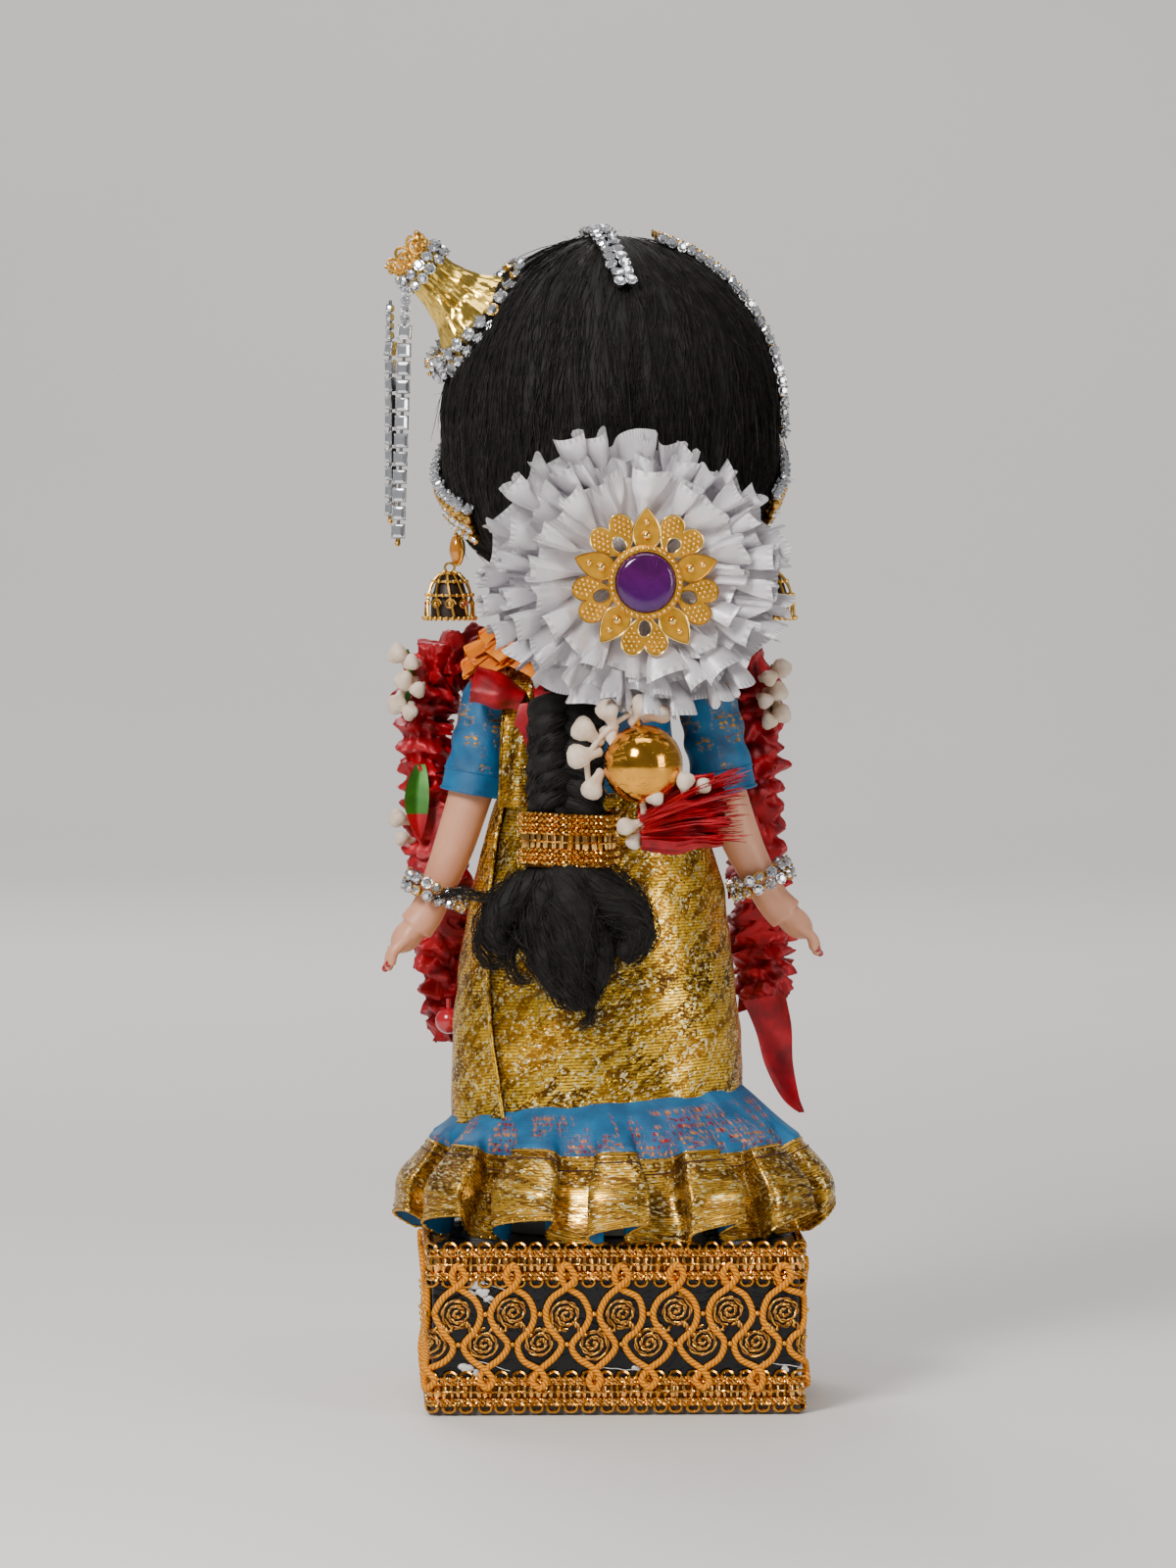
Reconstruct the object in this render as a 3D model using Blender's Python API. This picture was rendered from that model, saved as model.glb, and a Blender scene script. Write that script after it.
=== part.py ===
"""A small dressed doll on a trimmed box plinth, as an assembly of separate pieces.

Units are metres and +Z is up. The origin is the middle of the plinth's underside. The doll faces -Y,
her left side is at +X, and her plait, rosette and pendant hang at +Y.
"""

import math

import bmesh
import bpy
from mathutils import Matrix, Vector

MM = 0.001
GAP = 0.35 * MM

# Plinth
PLINTH_WIDTH = 78 * MM
PLINTH_DEPTH = 68 * MM
PLINTH_TOP = 34.4 * MM
BASE_BOARD_HEIGHT = 2.0 * MM
BRAID_THICKNESS = 1.25 * MM
TRIM_HEIGHT = 7.6 * MM
DOWEL_RADIUS = 3 * MM
DOWEL_BOTTOM = 12 * MM
DOWEL_TOP = 62 * MM

# Body
BODY_X = 2.5 * MM
HEM_LOW = 57 * MM
HEM_HIGH = 62 * MM
WAIST_Z = 123.4 * MM
CLOTH = 1.0 * MM
SHOULDER_Z = 144 * MM
LEFT_SHOULDER_X = 24.2 * MM
RIGHT_SHOULDER_X = -19.2 * MM
AXLE_RADIUS = 1.8 * MM
SLEEVE_RADIUS = 5.4 * MM

# Head
NECK_X = 1.5 * MM
NECK_Z = 160 * MM
NECK_RADIUS = 5.6 * MM
HEAD_CENTRE = Vector((0.2 * MM, -1.5 * MM, 195 * MM))
HEAD_HALF = Vector((29.2 * MM, 29.5 * MM, 33.6 * MM))
HAIR_Z = 202 * MM
HAIR_RADIUS = 35.1 * MM
HAIR_RISE = 38.6 * MM
HAIR_DROP = 34 * MM

# Side bun
BUN_BASE = Vector((26.0 * MM, 0, 222.2 * MM))
BUN_AXIS = Vector((0.745, 0.12, 0.656)).normalized()
BUN_LENGTH = 18.6 * MM
BUN_RIM_RADIUS = 13.0 * MM

# Rosette and its pendant
ROSETTE_CENTRE = Vector((-3.6 * MM, 37.5 * MM, 171.2 * MM))
ROSETTE_DEPTH = 9.5 * MM
FLOWER_CENTRE = Vector((-5.2 * MM, 47.5 * MM, 169.8 * MM))
PENDANT_PIVOT = Vector((-3 * MM, 42 * MM, 143 * MM))
BEAD_RADIUS = 8 * MM

# Plait
PLAIT_X = 10.2 * MM
PLAIT_Y = 28.8 * MM
PLAIT_TOP = 146.5 * MM


def clear_scene():
    for obj in list(bpy.data.objects):
        bpy.data.objects.remove(obj, do_unlink=True)


def material(name, colour, roughness, metallic=0.0):
    made = bpy.data.materials.new(name)
    made.use_nodes = True
    shader = made.node_tree.nodes["Principled BSDF"]
    shader.inputs["Base Color"].default_value = (*colour, 1)
    shader.inputs["Roughness"].default_value = roughness
    shader.inputs["Metallic"].default_value = metallic
    return made


def make_materials():
    return {
        "film": material("black_film", (0.012, 0.012, 0.014), 0.18),
        "board": material("board", (0.28, 0.19, 0.11), 0.7),
        "lurex": material("gold_lurex", (0.62, 0.38, 0.10), 0.4, 0.7),
        "cord": material("amber_cord", (0.85, 0.42, 0.03), 0.55),
        "wood": material("wood", (0.55, 0.38, 0.2), 0.6),
        "foam": material("foam", (0.75, 0.72, 0.62), 0.9),
        "skin": material("skin_plastic", (0.86, 0.52, 0.36), 0.35),
        "brocade": material("gold_brocade", (0.62, 0.43, 0.08), 0.4, 0.6),
        "border": material("gold_border", (0.6, 0.4, 0.08), 0.4, 0.6),
        "silk": material("blue_silk", (0.01, 0.2, 0.42), 0.5),
        "orange": material("orange_ribbon", (0.95, 0.32, 0.02), 0.5),
        "red": material("red_ribbon", (0.6, 0.01, 0.03), 0.5),
        "leaf": material("green_leaf", (0.05, 0.4, 0.06), 0.5),
        "bud": material("cream_bud", (0.93, 0.86, 0.76), 0.6),
        "wool": material("black_wool", (0.01, 0.01, 0.01), 0.95),
        "foil": material("gold_foil", (0.9, 0.62, 0.12), 0.22, 1.0),
        "gold": material("gold_metal", (0.85, 0.52, 0.12), 0.28, 1.0),
        "stones": material("rhinestones", (0.85, 0.86, 0.9), 0.08, 0.5),
        "satin": material("white_satin", (0.86, 0.83, 0.88), 0.35),
        "felt": material("felt", (0.8, 0.78, 0.78), 0.9),
        "purple": material("purple_stone", (0.22, 0.0, 0.3), 0.1),
        "steel": material("steel", (0.55, 0.55, 0.55), 0.35, 1.0),
    }


def pivot(name, place, parent=None):
    """An empty on a joint's axis. It returns the empty with its world place."""
    empty = bpy.data.objects.new(name, None)
    bpy.context.collection.objects.link(empty)
    empty["place"] = tuple(place)
    empty.location = place
    if parent:
        empty.parent = parent
        empty.location = Vector(place) - Vector(parent["place"])
    return empty


def add_object(name, bm, mat, parent=None, place=None, turn=None, smooth=True):
    """Links a bmesh as an object. With a place, the mesh is local to it, and otherwise it is in the world."""
    bmesh.ops.recalc_face_normals(bm, faces=bm.faces)
    anchor = Vector(parent["place"]) if parent else Vector()
    if place is None:
        bmesh.ops.translate(bm, verts=bm.verts, vec=-anchor)
    mesh = bpy.data.meshes.new(name)
    bm.to_mesh(mesh)
    bm.free()
    mesh.materials.append(mat)
    if smooth:
        mesh.shade_smooth()
        mesh.set_sharp_from_angle(angle=math.radians(35))
    obj = bpy.data.objects.new(name, mesh)
    bpy.context.collection.objects.link(obj)
    obj.parent = parent
    if place is not None:
        obj.location = Vector(place) - anchor
    if turn is not None:
        obj.rotation_euler = turn.to_euler()
    return obj


def cut(obj, bm, name):
    """Takes a cutter's volume, given in world coordinates, out of an object."""
    bmesh.ops.recalc_face_normals(bm, faces=bm.faces)
    mesh = bpy.data.meshes.new(name)
    bm.to_mesh(mesh)
    bm.free()
    cutter = bpy.data.objects.new(name, mesh)
    bpy.context.collection.objects.link(cutter)
    cutter.hide_render = True
    cutter.display_type = "WIRE"
    modifier = obj.modifiers.new("cut_" + name, "BOOLEAN")
    modifier.operation = "DIFFERENCE"
    modifier.object = cutter
    modifier.solver = "EXACT"


def skin_rings(bm, rings, close_path=False, caps=True):
    """Joins rings of equal point counts with quads, and caps the two ends unless the path is closed."""
    made = [[bm.verts.new(point) for point in ring] for ring in rings]
    count = len(made[0])
    pairs = list(zip(made, made[1:]))
    if close_path:
        pairs.append((made[-1], made[0]))
    for lower, upper in pairs:
        for i in range(count):
            j = (i + 1) % count
            bm.faces.new((lower[i], lower[j], upper[j], upper[i]))
    if caps and not close_path:
        bm.faces.new(made[0][::-1])
        bm.faces.new(made[-1])
    return bm


def ellipse(centre, half_x, half_y, count):
    """Points of a level ellipse."""
    return [
        Vector((
            centre[0] + half_x * math.cos(math.tau * i / count),
            centre[1] + half_y * math.sin(math.tau * i / count),
            centre[2],
        ))
        for i in range(count)
    ]


def lofted(stations, count=24):
    """A solid through level ellipses. A station is (z, half width, half depth, x, y) in mm."""
    rings = [ellipse((x * MM, y * MM, z * MM), w * MM, d * MM, count) for z, w, d, x, y in stations]
    return skin_rings(bmesh.new(), rings)


def grown(stations, by):
    """The same stations, wider all round by this many millimetres."""
    return [(z, w + by, d + by, x, y) for z, w, d, x, y in stations]


def sleeve_between(inner, outer, count=24):
    """A closed skin with a hole through it, between two lists of stations with the same ends."""
    rings = []
    for z, w, d, x, y in list(outer) + list(reversed(inner)):
        rings.append(ellipse((x * MM, y * MM, z * MM), w * MM, d * MM, count))
    return skin_rings(bmesh.new(), rings, close_path=True)


def tube(points, radii, count=10, flatten=1.0):
    """A solid tube through points, with a radius at each. flatten scales it along its side axis."""
    rings = []
    for i, point in enumerate(points):
        ahead = points[min(i + 1, len(points) - 1)] - points[max(i - 1, 0)]
        along = ahead.normalized()
        side = along.cross(Vector((0, 1, 0))).normalized()
        back = side.cross(along).normalized()
        rings.append([
            point
            + side * radii[i] * math.cos(math.tau * k / count)
            + back * radii[i] * flatten * math.sin(math.tau * k / count)
            for k in range(count)
        ])
    return skin_rings(bmesh.new(), rings)


def turned(profile, count=24):
    """A solid or ring turned about +Z from a closed profile of (radius, height) points."""
    rings = []
    for i in range(count):
        angle = math.tau * i / count
        rings.append([Vector((r * math.cos(angle), r * math.sin(angle), z)) for r, z in profile])
    return skin_rings(bmesh.new(), rings, close_path=True)


def round_bar(radius, length, count=16):
    """A cylinder along +Z that starts at z = 0."""
    bm = bmesh.new()
    bmesh.ops.create_cone(
        bm, cap_ends=True, segments=count, radius1=radius, radius2=radius, depth=length
    )
    bmesh.ops.translate(bm, verts=bm.verts, vec=(0, 0, length / 2))
    return bm


def ball(radius, count=16):
    bm = bmesh.new()
    bmesh.ops.create_uvsphere(bm, u_segments=count, v_segments=count // 2, radius=radius)
    return bm


def block(low, high, bevel=0.0):
    """A box between two corners, with its edges rounded off."""
    bm = bmesh.new()
    bmesh.ops.create_cube(bm, size=1)
    low, high = Vector(low), Vector(high)
    size = high - low
    for vert in bm.verts:
        vert.co = Vector((vert.co[k] * size[k] for k in range(3))) + (low + high) / 2
    if bevel:
        bmesh.ops.bevel(bm, geom=bm.edges, offset=bevel, segments=2, affect="EDGES", profile=0.5)
    return bm


def plate(outline, thickness):
    """A flat plate in the XZ plane that runs from y = 0 to y = thickness."""
    rings = [[Vector((x, y, z)) for x, z in outline] for y in (0, thickness)]
    return skin_rings(bmesh.new(), rings)


def moved(bm, place=(0, 0, 0), turn=None):
    if turn is not None:
        bmesh.ops.transform(bm, matrix=turn.to_4x4(), verts=bm.verts)
    bmesh.ops.translate(bm, verts=bm.verts, vec=Vector(place))
    return bm


def turn_to(direction):
    """The rotation that takes +Z to a direction."""
    return Vector((0, 0, 1)).rotation_difference(Vector(direction)).to_matrix()


def frame_ring(inside_x, inside_y, thickness, low, high):
    """A rectangular band round a box, open above and below."""
    rings = []
    for grow, z in ((0, low), (thickness, low), (thickness, high), (0, high)):
        x, y = inside_x + grow, inside_y + grow
        rings.append([Vector((sx * x, sy * y, z)) for sx, sy in ((1, 1), (-1, 1), (-1, -1), (1, -1))])
    return skin_rings(bmesh.new(), rings, close_path=True)


# The plinth

def make_plinth(mats):
    half_x = PLINTH_WIDTH / 2 - BRAID_THICKNESS - GAP
    half_y = PLINTH_DEPTH / 2 - BRAID_THICKNESS - GAP
    add_object(
        "plinth_base_board", block((-half_x, -half_y, 0), (half_x, half_y, BASE_BOARD_HEIGHT)),
        mats["board"], smooth=False,
    )
    box = add_object(
        "plinth_box",
        block((-half_x, -half_y, BASE_BOARD_HEIGHT + GAP), (half_x, half_y, PLINTH_TOP), 0.6 * MM),
        mats["film"], smooth=False,
    )
    hole = moved(round_bar(DOWEL_RADIUS + GAP, PLINTH_TOP), (BODY_X, 0, DOWEL_BOTTOM - GAP))
    cut(box, hole, "dowel_hole_in_box")
    low_trim = 0.5 * MM
    bands = {
        "plinth_bottom_trim": (low_trim, low_trim + TRIM_HEIGHT, "lurex"),
        "plinth_cord_braid": (low_trim + TRIM_HEIGHT + GAP, PLINTH_TOP - TRIM_HEIGHT - GAP, "cord"),
        "plinth_top_trim": (PLINTH_TOP - TRIM_HEIGHT, PLINTH_TOP, "lurex"),
    }
    for name, (low, high, slot) in bands.items():
        ring = frame_ring(half_x + GAP, half_y + GAP, BRAID_THICKNESS, low, high)
        add_object(name, ring, mats[slot], smooth=False)
    dowel = moved(round_bar(DOWEL_RADIUS, DOWEL_TOP - DOWEL_BOTTOM), (BODY_X, 0, DOWEL_BOTTOM))
    add_object("support_dowel", dowel, mats["wood"])


# The body and its clothes. Stations are (z, half width, half depth, x, y) in mm.

CORE_STATIONS = [
    (34.8, 22, 17.5, 2.5, 0), (50, 25.5, 19, 2.5, 0), (64, 27.6, 20.6, 2.5, 0), (78, 27.4, 20.0, 2.5, 0),
    (90, 26.0, 19.0, 2.5, 0), (104, 24.0, 17.3, 2.5, 0), (114, 21.0, 15.0, 2.5, 0), (119, 18.0, 12.8, 2.5, 0),
]
TORSO_STATIONS = [
    (119.4, 15.5, 11.2, 2.5, 0), (128, 13.2, 10.4, 2.5, 0), (138, 13.0, 10.4, 2.6, 0),
    (145, 12.6, 9.2, 2.6, 0), (149, 9.6, 7.6, 2.2, 0), (152, 6.4, 6.2, 1.8, 0),
    (156, 5.6, 5.6, 1.5, 0), (168, 5.4, 5.4, 1.5, 0),
]
WRAP_STATIONS = [
    (HEM_LOW / MM, 29.3, 22.2, 2.2, 0), (78, 28.8, 21.4, 2.5, 0), (90, 27.4, 20.4, 2.5, 0),
    (104, 25.4, 18.7, 2.5, 0), (114, 22.4, 16.4, 2.5, 0), (WAIST_Z / MM, 20.0, 14.0, 2.5, 0),
]


def hem_lift(x):
    """How far the wrap's slanted hem rises above its lowest point at this x."""
    slope = (HEM_HIGH - HEM_LOW) / (60 * MM)
    return slope * (31 * MM - x)


def make_core(mats):
    core = add_object("body_core", lofted(CORE_STATIONS), mats["foam"])
    hole = moved(round_bar(DOWEL_RADIUS + GAP, DOWEL_TOP), (BODY_X, 0, DOWEL_TOP + GAP - DOWEL_TOP))
    cut(core, hole, "dowel_hole_in_core")
    torso = add_object("doll_torso", lofted(TORSO_STATIONS, 20), mats["skin"])
    span = LEFT_SHOULDER_X - RIGHT_SHOULDER_X
    bore = moved(
        round_bar(AXLE_RADIUS + GAP, span), (RIGHT_SHOULDER_X, 0, SHOULDER_Z), turn_to((1, 0, 0))
    )
    cut(torso, bore, "axle_hole_in_torso")
    axle = moved(round_bar(AXLE_RADIUS, span), (RIGHT_SHOULDER_X, 0, SHOULDER_Z), turn_to((1, 0, 0)))
    add_object("shoulder_axle", axle, mats["steel"])


def make_wrap(mats):
    outer = lofted_points(WRAP_STATIONS)
    inner = lofted_points(grown(WRAP_STATIONS, -CLOTH / MM))
    for ring in (outer[0], inner[0]):
        for point in ring:
            point.z += hem_lift(point.x)
    bm = skin_rings(bmesh.new(), outer + inner[::-1], close_path=True)
    add_object("gold_wrap", bm, mats["brocade"])


def lofted_points(stations, count=28):
    return [ellipse((x * MM, y * MM, z * MM), w * MM, d * MM, count) for z, w, d, x, y in stations]


def make_underskirt(mats):
    """The blue silk between the wrap's hem and the gold border, flared."""
    outer = [(51.6, 38.5, 33.0, 0, 0), (54.5, 34.0, 28.0, 1.2, 0), (56.4, 31.0, 24.2, 2.2, 0)]
    inner = [(51.6, 26.6, 20.1, 2.5, 0), (54.5, 27.4, 20.8, 2.5, 0), (56.4, 28.1, 21.3, 2.5, 0)]
    outer, inner = lofted_points(outer), lofted_points(inner)
    for ring in (outer[-1], inner[-1]):
        for point in ring:
            point.z += hem_lift(point.x)
    bm = skin_rings(bmesh.new(), outer + inner[::-1], close_path=True)
    add_object("blue_underskirt", bm, mats["silk"])


def make_border(mats):
    """The pleated gold border: an outer wall in box pleats round a smooth inner wall."""
    pleats = 15
    count = pleats * 4
    outer = []
    for z, w, d, ripple in ((34.9, 42.4, 37.0, 1.9), (43, 43.0, 37.5, 1.6), (51.2, 38.5, 33.0, 0.7)):
        ring = ellipse((-1.2 * MM, 0, z * MM), w * MM, d * MM, count)
        for i, point in enumerate(ring):
            push = ripple * MM * (1 if i % 4 in (1, 2) else -1)
            point += Vector((point.x, point.y, 0)).normalized() * push
        outer.append(ring)
    inner = []
    for z, w, d in ((34.9, 22.5, 18.0), (43, 24.6, 19.0), (51.2, 26.2, 19.8)):
        inner.append(ellipse((BODY_X, 0, z * MM), w * MM, d * MM, count))
    bm = skin_rings(bmesh.new(), outer + inner[::-1], close_path=True)
    add_object("border_flounce", bm, mats["border"])


def make_blouse(mats):
    fitted = [s for s in TORSO_STATIONS if 124 < s[0] < 150]
    lowest = (124.2, 14.4, 10.8, 2.5, 0)
    inner = grown([lowest] + fitted, GAP / MM)
    outer = grown(inner, CLOTH / MM)
    blouse = add_object("blouse", sleeve_between(inner, outer, 20), mats["silk"])
    span = LEFT_SHOULDER_X - RIGHT_SHOULDER_X
    bore = moved(
        round_bar(AXLE_RADIUS + GAP, span), (RIGHT_SHOULDER_X, 0, SHOULDER_Z), turn_to((1, 0, 0))
    )
    cut(blouse, bore, "axle_hole_in_blouse")


def make_pallu(mats):
    """The gold end of the sari, a strip down the left of the back."""
    low, high = 124.2 * MM, 142 * MM
    across = [(x * MM, (12.0 - 0.012 * (x - 10) ** 2) * MM) for x in (9.5, 13, 16.5, 20, 23.4)]
    section = across + [(x, y + CLOTH) for x, y in reversed(across)]
    rings = [[Vector((x, y, z)) for x, y in section] for z in (low, (low + high) / 2, high)]
    add_object("pallu_strip", skin_rings(bmesh.new(), rings), mats["brocade"])


# Garlands. Paths are hand-set points (x, y, z) in mm.

LEFT_GARLAND = [(37.6, -15.5, 149), (38.2, -16.2, 137), (36.8, -17.2, 120), (35, -18.6, 102),
                (34, -19, 86), (33.6, -18.5, 73)]
RIGHT_GARLAND = [(-29, -15.5, 149), (-30, -16.2, 137), (-31.2, -17.4, 118), (-32.4, -18.8, 100),
                 (-32.6, -19, 88), (-32, -18.5, 80)]


def in_metres(points):
    return [Vector(point) * MM for point in points]


def make_garlands(mats):
    ring = []
    section = 10
    around = 28
    for i in range(around):
        angle = math.tau * i / around
        reach_x, reach_y = 22.5, (14.2 if math.sin(angle) > 0 else 15.5)
        centre = Vector((4 + reach_x * math.cos(angle), reach_y * math.sin(angle), 155))
        outward = Vector((math.cos(angle), math.sin(angle), 0)).normalized()
        width = 10.4 if abs(math.cos(angle)) > 0.7 else 6.4
        ring.append([
            (centre + outward * width * math.cos(math.tau * k / section)
             + Vector((0, 0, 4.1 * math.sin(math.tau * k / section)))) * MM
            for k in range(section)
        ])
    add_object("neck_garland", skin_rings(bmesh.new(), ring, close_path=True), mats["orange"])
    radii = [5.2, 5.6, 5.3, 5.2, 5.4, 3.4]
    for name, path in (("garland_left", LEFT_GARLAND), ("garland_right", RIGHT_GARLAND)):
        add_object(name, tube(in_metres(path), [r * MM for r in radii]), mats["red"])
    bead_place = Vector((33.4, -9.4, 77)) * MM
    add_object("garland_bead", ball(2.8 * MM, 12), mats["red"], place=bead_place)
    tail = [(-30.4, 78.6), (-36.4, 79.6), (-38.8, 68), (-40.4, 57.5), (-38.2, 58.4), (-33.4, 66)]
    tail_bm = moved(plate([(x * MM, z * MM) for x, z in tail], CLOTH), (0, -12.6 * MM, 0))
    add_object("garland_tail", tail_bm, mats["red"])
    leaf = [(38.4, 117.5), (40.6, 121.5), (41.4, 126), (40.0, 130), (37.6, 126), (37.0, 121.5)]
    leaf_bm = moved(plate([(x * MM, z * MM) for x, z in leaf], CLOTH), (0, -10.8 * MM, 0))
    add_object("garland_leaf", leaf_bm, mats["leaf"])
    rolls = {
        "ribbon_roll_outer": ((20.8, 12.9, 146.3), 7.6, 3.6),
        "ribbon_roll_inner": ((6.2, 15.6, 145.6), 8.6, 2.9),
    }
    for name, (start, length, radius) in rolls.items():
        bar = round_bar(radius * MM, length * MM, 14)
        add_object(name, bar, mats["red"], place=Vector(start) * MM, turn=turn_to((1, 0, 0)))
    buds = {
        "shoulder_buds_left": [(43.4, -8.2, 153), (42.2, -7.6, 148), (44.0, -8.6, 143.2)],
        "shoulder_buds_right": [(-35.6, -8.0, 150), (-34.8, -8.6, 145.6), (-35.8, -9.0, 141.4)],
    }
    for name, centres in buds.items():
        sizes = [2.4 * MM, 2.0 * MM, 2.4 * MM]
        middle = in_metres(centres)
        path = [middle[0] + Vector((0, 0, 2 * MM)), middle[0], middle[1], middle[2],
                middle[2] - Vector((0, 0, 2 * MM))]
        add_object(name, tube(path, [1.2 * MM, *sizes, 1.2 * MM], 10), mats["bud"])


# Arms, each hung on the shoulder axle

ARMS = {
    "left": {
        "shoulder": LEFT_SHOULDER_X,
        "path": [(24.2, 149), (24.2, 144), (25.8, 136), (28.6, 126), (32.4, 114), (36.0, 105), (38.0, 100.5),
                 (40.6, 97), (43.6, 94), (46.2, 91)],
        "radii": [2.6, 4.6, 4.5, 4.6, 4.4, 3.6, 4.0, 4.5, 3.8, 1.6],
        "cuff": (28.4, 125.2),
        "bangle": (36.2, 104.8), "bangle_along": (3.4, -8.4),
    },
    "right": {
        "shoulder": RIGHT_SHOULDER_X,
        "path": [(-19.2, 149), (-19.2, 144), (-20.6, 136), (-23.4, 126), (-27.2, 115), (-31.2, 107),
                 (-33.8, 102.6), (-36.8, 99.4), (-40.0, 96.4), (-43.2, 94)],
        "radii": [2.6, 4.6, 4.5, 4.6, 4.4, 3.6, 4.0, 4.5, 3.8, 1.6],
        "cuff": (-23.6, 125.4),
        "bangle": (-31.3, 107.0), "bangle_along": (-3.7, -8.2),
    },
}


def make_arm(side, mats):
    data = ARMS[side]
    place = Vector((data["shoulder"], 0, SHOULDER_Z))
    hinge = pivot(f"{side}_arm_pivot", place)
    path = [Vector((x * MM, 0, z * MM)) for x, z in data["path"]]
    arm_bm = tube(path, [r * MM for r in data["radii"]], 12)
    arm = add_object(f"arm_{side}", arm_bm, mats["skin"], parent=hinge)
    inward = -1 if side == "left" else 1
    depth = 4.4 * MM
    bore = moved(
        round_bar(AXLE_RADIUS + GAP, depth * 2 + GAP),
        (data["shoulder"] - inward * GAP, 0, SHOULDER_Z), turn_to((inward, 0, 0)),
    )
    cut(arm, bore, f"axle_hole_in_{side}_arm")
    start, end = Vector((data["shoulder"], 0, 147.2 * MM)), Vector((data["cuff"][0], 0, data["cuff"][1])) * MM
    end = Vector((data["cuff"][0] * MM, 0, data["cuff"][1] * MM))
    along = end - start
    make_sleeve(side, start, along, hinge, mats)
    centre = Vector((data["bangle"][0] * MM, 0, data["bangle"][1] * MM))
    direction = Vector((data["bangle_along"][0], 0, data["bangle_along"][1])).normalized()
    bangle_pivot = pivot(f"{side}_bangle_pivot", centre, hinge)
    profile = [(5.1 * MM, -2.1 * MM), (7.0 * MM, -2.1 * MM), (7.0 * MM, 2.1 * MM), (5.1 * MM, 2.1 * MM)]
    add_object(
        f"bangle_{side}", turned(profile, 20), mats["stones"], parent=bangle_pivot, place=centre,
        turn=turn_to(direction),
    )


def make_sleeve(side, start, along, hinge, mats):
    """A short sleeve round the upper arm with an axle hole, and its plain cuff."""
    length = along.length
    wide = SLEEVE_RADIUS + CLOTH
    cuff_length = 4.6 * MM
    stop = length - cuff_length
    body = [(SLEEVE_RADIUS, 0), (wide, 0), (wide + 0.3 * MM, stop), (SLEEVE_RADIUS + 0.2 * MM, stop)]
    turn = turn_to(along)
    sleeve = add_object(f"sleeve_{side}", moved(turned(body, 18), start, turn), mats["silk"], parent=hinge)
    depth = 3 * wide
    inward = -1 if side == "left" else 1
    bore = moved(
        round_bar(AXLE_RADIUS + GAP, depth), (ARMS[side]["shoulder"], 0, SHOULDER_Z), turn_to((inward, 0, 0))
    )
    cut(sleeve, bore, f"axle_hole_in_{side}_sleeve")
    band = [
        (SLEEVE_RADIUS + 0.1 * MM, stop + GAP), (wide + 0.4 * MM, stop + GAP),
        (wide + 0.5 * MM, length), (SLEEVE_RADIUS + 0.2 * MM, length),
    ]
    add_object(f"cuff_{side}", moved(turned(band, 18), start, turn), mats["silk"], parent=hinge)


# Head

def hair_share(z):
    """The hair's half width at a height, as a share of its widest."""
    if z >= HAIR_Z:
        t = (z - HAIR_Z) / HAIR_RISE
        return math.sqrt(max(0.0, 1 - t * t))
    t = (HAIR_Z - z) / HAIR_DROP
    return max(0.0, 1 - t ** 3) ** (1 / 3)


def hair_solid():
    """The rounded outer shape of the hair."""
    levels = [HAIR_Z - HAIR_DROP * s for s in (0.985, 0.93, 0.8, 0.55, 0.25)]
    levels += [HAIR_Z + HAIR_RISE * math.sin(math.radians(a)) for a in (0, 20, 40, 58, 72, 84)]
    rings = []
    for z in levels:
        reach = HAIR_RADIUS * hair_share(z)
        rings.append(ellipse((0, 0, z), reach, reach, 28))
    return skin_rings(bmesh.new(), rings)


def head_solid(grow):
    bm = ball(1.0, 24)
    for vert in bm.verts:
        x, y, z = vert.co
        narrow = 1 - 0.10 * max(0.0, -z)
        vert.co = HEAD_CENTRE + Vector((
            x * (HEAD_HALF.x * narrow + grow), y * (HEAD_HALF.y * narrow + grow), z * (HEAD_HALF.z + grow),
        ))
    return bm


def make_head(mats, neck):
    head = add_object("doll_head", head_solid(0), mats["skin"], parent=neck)
    socket = moved(round_bar(NECK_RADIUS + 0.5 * MM, 30 * MM), (NECK_X, 0, 140 * MM))
    cut(head, socket, "neck_socket")
    hair = add_object("hair_cap", hair_solid(), mats["wool"], parent=neck)
    cut(hair, head_solid(GAP), "head_in_hair")
    face = moved(
        block((-24 * MM, -60 * MM, 150 * MM), (24 * MM, -9 * MM, 221 * MM), 9 * MM), (HEAD_CENTRE.x, 0, 0)
    )
    cut(hair, face, "face_opening")
    seat = moved(
        round_bar(BUN_RIM_RADIUS + 3.0 * MM, 30 * MM, 20), BUN_BASE - BUN_AXIS * 1.6 * MM, turn_to(BUN_AXIS)
    )
    cut(hair, seat, "bun_seat")
    tie = tube(in_metres([(8, 29, 167.6), (9.4, 29, 158), (10.2, 28.8, 147)]), [4.2 * MM, 5 * MM, 5 * MM])
    add_object("hair_tie", tie, mats["wool"], parent=neck)


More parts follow.
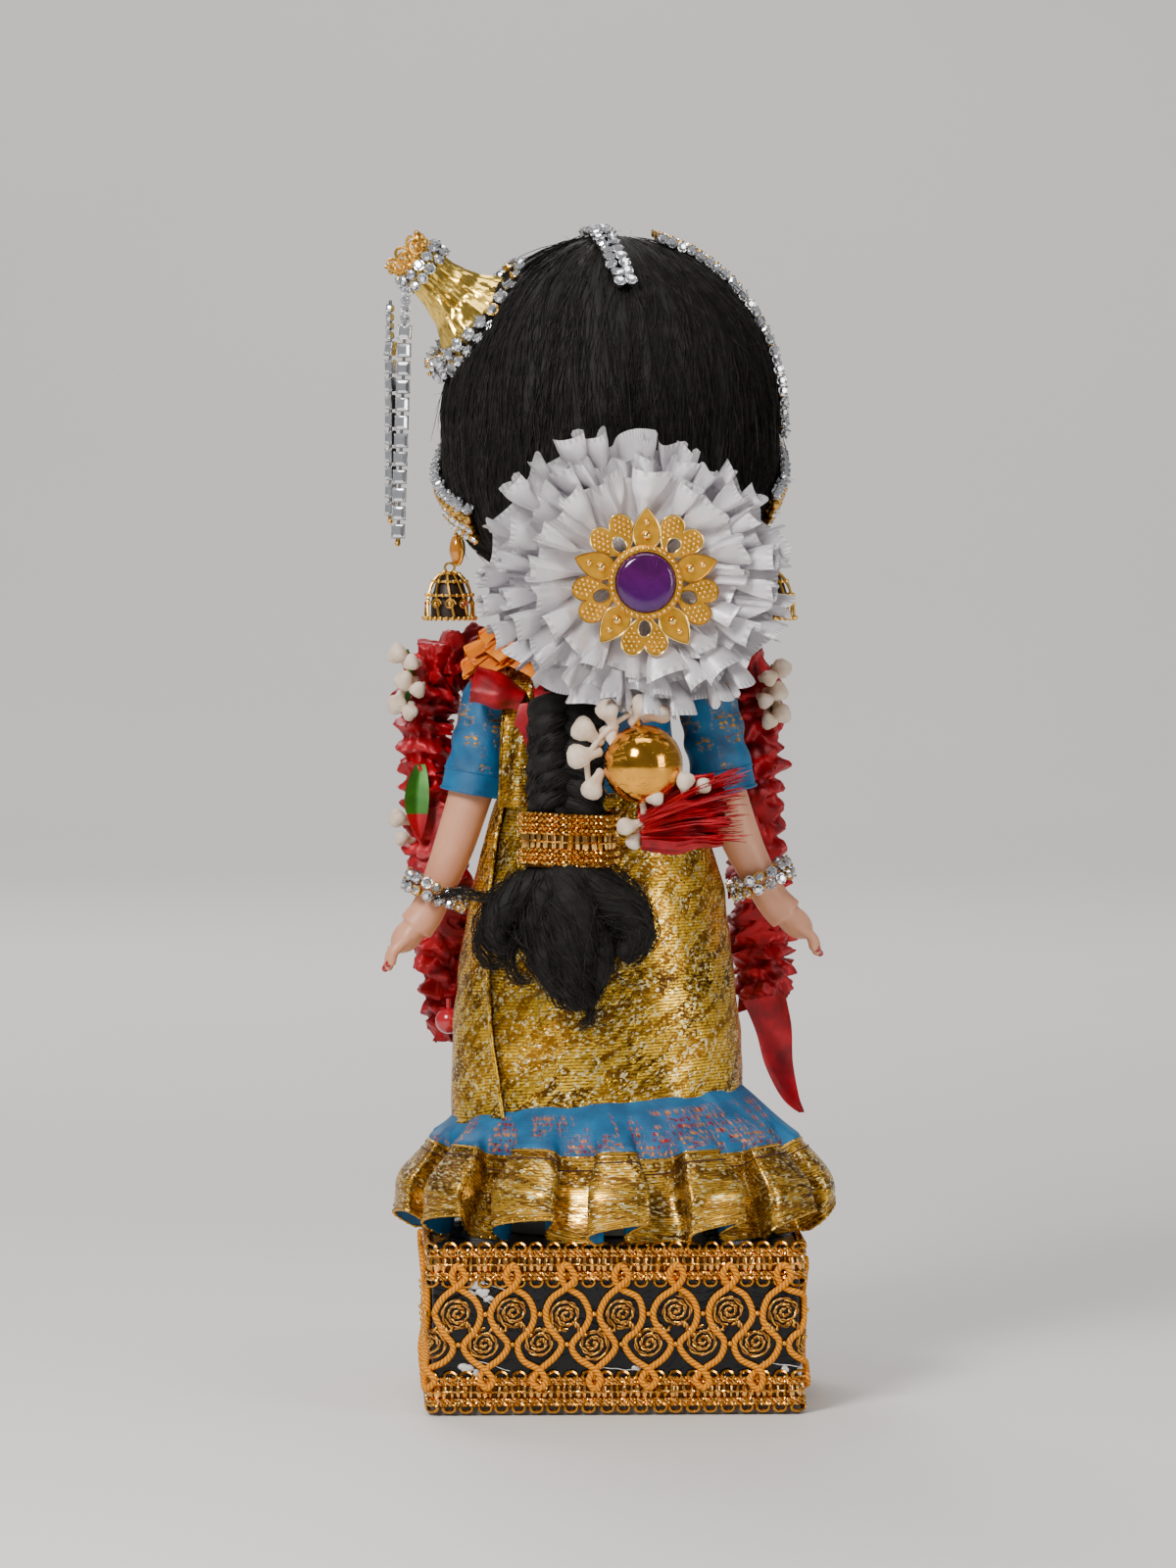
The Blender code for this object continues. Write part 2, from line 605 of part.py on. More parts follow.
def make_bun(mats, neck):
    """The foil cone, with its inside open at the base, and its trims."""
    r, length, wall = BUN_RIM_RADIUS, BUN_LENGTH, 0.8 * MM
    flare = [(r, 0), (r * 0.72, 0.16 * length), (r * 0.5, 0.42 * length), (r * 0.37, 0.72 * length),
             (r * 0.33, length)]
    inner = [(x - wall, z) for x, z in flare[:-1]] + [(r * 0.33 - wall, length - wall)]
    profile = flare + [(0.3 * MM, length), (0.3 * MM, length - wall)] + inner[::-1]
    turn = turn_to(BUN_AXIS)
    add_object("bun_cone", turned(profile, 20), mats["foil"], parent=neck, place=BUN_BASE, turn=turn)
    rim = [(r + GAP, -1.2 * MM), (r + 2.3 * MM, -1.2 * MM), (r + 1.7 * MM, 2.6 * MM), (r + GAP, 2.6 * MM)]
    add_object("bun_base_trim", turned(rim, 24), mats["stones"], parent=neck, place=BUN_BASE, turn=turn)
    narrow = r * 0.35 + GAP
    ring = [(narrow, length - 2.6 * MM), (narrow + 1.8 * MM, length - 2.6 * MM),
            (narrow + 1.8 * MM, length + 0.2 * MM), (narrow, length + 0.2 * MM)]
    add_object("bun_top_ring", turned(ring, 16), mats["stones"], parent=neck, place=BUN_BASE, turn=turn)
    low, high = length + 0.2 * MM + GAP, length + 4.4 * MM
    crown = [(0.4 * MM, low), (3.8 * MM, low), (4.9 * MM, high), (3.9 * MM, high), (3.0 * MM, low + 1 * MM),
             (0.4 * MM, low + 1 * MM)]
    add_object("bun_crown", turned(crown, 16), mats["gold"], parent=neck, place=BUN_BASE, turn=turn)


CHAINS = {
    "front": {"top": (42.2, 9.0, 229.4), "foot": (44.0, 9.0, 177.5), "stones": 14},
    "rear": {"top": (45.4, -1.4, 226.0), "foot": (45.4, -1.4, 182), "stones": 12},
}


def make_chain(name, mats, neck):
    """A strand of square stones joined by short links, hanging from its top."""
    data = CHAINS[name]
    top, foot = Vector(data["top"]) * MM, Vector(data["foot"]) * MM
    hinge = pivot(f"chain_{name}_pivot", top, neck)
    pitch = (foot - top) / data["stones"]
    rings = []
    for i in range(data["stones"]):
        for share, half in ((0.08, 0.5), (0.12, 1.35), (0.88, 1.35), (0.92, 0.5)):
            centre = top + pitch * (i + share)
            depth = half * 0.75
            rings.append([
                centre + Vector((sx * half, sy * depth, 0)) * MM
                for sx, sy in ((1, 1), (-1, 1), (-1, -1), (1, -1))
            ])
    add_object(f"chain_{name}", skin_rings(bmesh.new(), rings), mats["stones"], parent=hinge, smooth=False)


def band_on_hair(path, width, thickness, lift=0.4 * MM):
    """A band that lies on the hair, through points (angle about Z from +X, height in mm)."""
    rings = []
    centres = []
    for angle, z in path:
        reach = HAIR_RADIUS * hair_share(z * MM)
        turn = math.radians(angle)
        centres.append(Vector((reach * math.cos(turn), reach * math.sin(turn), z * MM)))
    middle = Vector((0, 0, HAIR_Z))
    for i, centre in enumerate(centres):
        along = (centres[min(i + 1, len(centres) - 1)] - centres[max(i - 1, 0)]).normalized()
        out = (centre - middle).normalized()
        out = (out - along * out.dot(along)).normalized()
        side = along.cross(out) * width / 2
        base = centre + out * lift
        rings.append([base + side, base - side, base - side + out * thickness, base + side + out * thickness])
    return skin_rings(bmesh.new(), rings)


def make_hair_jewels(mats, neck):
    strip = [(95, 228.6), (92, 233), (86, 237.2), (70, 239.8), (-60, 239.8), (-80, 237), (-86, 232)]
    add_object("parting_strip", band_on_hair(strip, 5 * MM, 1.8 * MM, 0.9 * MM), mats["stones"], parent=neck)
    crown = [(168, 239.4), (178, 236.6), (184, 231.6), (186, 225.4), (187, 218.6), (188, 210), (190, 200)]
    add_object("crown_band", band_on_hair(crown, 7 * MM, 2.2 * MM, 0.7 * MM), mats["gold"], parent=neck)
    left = [(-24, 194), (-12, 189.4), (2, 185.6), (16, 182.6), (28, 180.4)]
    add_object("ear_strip_left", band_on_hair(left, 6 * MM, 1.8 * MM, 0.6 * MM), mats["stones"], parent=neck)
    right = [(204, 196.5), (192, 192), (178, 187), (164, 183)]
    add_object("ear_strip_right", band_on_hair(right, 6 * MM, 1.8 * MM, 0.6 * MM), mats["stones"], parent=neck)


EARRINGS = {"left": 1, "right": -1}


def make_ear(side, mats, neck):
    """The drop glued under the ear strip, and the domed earring that hangs below it."""
    sign = EARRINGS[side]
    x = sign * 31.6 * MM
    drop_bm = ball(1.0, 12)
    for vert in drop_bm.verts:
        vert.co = Vector((vert.co.x * 2.0, vert.co.y * 1.6, vert.co.z * 3.0)) * MM
    add_object(f"ear_drop_{side}", drop_bm, mats["gold"], parent=neck, place=(x, -2 * MM, 175.4 * MM))
    top = Vector((sign * 33.2 * MM, -2 * MM, 171.6 * MM))
    hinge = pivot(f"earring_{side}_pivot", top, neck)
    dome = [(0.4, -0.4), (1.0, -0.6), (2.6, -1.8), (4.4, -4.4), (5.0, -8.0), (4.9, -10.9), (3.9, -10.9),
            (3.6, -6.0), (0.4, -3.4)]
    profile = [(r * MM, z * MM) for r, z in dome]
    add_object(f"earring_{side}", turned(profile, 14), mats["gold"], parent=hinge, place=top)


def make_rosette(mats, neck):
    disc = round_bar(20 * MM, 1.5 * MM, 24)
    face_back = turn_to((0, 1, 0))
    add_object(
        "rosette_backing", disc, mats["felt"], parent=neck,
        place=ROSETTE_CENTRE - Vector((0, 1.9 * MM, 0)), turn=face_back,
    )
    lobes, per_lobe = 12, 4
    rings = []
    for depth, share in ((0.0, 0.86), (0.35, 1.0), (0.7, 0.97), (1.0, 0.8)):
        ring = []
        for i in range(lobes * per_lobe):
            angle = math.tau * i / (lobes * per_lobe)
            wave = 1 + 0.035 * math.cos(lobes * angle)
            ring.append(ROSETTE_CENTRE + Vector((
                31.6 * MM * share * wave * math.cos(angle),
                depth * ROSETTE_DEPTH,
                27.0 * MM * share * wave * math.sin(angle),
            )))
        rings.append(ring)
    add_object("rosette", skin_rings(bmesh.new(), rings), mats["satin"], parent=neck)
    petals, steps = 10, 4
    outline = []
    for i in range(petals * steps):
        angle = math.tau * i / (petals * steps) + math.pi / 2
        reach = 12.6 + 2.2 * math.cos(petals * (angle - math.pi / 2))
        outline.append((reach * MM * math.cos(angle), reach * MM * math.sin(angle)))
    flower = moved(plate(outline, 1.4 * MM), FLOWER_CENTRE)
    add_object("filigree_flower", flower, mats["gold"], parent=neck)
    dome = [(0.3, 2.6), (3.2, 2.3), (5.2, 1.4), (6.2, 0.2), (6.2, 0), (0.3, 0)]
    stone = turned([(r * MM, z * MM) for r, z in reversed(dome)], 20)
    stone_place = FLOWER_CENTRE + Vector((0, 1.4 * MM + GAP, 0))
    add_object("cabochon", stone, mats["purple"], parent=neck, place=stone_place, turn=face_back)


# Plait and pendant, which swing from the head

def make_plait(mats, neck):
    hinge = pivot("plait_pivot", (PLAIT_X, PLAIT_Y, PLAIT_TOP), neck)
    hang = [(145.3, 6.8, 3.6), (142, 9.0, 5.2), (137, 7.8, 4.6), (132, 9.0, 5.2), (127, 7.8, 4.6),
            (122.8, 8.4, 4.8)]
    plait = [(z, w, d, PLAIT_X / MM, PLAIT_Y / MM) for z, w, d in hang]
    add_object("plait", lofted(plait, 16), mats["wool"], parent=hinge)
    band = [(122.4, 8.8, 5.2, 9.6, 28.8), (116.8, 9.0, 5.4, 9.6, 28.8), (111.2, 8.8, 5.2, 9.6, 28.8)]
    add_object("plait_band", lofted(band, 16), mats["lurex"], parent=hinge)
    tassel = [(110.8, 7.8, 4.6, 9.4, 28.8), (105, 12.6, 5.8, 7.2, 28.8), (97, 13.4, 6.2, 6.6, 28.8),
              (89, 8.4, 5.4, 9.0, 28.8), (81.2, 3.4, 3.2, 7.6, 28.8)]
    add_object("plait_tassel", lofted(tassel, 16), mats["wool"], parent=hinge)


def make_pendant(mats, neck):
    hinge = pivot("pendant_pivot", PENDANT_PIVOT, neck)
    bead_place = Vector((-5.0 * MM, PENDANT_PIVOT.y, 133 * MM))
    add_object("gold_bead", ball(BEAD_RADIUS, 20), mats["foil"], parent=hinge, place=bead_place)
    sprig = tube(
        in_metres([(-2.6, 42, 142.6), (0.4, 42, 142), (4.4, 42, 139.4), (6.6, 42, 135), (7.2, 42, 130.6)]),
        [0.9 * MM, 1.4 * MM, 1.9 * MM, 2.4 * MM, 1.6 * MM], 10,
    )
    add_object("bud_sprig", sprig, mats["bud"], parent=hinge)
    tassel = tube(
        in_metres([(-4.5, 42, 121.6), (-9.5, 42, 120.5), (-15.5, 42, 122.4), (-22, 42, 124.8)]),
        [2.0 * MM, 3.6 * MM, 4.2 * MM, 1.8 * MM], 12,
    )
    add_object("red_tassel", tassel, mats["red"], parent=hinge)


def build():
    clear_scene()
    mats = make_materials()
    make_plinth(mats)
    make_core(mats)
    make_wrap(mats)
    make_underskirt(mats)
    make_border(mats)
    make_blouse(mats)
    make_pallu(mats)
    make_garlands(mats)
    for side in ARMS:
        make_arm(side, mats)
    neck = pivot("neck_pivot", (NECK_X, 0, NECK_Z))
    make_head(mats, neck)
    make_bun(mats, neck)
    for name in CHAINS:
        make_chain(name, mats, neck)
    make_hair_jewels(mats, neck)
    for side in EARRINGS:
        make_ear(side, mats, neck)
    make_rosette(mats, neck)
    make_plait(mats, neck)
    make_pendant(mats, neck)


build()
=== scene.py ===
"""The looks of a dressed doll on a trimmed plinth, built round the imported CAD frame.

Everything is in metres in the frame's own axes: +Z up, the doll faces -Y, her left side is at +X.
"""

import math
import random

import bmesh
import bpy
from mathutils import Matrix, Vector, noise


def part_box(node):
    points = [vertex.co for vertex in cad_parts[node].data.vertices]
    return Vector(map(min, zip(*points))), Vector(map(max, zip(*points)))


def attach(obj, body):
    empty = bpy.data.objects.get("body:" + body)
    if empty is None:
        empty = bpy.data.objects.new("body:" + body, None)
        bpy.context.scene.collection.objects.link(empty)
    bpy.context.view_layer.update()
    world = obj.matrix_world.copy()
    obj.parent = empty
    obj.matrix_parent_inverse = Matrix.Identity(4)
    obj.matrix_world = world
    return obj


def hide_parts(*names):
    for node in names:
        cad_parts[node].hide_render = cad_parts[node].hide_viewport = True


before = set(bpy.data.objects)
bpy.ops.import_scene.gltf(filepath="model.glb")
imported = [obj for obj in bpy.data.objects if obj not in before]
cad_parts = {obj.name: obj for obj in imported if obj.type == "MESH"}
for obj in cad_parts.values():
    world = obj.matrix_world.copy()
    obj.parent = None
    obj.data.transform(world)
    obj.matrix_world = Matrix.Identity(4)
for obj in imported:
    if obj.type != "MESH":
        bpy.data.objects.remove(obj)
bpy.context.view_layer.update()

MM = 0.001
TAU = math.tau

UP = Vector((0, 0, 1))
BACK = Vector((0, 1, 0))


# ---------------------------------------------------------------- places read from the frame

def low(node):
    return Vector(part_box(node)[0])


def high(node):
    return Vector(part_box(node)[1])


def middle(node):
    return (low(node) + high(node)) / 2


# ---------------------------------------------------------------- materials

class Paint:
    """A material on one Principled shader, with short names for the nodes that drive it."""

    def __init__(self, name, colour, roughness, metallic=0.0, **values):
        self.material = bpy.data.materials.new(name)
        self.material.use_nodes = True
        self.tree = self.material.node_tree
        self.shader = self.tree.nodes["Principled BSDF"]
        self.set("Base Color", (*colour, 1))
        self.set("Roughness", roughness)
        self.set("Metallic", metallic)
        for socket, value in values.items():
            self.set(socket.replace("_", " "), value)

    def set(self, socket, value):
        self.shader.inputs[socket].default_value = value

    def node(self, kind, settings=None, **inputs):
        made = self.tree.nodes.new("ShaderNode" + kind)
        for key, value in (settings or {}).items():
            setattr(made, key, value)
        for key, value in inputs.items():
            self.feed(made.inputs[key.replace("_", " ")], value)
        return made

    def feed(self, socket, value):
        if isinstance(value, bpy.types.NodeSocket):
            self.tree.links.new(value, socket)
        elif value is not None:
            socket.default_value = value

    def place(self):
        return self.node("TexCoord").outputs["Object"]

    def flat(self):
        """The piece's own flat pattern coordinates, in millimetres."""
        return self.node("TexCoord").outputs["UV"]

    def scaled(self, vector, scale, turn=0.0, shift=(0, 0, 0)):
        mapping = self.node("Mapping", Vector=vector)
        mapping.inputs["Scale"].default_value = scale
        mapping.inputs["Rotation"].default_value = (0, 0, math.radians(turn))
        mapping.inputs["Location"].default_value = shift
        return mapping.outputs["Vector"]

    def noise(self, vector, scale, detail=3.0, rough=0.5, distortion=0.0):
        made = self.node("TexNoise", Vector=vector, Scale=scale, Detail=detail, Roughness=rough)
        made.inputs["Distortion"].default_value = distortion
        return made.outputs["Fac"]

    def cells(self, vector, scale, output="Distance", feature="F1"):
        made = self.node("TexVoronoi", {"feature": feature}, Vector=vector, Scale=scale)
        return made.outputs[output]

    def bands(self, vector, scale, direction="X", distortion=0.0, detail=0.0, profile="SIN"):
        made = self.node(
            "TexWave", {"wave_type": "BANDS", "bands_direction": direction,
                "wave_profile": profile},
            Vector=vector, Scale=scale, Distortion=distortion, Detail=detail,
        )
        return made.outputs["Fac"]

    def math(self, operation, a, b=0.0, clamp=False):
        made = self.node("Math", {"operation": operation, "use_clamp": clamp})
        self.feed(made.inputs[0], a)
        self.feed(made.inputs[1], b)
        return made.outputs[0]

    def split(self, vector):
        made = self.node("SeparateXYZ", Vector=vector)
        return made.outputs["X"], made.outputs["Y"], made.outputs["Z"]

    def ramp(self, factor, stops, smooth=False):
        made = self.node("ValToRGB", Fac=factor)
        made.color_ramp.interpolation = "EASE" if smooth else "LINEAR"
        elements = made.color_ramp.elements
        while len(elements) < len(stops):
            elements.new(0.5)
        for element, (position, value) in zip(elements, stops):
            element.position = position
            element.color = (*value, 1) if isinstance(value, tuple) else (value, value, value, 1)
        return made.outputs["Color"]

    def mix(self, factor, a, b, blend="MIX"):
        made = self.node("Mix", {"data_type": "RGBA", "blend_type": blend})
        for index, value in ((0, factor), (6, a), (7, b)):
            if isinstance(value, tuple) and len(value) == 3:
                value = (*value, 1)
            self.feed(made.inputs[index], value)
        return made.outputs[2]

    def colour(self, value):
        self.feed(self.shader.inputs["Base Color"], value)

    def rough(self, factor, smooth_end, rough_end):
        made = self.node("MapRange", Value=factor)
        made.inputs["To Min"].default_value = smooth_end
        made.inputs["To Max"].default_value = rough_end
        self.feed(self.shader.inputs["Roughness"], made.outputs["Result"])

    def bump(self, height, distance, strength=1.0):
        """Adds relief of this depth in metres on top of any earlier relief."""
        made = self.node("Bump", Height=height, Strength=strength, Distance=distance)
        earlier = self.shader.inputs["Normal"].links
        if earlier:
            self.tree.links.new(earlier[0].from_socket, made.inputs["Normal"])
        self.tree.links.new(made.outputs["Normal"], self.shader.inputs["Normal"])


# ---------------------------------------------------------------- meshes

class Shape:
    """Collects vertices, faces, flat coordinates and material numbers, and becomes one object."""

    def __init__(self):
        self.points, self.faces, self.flats, self.slots = [], [], [], []

    def add(self, points, faces, flats=None, slot=0):
        start = len(self.points)
        self.points.extend(points)
        for face in faces:
            self.faces.append([start + k for k in face])
            self.slots.append(slot)
        self.flats.extend(flats if flats else [(0.0, 0.0)] * len(points))

    def sheet(self, at, across, along, close_u=False, close_v=False, size=None, slot=0):
        """A grid of points at(u, v) for u and v from 0 to 1. size gives its flat size in mm."""
        wide, tall = size or (1.0, 1.0)
        points, flats, faces = [], [], []
        for j in range(along + 1 - close_v):
            for i in range(across + 1 - close_u):
                points.append(at(i / across, j / along))
                flats.append((wide * i / across, tall * j / along))
        row = across + 1 - close_u
        rows = along + 1 - close_v
        for j in range(along):
            for i in range(across):
                a, b = j * row + i, j * row + (i + 1) % row
                c, d = ((j + 1) % rows) * row + (i + 1) % row, ((j + 1) % rows) * row + i
                faces.append((a, b, c, d))
        self.add(points, faces, flats, slot)

    def tube(self, path, radius, sides=8, closed=False, slot=0, caps=True, up=None):
        """A round cord along a path. radius is a number or one for each point."""
        count = len(path)
        radii = radius if isinstance(radius, (list, tuple)) else [radius] * count
        points, flats, faces = [], [], []
        normal, run = None, 0.0
        for i, point in enumerate(path):
            before = path[i - 1] if i or closed else point
            after = path[(i + 1) % count] if i < count - 1 or closed else point
            along = (after - before)
            along = along.normalized() if along.length > 1e-12 else Vector((0, 0, 1))
            if normal is None:
                normal = up or (Vector((0, 0, 1)) if abs(along.z) < 0.9 else Vector((0, 1, 0)))
            normal = (normal - along * normal.dot(along))
            normal = normal.normalized() if normal.length > 1e-9 else along.orthogonal().normalized()
            side = along.cross(normal)
            if i:
                run += (point - path[i - 1]).length / MM
            for k in range(sides):
                angle = TAU * k / sides
                points.append(point + (side * math.cos(angle)
                    + normal * math.sin(angle)) * radii[i])
                flats.append((run, radii[i] / MM * angle))
        for i in range(count if closed else count - 1):
            for k in range(sides):
                a, b = i * sides + k, i * sides + (k + 1) % sides
                j = (i + 1) % count
                faces.append((a, b, j * sides + (k + 1) % sides, j * sides + k))
        if caps and not closed:
            faces.append(tuple(range(sides))[::-1])
            faces.append(tuple((count - 1) * sides + k for k in range(sides)))
        self.add(points, faces, flats, slot)

    def ball(self, centre, radius, rings=6, sides=10, stretch=(1, 1, 1), turn=None, slot=0):
        points, faces = [], []
        for j in range(rings + 1):
            height = math.cos(math.pi * j / rings)
            reach = math.sin(math.pi * j / rings)
            for k in range(sides if 0 < j < rings else 1):
                angle = TAU * k / sides
                place = Vector((reach * math.cos(angle), reach * math.sin(angle), height))
                place = Vector(p * s for p, s in zip(place, stretch)) * radius
                points.append(centre + (turn @ place if turn else place))
        first = lambda j: 0 if j == 0 else 1 + (j - 1) * sides
        for j in range(rings):
            for k in range(sides):
                n = (k + 1) % sides
                if j == 0:
                    faces.append((0, first(1) + k, first(1) + n))
                elif j == rings - 1:
                    faces.append((first(j) + n, first(j) + k, first(rings)))
                else:
                    a, b = first(j) + k, first(j) + n
                    faces.append((a, first(j + 1) + k, first(j + 1) + n, b))
        self.add(points, faces, None, slot)

    def turned(self, profile, centre, axis, sides=24, slot=0, closed=True):
        """A profile of (radius, height) turned round an axis through centre."""
        turn = UP.rotation_difference(Vector(axis)).to_matrix()
        points, faces = [], []
        for i in range(sides):
            angle = TAU * i / sides
            for r, h in profile:
                points.append(centre + turn @ Vector((r * math.cos(angle), r * math.sin(angle), h)))
        size = len(profile)
        for i in range(sides):
            j = (i + 1) % sides
            for k in range(size if closed else size - 1):
                n = (k + 1) % size
                faces.append((i * size + k, j * size + k, j * size + n, i * size + n))
        self.add(points, faces, None, slot)

    def piece(self, name, paints, body, slot, replaces=(), smooth=True, angle=40, outward=True):
        """Makes the object, and says which body it rides on and which CAD nodes it stands for."""
        mesh = bpy.data.meshes.new(name)
        mesh.from_pydata([tuple(p) for p in self.points], [], self.faces)
        for paint in paints:
            mesh.materials.append(paint.material)
        layer = mesh.uv_layers.new(name="flat")
        for loop in mesh.loops:
            layer.data[loop.index].uv = self.flats[loop.vertex_index]
        for polygon, number in zip(mesh.polygons, self.slots):
            polygon.material_index = number
        if outward:
            bm = bmesh.new()
            bm.from_mesh(mesh)
            bmesh.ops.recalc_face_normals(bm, faces=bm.faces)
            bm.to_mesh(mesh)
            bm.free()
        if smooth:
            mesh.shade_smooth()
            mesh.set_sharp_from_angle(angle=math.radians(angle))
        obj = bpy.data.objects.new(name, mesh)
        bpy.context.collection.objects.link(obj)
        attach(obj, body)
        if replaces:
            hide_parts(*replaces)
        return obj


def smooth_step(a, b, x):
    t = min(1.0, max(0.0, (x - a) / (b - a)))
    return t * t * (3 - 2 * t)


def lerp(a, b, t):
    return a + (b - a) * t


def wander(x, seed=0.0, y=0.0):
    """Smooth seeded noise from -1 to 1."""
    return noise.noise(Vector((x, y, seed * 7.31 + 0.5)))


def curve_through(points, steps):
    """Points along a smooth curve through hand-set points (Catmull-Rom)."""
    found = []
    last = len(points) - 1
    for i in range(last):
        p0, p1 = points[max(i - 1, 0)], points[i]
        p2, p3 = points[i + 1], points[min(i + 2, last)]
        for k in range(steps):
            t = k / steps
            found.append(0.5 * (
                2 * p1 + (p2 - p0) * t + (2 * p0 - 5 * p1 + 4 * p2 - p3) * t * t
                + (3 * p1 - p0 - 3 * p2 + p3) * t * t * t
            ))
    found.append(points[-1].copy())
    return found


def mm(*values):
    return Vector(values) * MM


# ---------------------------------------------------------------- camera, floor and light

def aim(obj, target):
    obj.rotation_euler = (Vector(target) - obj.location).to_track_quat("-Z", "Y").to_euler()


def make_camera():
    """A long lens behind the doll, a little to her left and above."""
    distance, side, rise = 1.5, math.radians(2.0), math.radians(3.0)
    target = mm(5.4, 22, 128)
    camera = bpy.data.objects.new("camera", bpy.data.cameras.new("camera"))
    bpy.context.collection.objects.link(camera)
    camera.location = target + distance * Vector((
        math.sin(side) * math.cos(rise), math.cos(side) * math.cos(rise), math.sin(rise),
    ))
    aim(camera, target)
    camera.data.sensor_fit = "VERTICAL"
    camera.data.sensor_height = 32
    camera.data.lens = 32 * distance / 0.320
    camera.data.clip_start = 0.05
    bpy.context.scene.camera = camera


def make_light():
    def area(name, place, size, power, colour=(1, 1, 1), target=(0, 0, 0.12)):
        lamp = bpy.data.lights.new(name, "AREA")
        lamp.shape = "RECTANGLE"
        lamp.size, lamp.size_y = size
        lamp.energy = power
        lamp.color = colour
        obj = bpy.data.objects.new(name, lamp)
        bpy.context.collection.objects.link(obj)
        obj.location = place
        aim(obj, target)

    area("key", (0.42, 0.72, 0.70), (0.26, 0.30), 10.5, (1, 0.985, 0.96))
    area("fill", (-0.75, 0.60, 0.30), (0.3, 0.5), 2.6, (1, 0.97, 0.93))
    area("front", (0.35, -1.25, 1.25), (0.6, 0.6), 11)
    area("top", (0.0, 0.1, 0.95), (0.5, 0.4), 2.6)
    area("backdrop", (0.0, -0.55, 1.5), (1.6, 0.5), 24, target=(0, -2.2, 1.3))
    world = bpy.data.worlds.new("studio")
    world.use_nodes = True
    background = world.node_tree.nodes["Background"]
    background.inputs["Color"].default_value = (0.80, 0.79, 0.78, 1)
    background.inputs["Strength"].default_value = 0.26
    bpy.context.scene.world = world


def make_floor():
    paint = Paint("pale_floor", (0.78, 0.76, 0.74), 0.55)
    paint.colour(paint.ramp(paint.noise(paint.place(), 3.0),
        [(0.3, (0.76, 0.74, 0.72)), (0.7, (0.79, 0.77, 0.75))]))
    reach, rise, bend = 2.4, 2.2, 0.5
    back = -1.7
    profile = [Vector((0, 2.2, 0)), Vector((0, back, 0))]
    profile += [
        Vector((0, back - bend * math.sin(a), bend - bend * math.cos(a)))
        for a in (math.radians(10 * k) for k in range(1, 9))
    ]
    profile += [Vector((0, back - bend, bend)), Vector((0, back - bend, rise))]
    points = [p + Vector((x, 0, -0.0001)) for p in profile for x in (-reach, reach)]
    faces = [(2 * i, 2 * i + 1, 2 * i + 3, 2 * i + 2) for i in range(len(profile) - 1)]
    mesh = bpy.data.meshes.new("floor")
    mesh.from_pydata([tuple(p) for p in points], [], faces)
    mesh.materials.append(paint.material)
    mesh.shade_smooth()
    floor = bpy.data.objects.new("floor", mesh)
    bpy.context.collection.objects.link(floor)


make_camera()
make_light()
make_floor()


# ---------------------------------------------------------------- shared paints

def metal(name, colour, roughness, grain=0.00003):
    paint = Paint(name, colour, roughness, 1.0)
    place = paint.place()
    cloud = paint.noise(place, 260, 4)
    dark = tuple(c * 0.72 for c in colour)
    paint.colour(paint.ramp(cloud, [(0.3, dark), (0.62, colour)]))
    paint.rough(paint.noise(place, 900, 3), roughness * 0.65, roughness * 1.5)
    paint.bump(paint.noise(place, 1500, 2), grain, 0.5)
    return paint


def stone_paint(name="clear_stone", colour=(0.86, 0.88, 0.93)):
    """Foil-backed cut glass: each facet mirrors, its edge keeps a glassy coat, and random cells
    carry painted coloured flashes of light.
    """
    paint = Paint(name, colour, 0.04, 0.86, Coat_Weight=1.0, Coat_Roughness=0.02)
    place = paint.place()
    # Painted light: random cells tint the mirrored facets in colours, as light split by the glass.
    painted_flash_colours = paint.node("TexVoronoi", {"feature": "F1"}, Vector=place, Scale=1100.0).outputs["Color"]
    tint = paint.mix(0.16, colour, painted_flash_colours, "OVERLAY")
    paint.colour(paint.mix(0.10, tint, (0.35, 0.42, 0.55)))
    return paint


def ribbon_paint(name, colour, shade, width, weave=3.6, rough=0.36, edge=True):
    """Satin ribbon: fine cross ribs, a picot edge with painted highlight on its stitch bars and
    painted shade between them, and a soft sheen.
    """
    paint = Paint(name, colour, rough, 0.62, Sheen_Weight=0.03, Sheen_Roughness=0.35,
        Anisotropic=0.4)
    paint.set("IOR", 1.75)
    paint.set("Sheen Tint", (*colour, 1))
    flat = paint.flat()
    _, across, _ = paint.split(flat)
    cloud = paint.noise(paint.place(), 160, 4)
    body = paint.mix(paint.ramp(cloud, [(0.3, 0.0), (0.72, 1.0)]), shade, colour)
    ribs = paint.bands(paint.scaled(flat, (1, 1, 1), 35), weave, "Y")
    twill = paint.bands(paint.scaled(flat, (1, 1, 1), -62), weave * 0.8, "Y")
    cloth = paint.math("MULTIPLY", ribs, twill)
    body = paint.mix(paint.math("MULTIPLY", cloth, 0.22), body, (1, 1, 1))
    if edge:
        from_edge = paint.math("MINIMUM", across, paint.math("SUBTRACT", width, across))
        hem = paint.math("LESS_THAN", from_edge, 0.85)
        bars = paint.bands(flat, 0.62, "X")
        ladder = paint.math("MULTIPLY", hem, paint.math("GREATER_THAN", bars, 0.55))
        # Painted highlight: the raised stitch bars of the edge are painted lighter.
        body = paint.mix(paint.math("MULTIPLY", ladder, 0.7), body,
            tuple(min(1, c * 1.15 + 0.05) for c in colour))
        # Painted shade: the gaps between the edge stitches are painted darker.
        groove = paint.math("MULTIPLY", hem, paint.math("LESS_THAN", bars, 0.35))
        body = paint.mix(paint.math("MULTIPLY", groove, 0.45), body, tuple(c * 0.6 for c in shade))
        paint.bump(ladder, 0.00022, 0.8)
    paint.colour(body)
    paint.bump(cloth, 0.00006, 0.8)
    paint.bump(cloud, 0.0003, 0.35)
    return paint


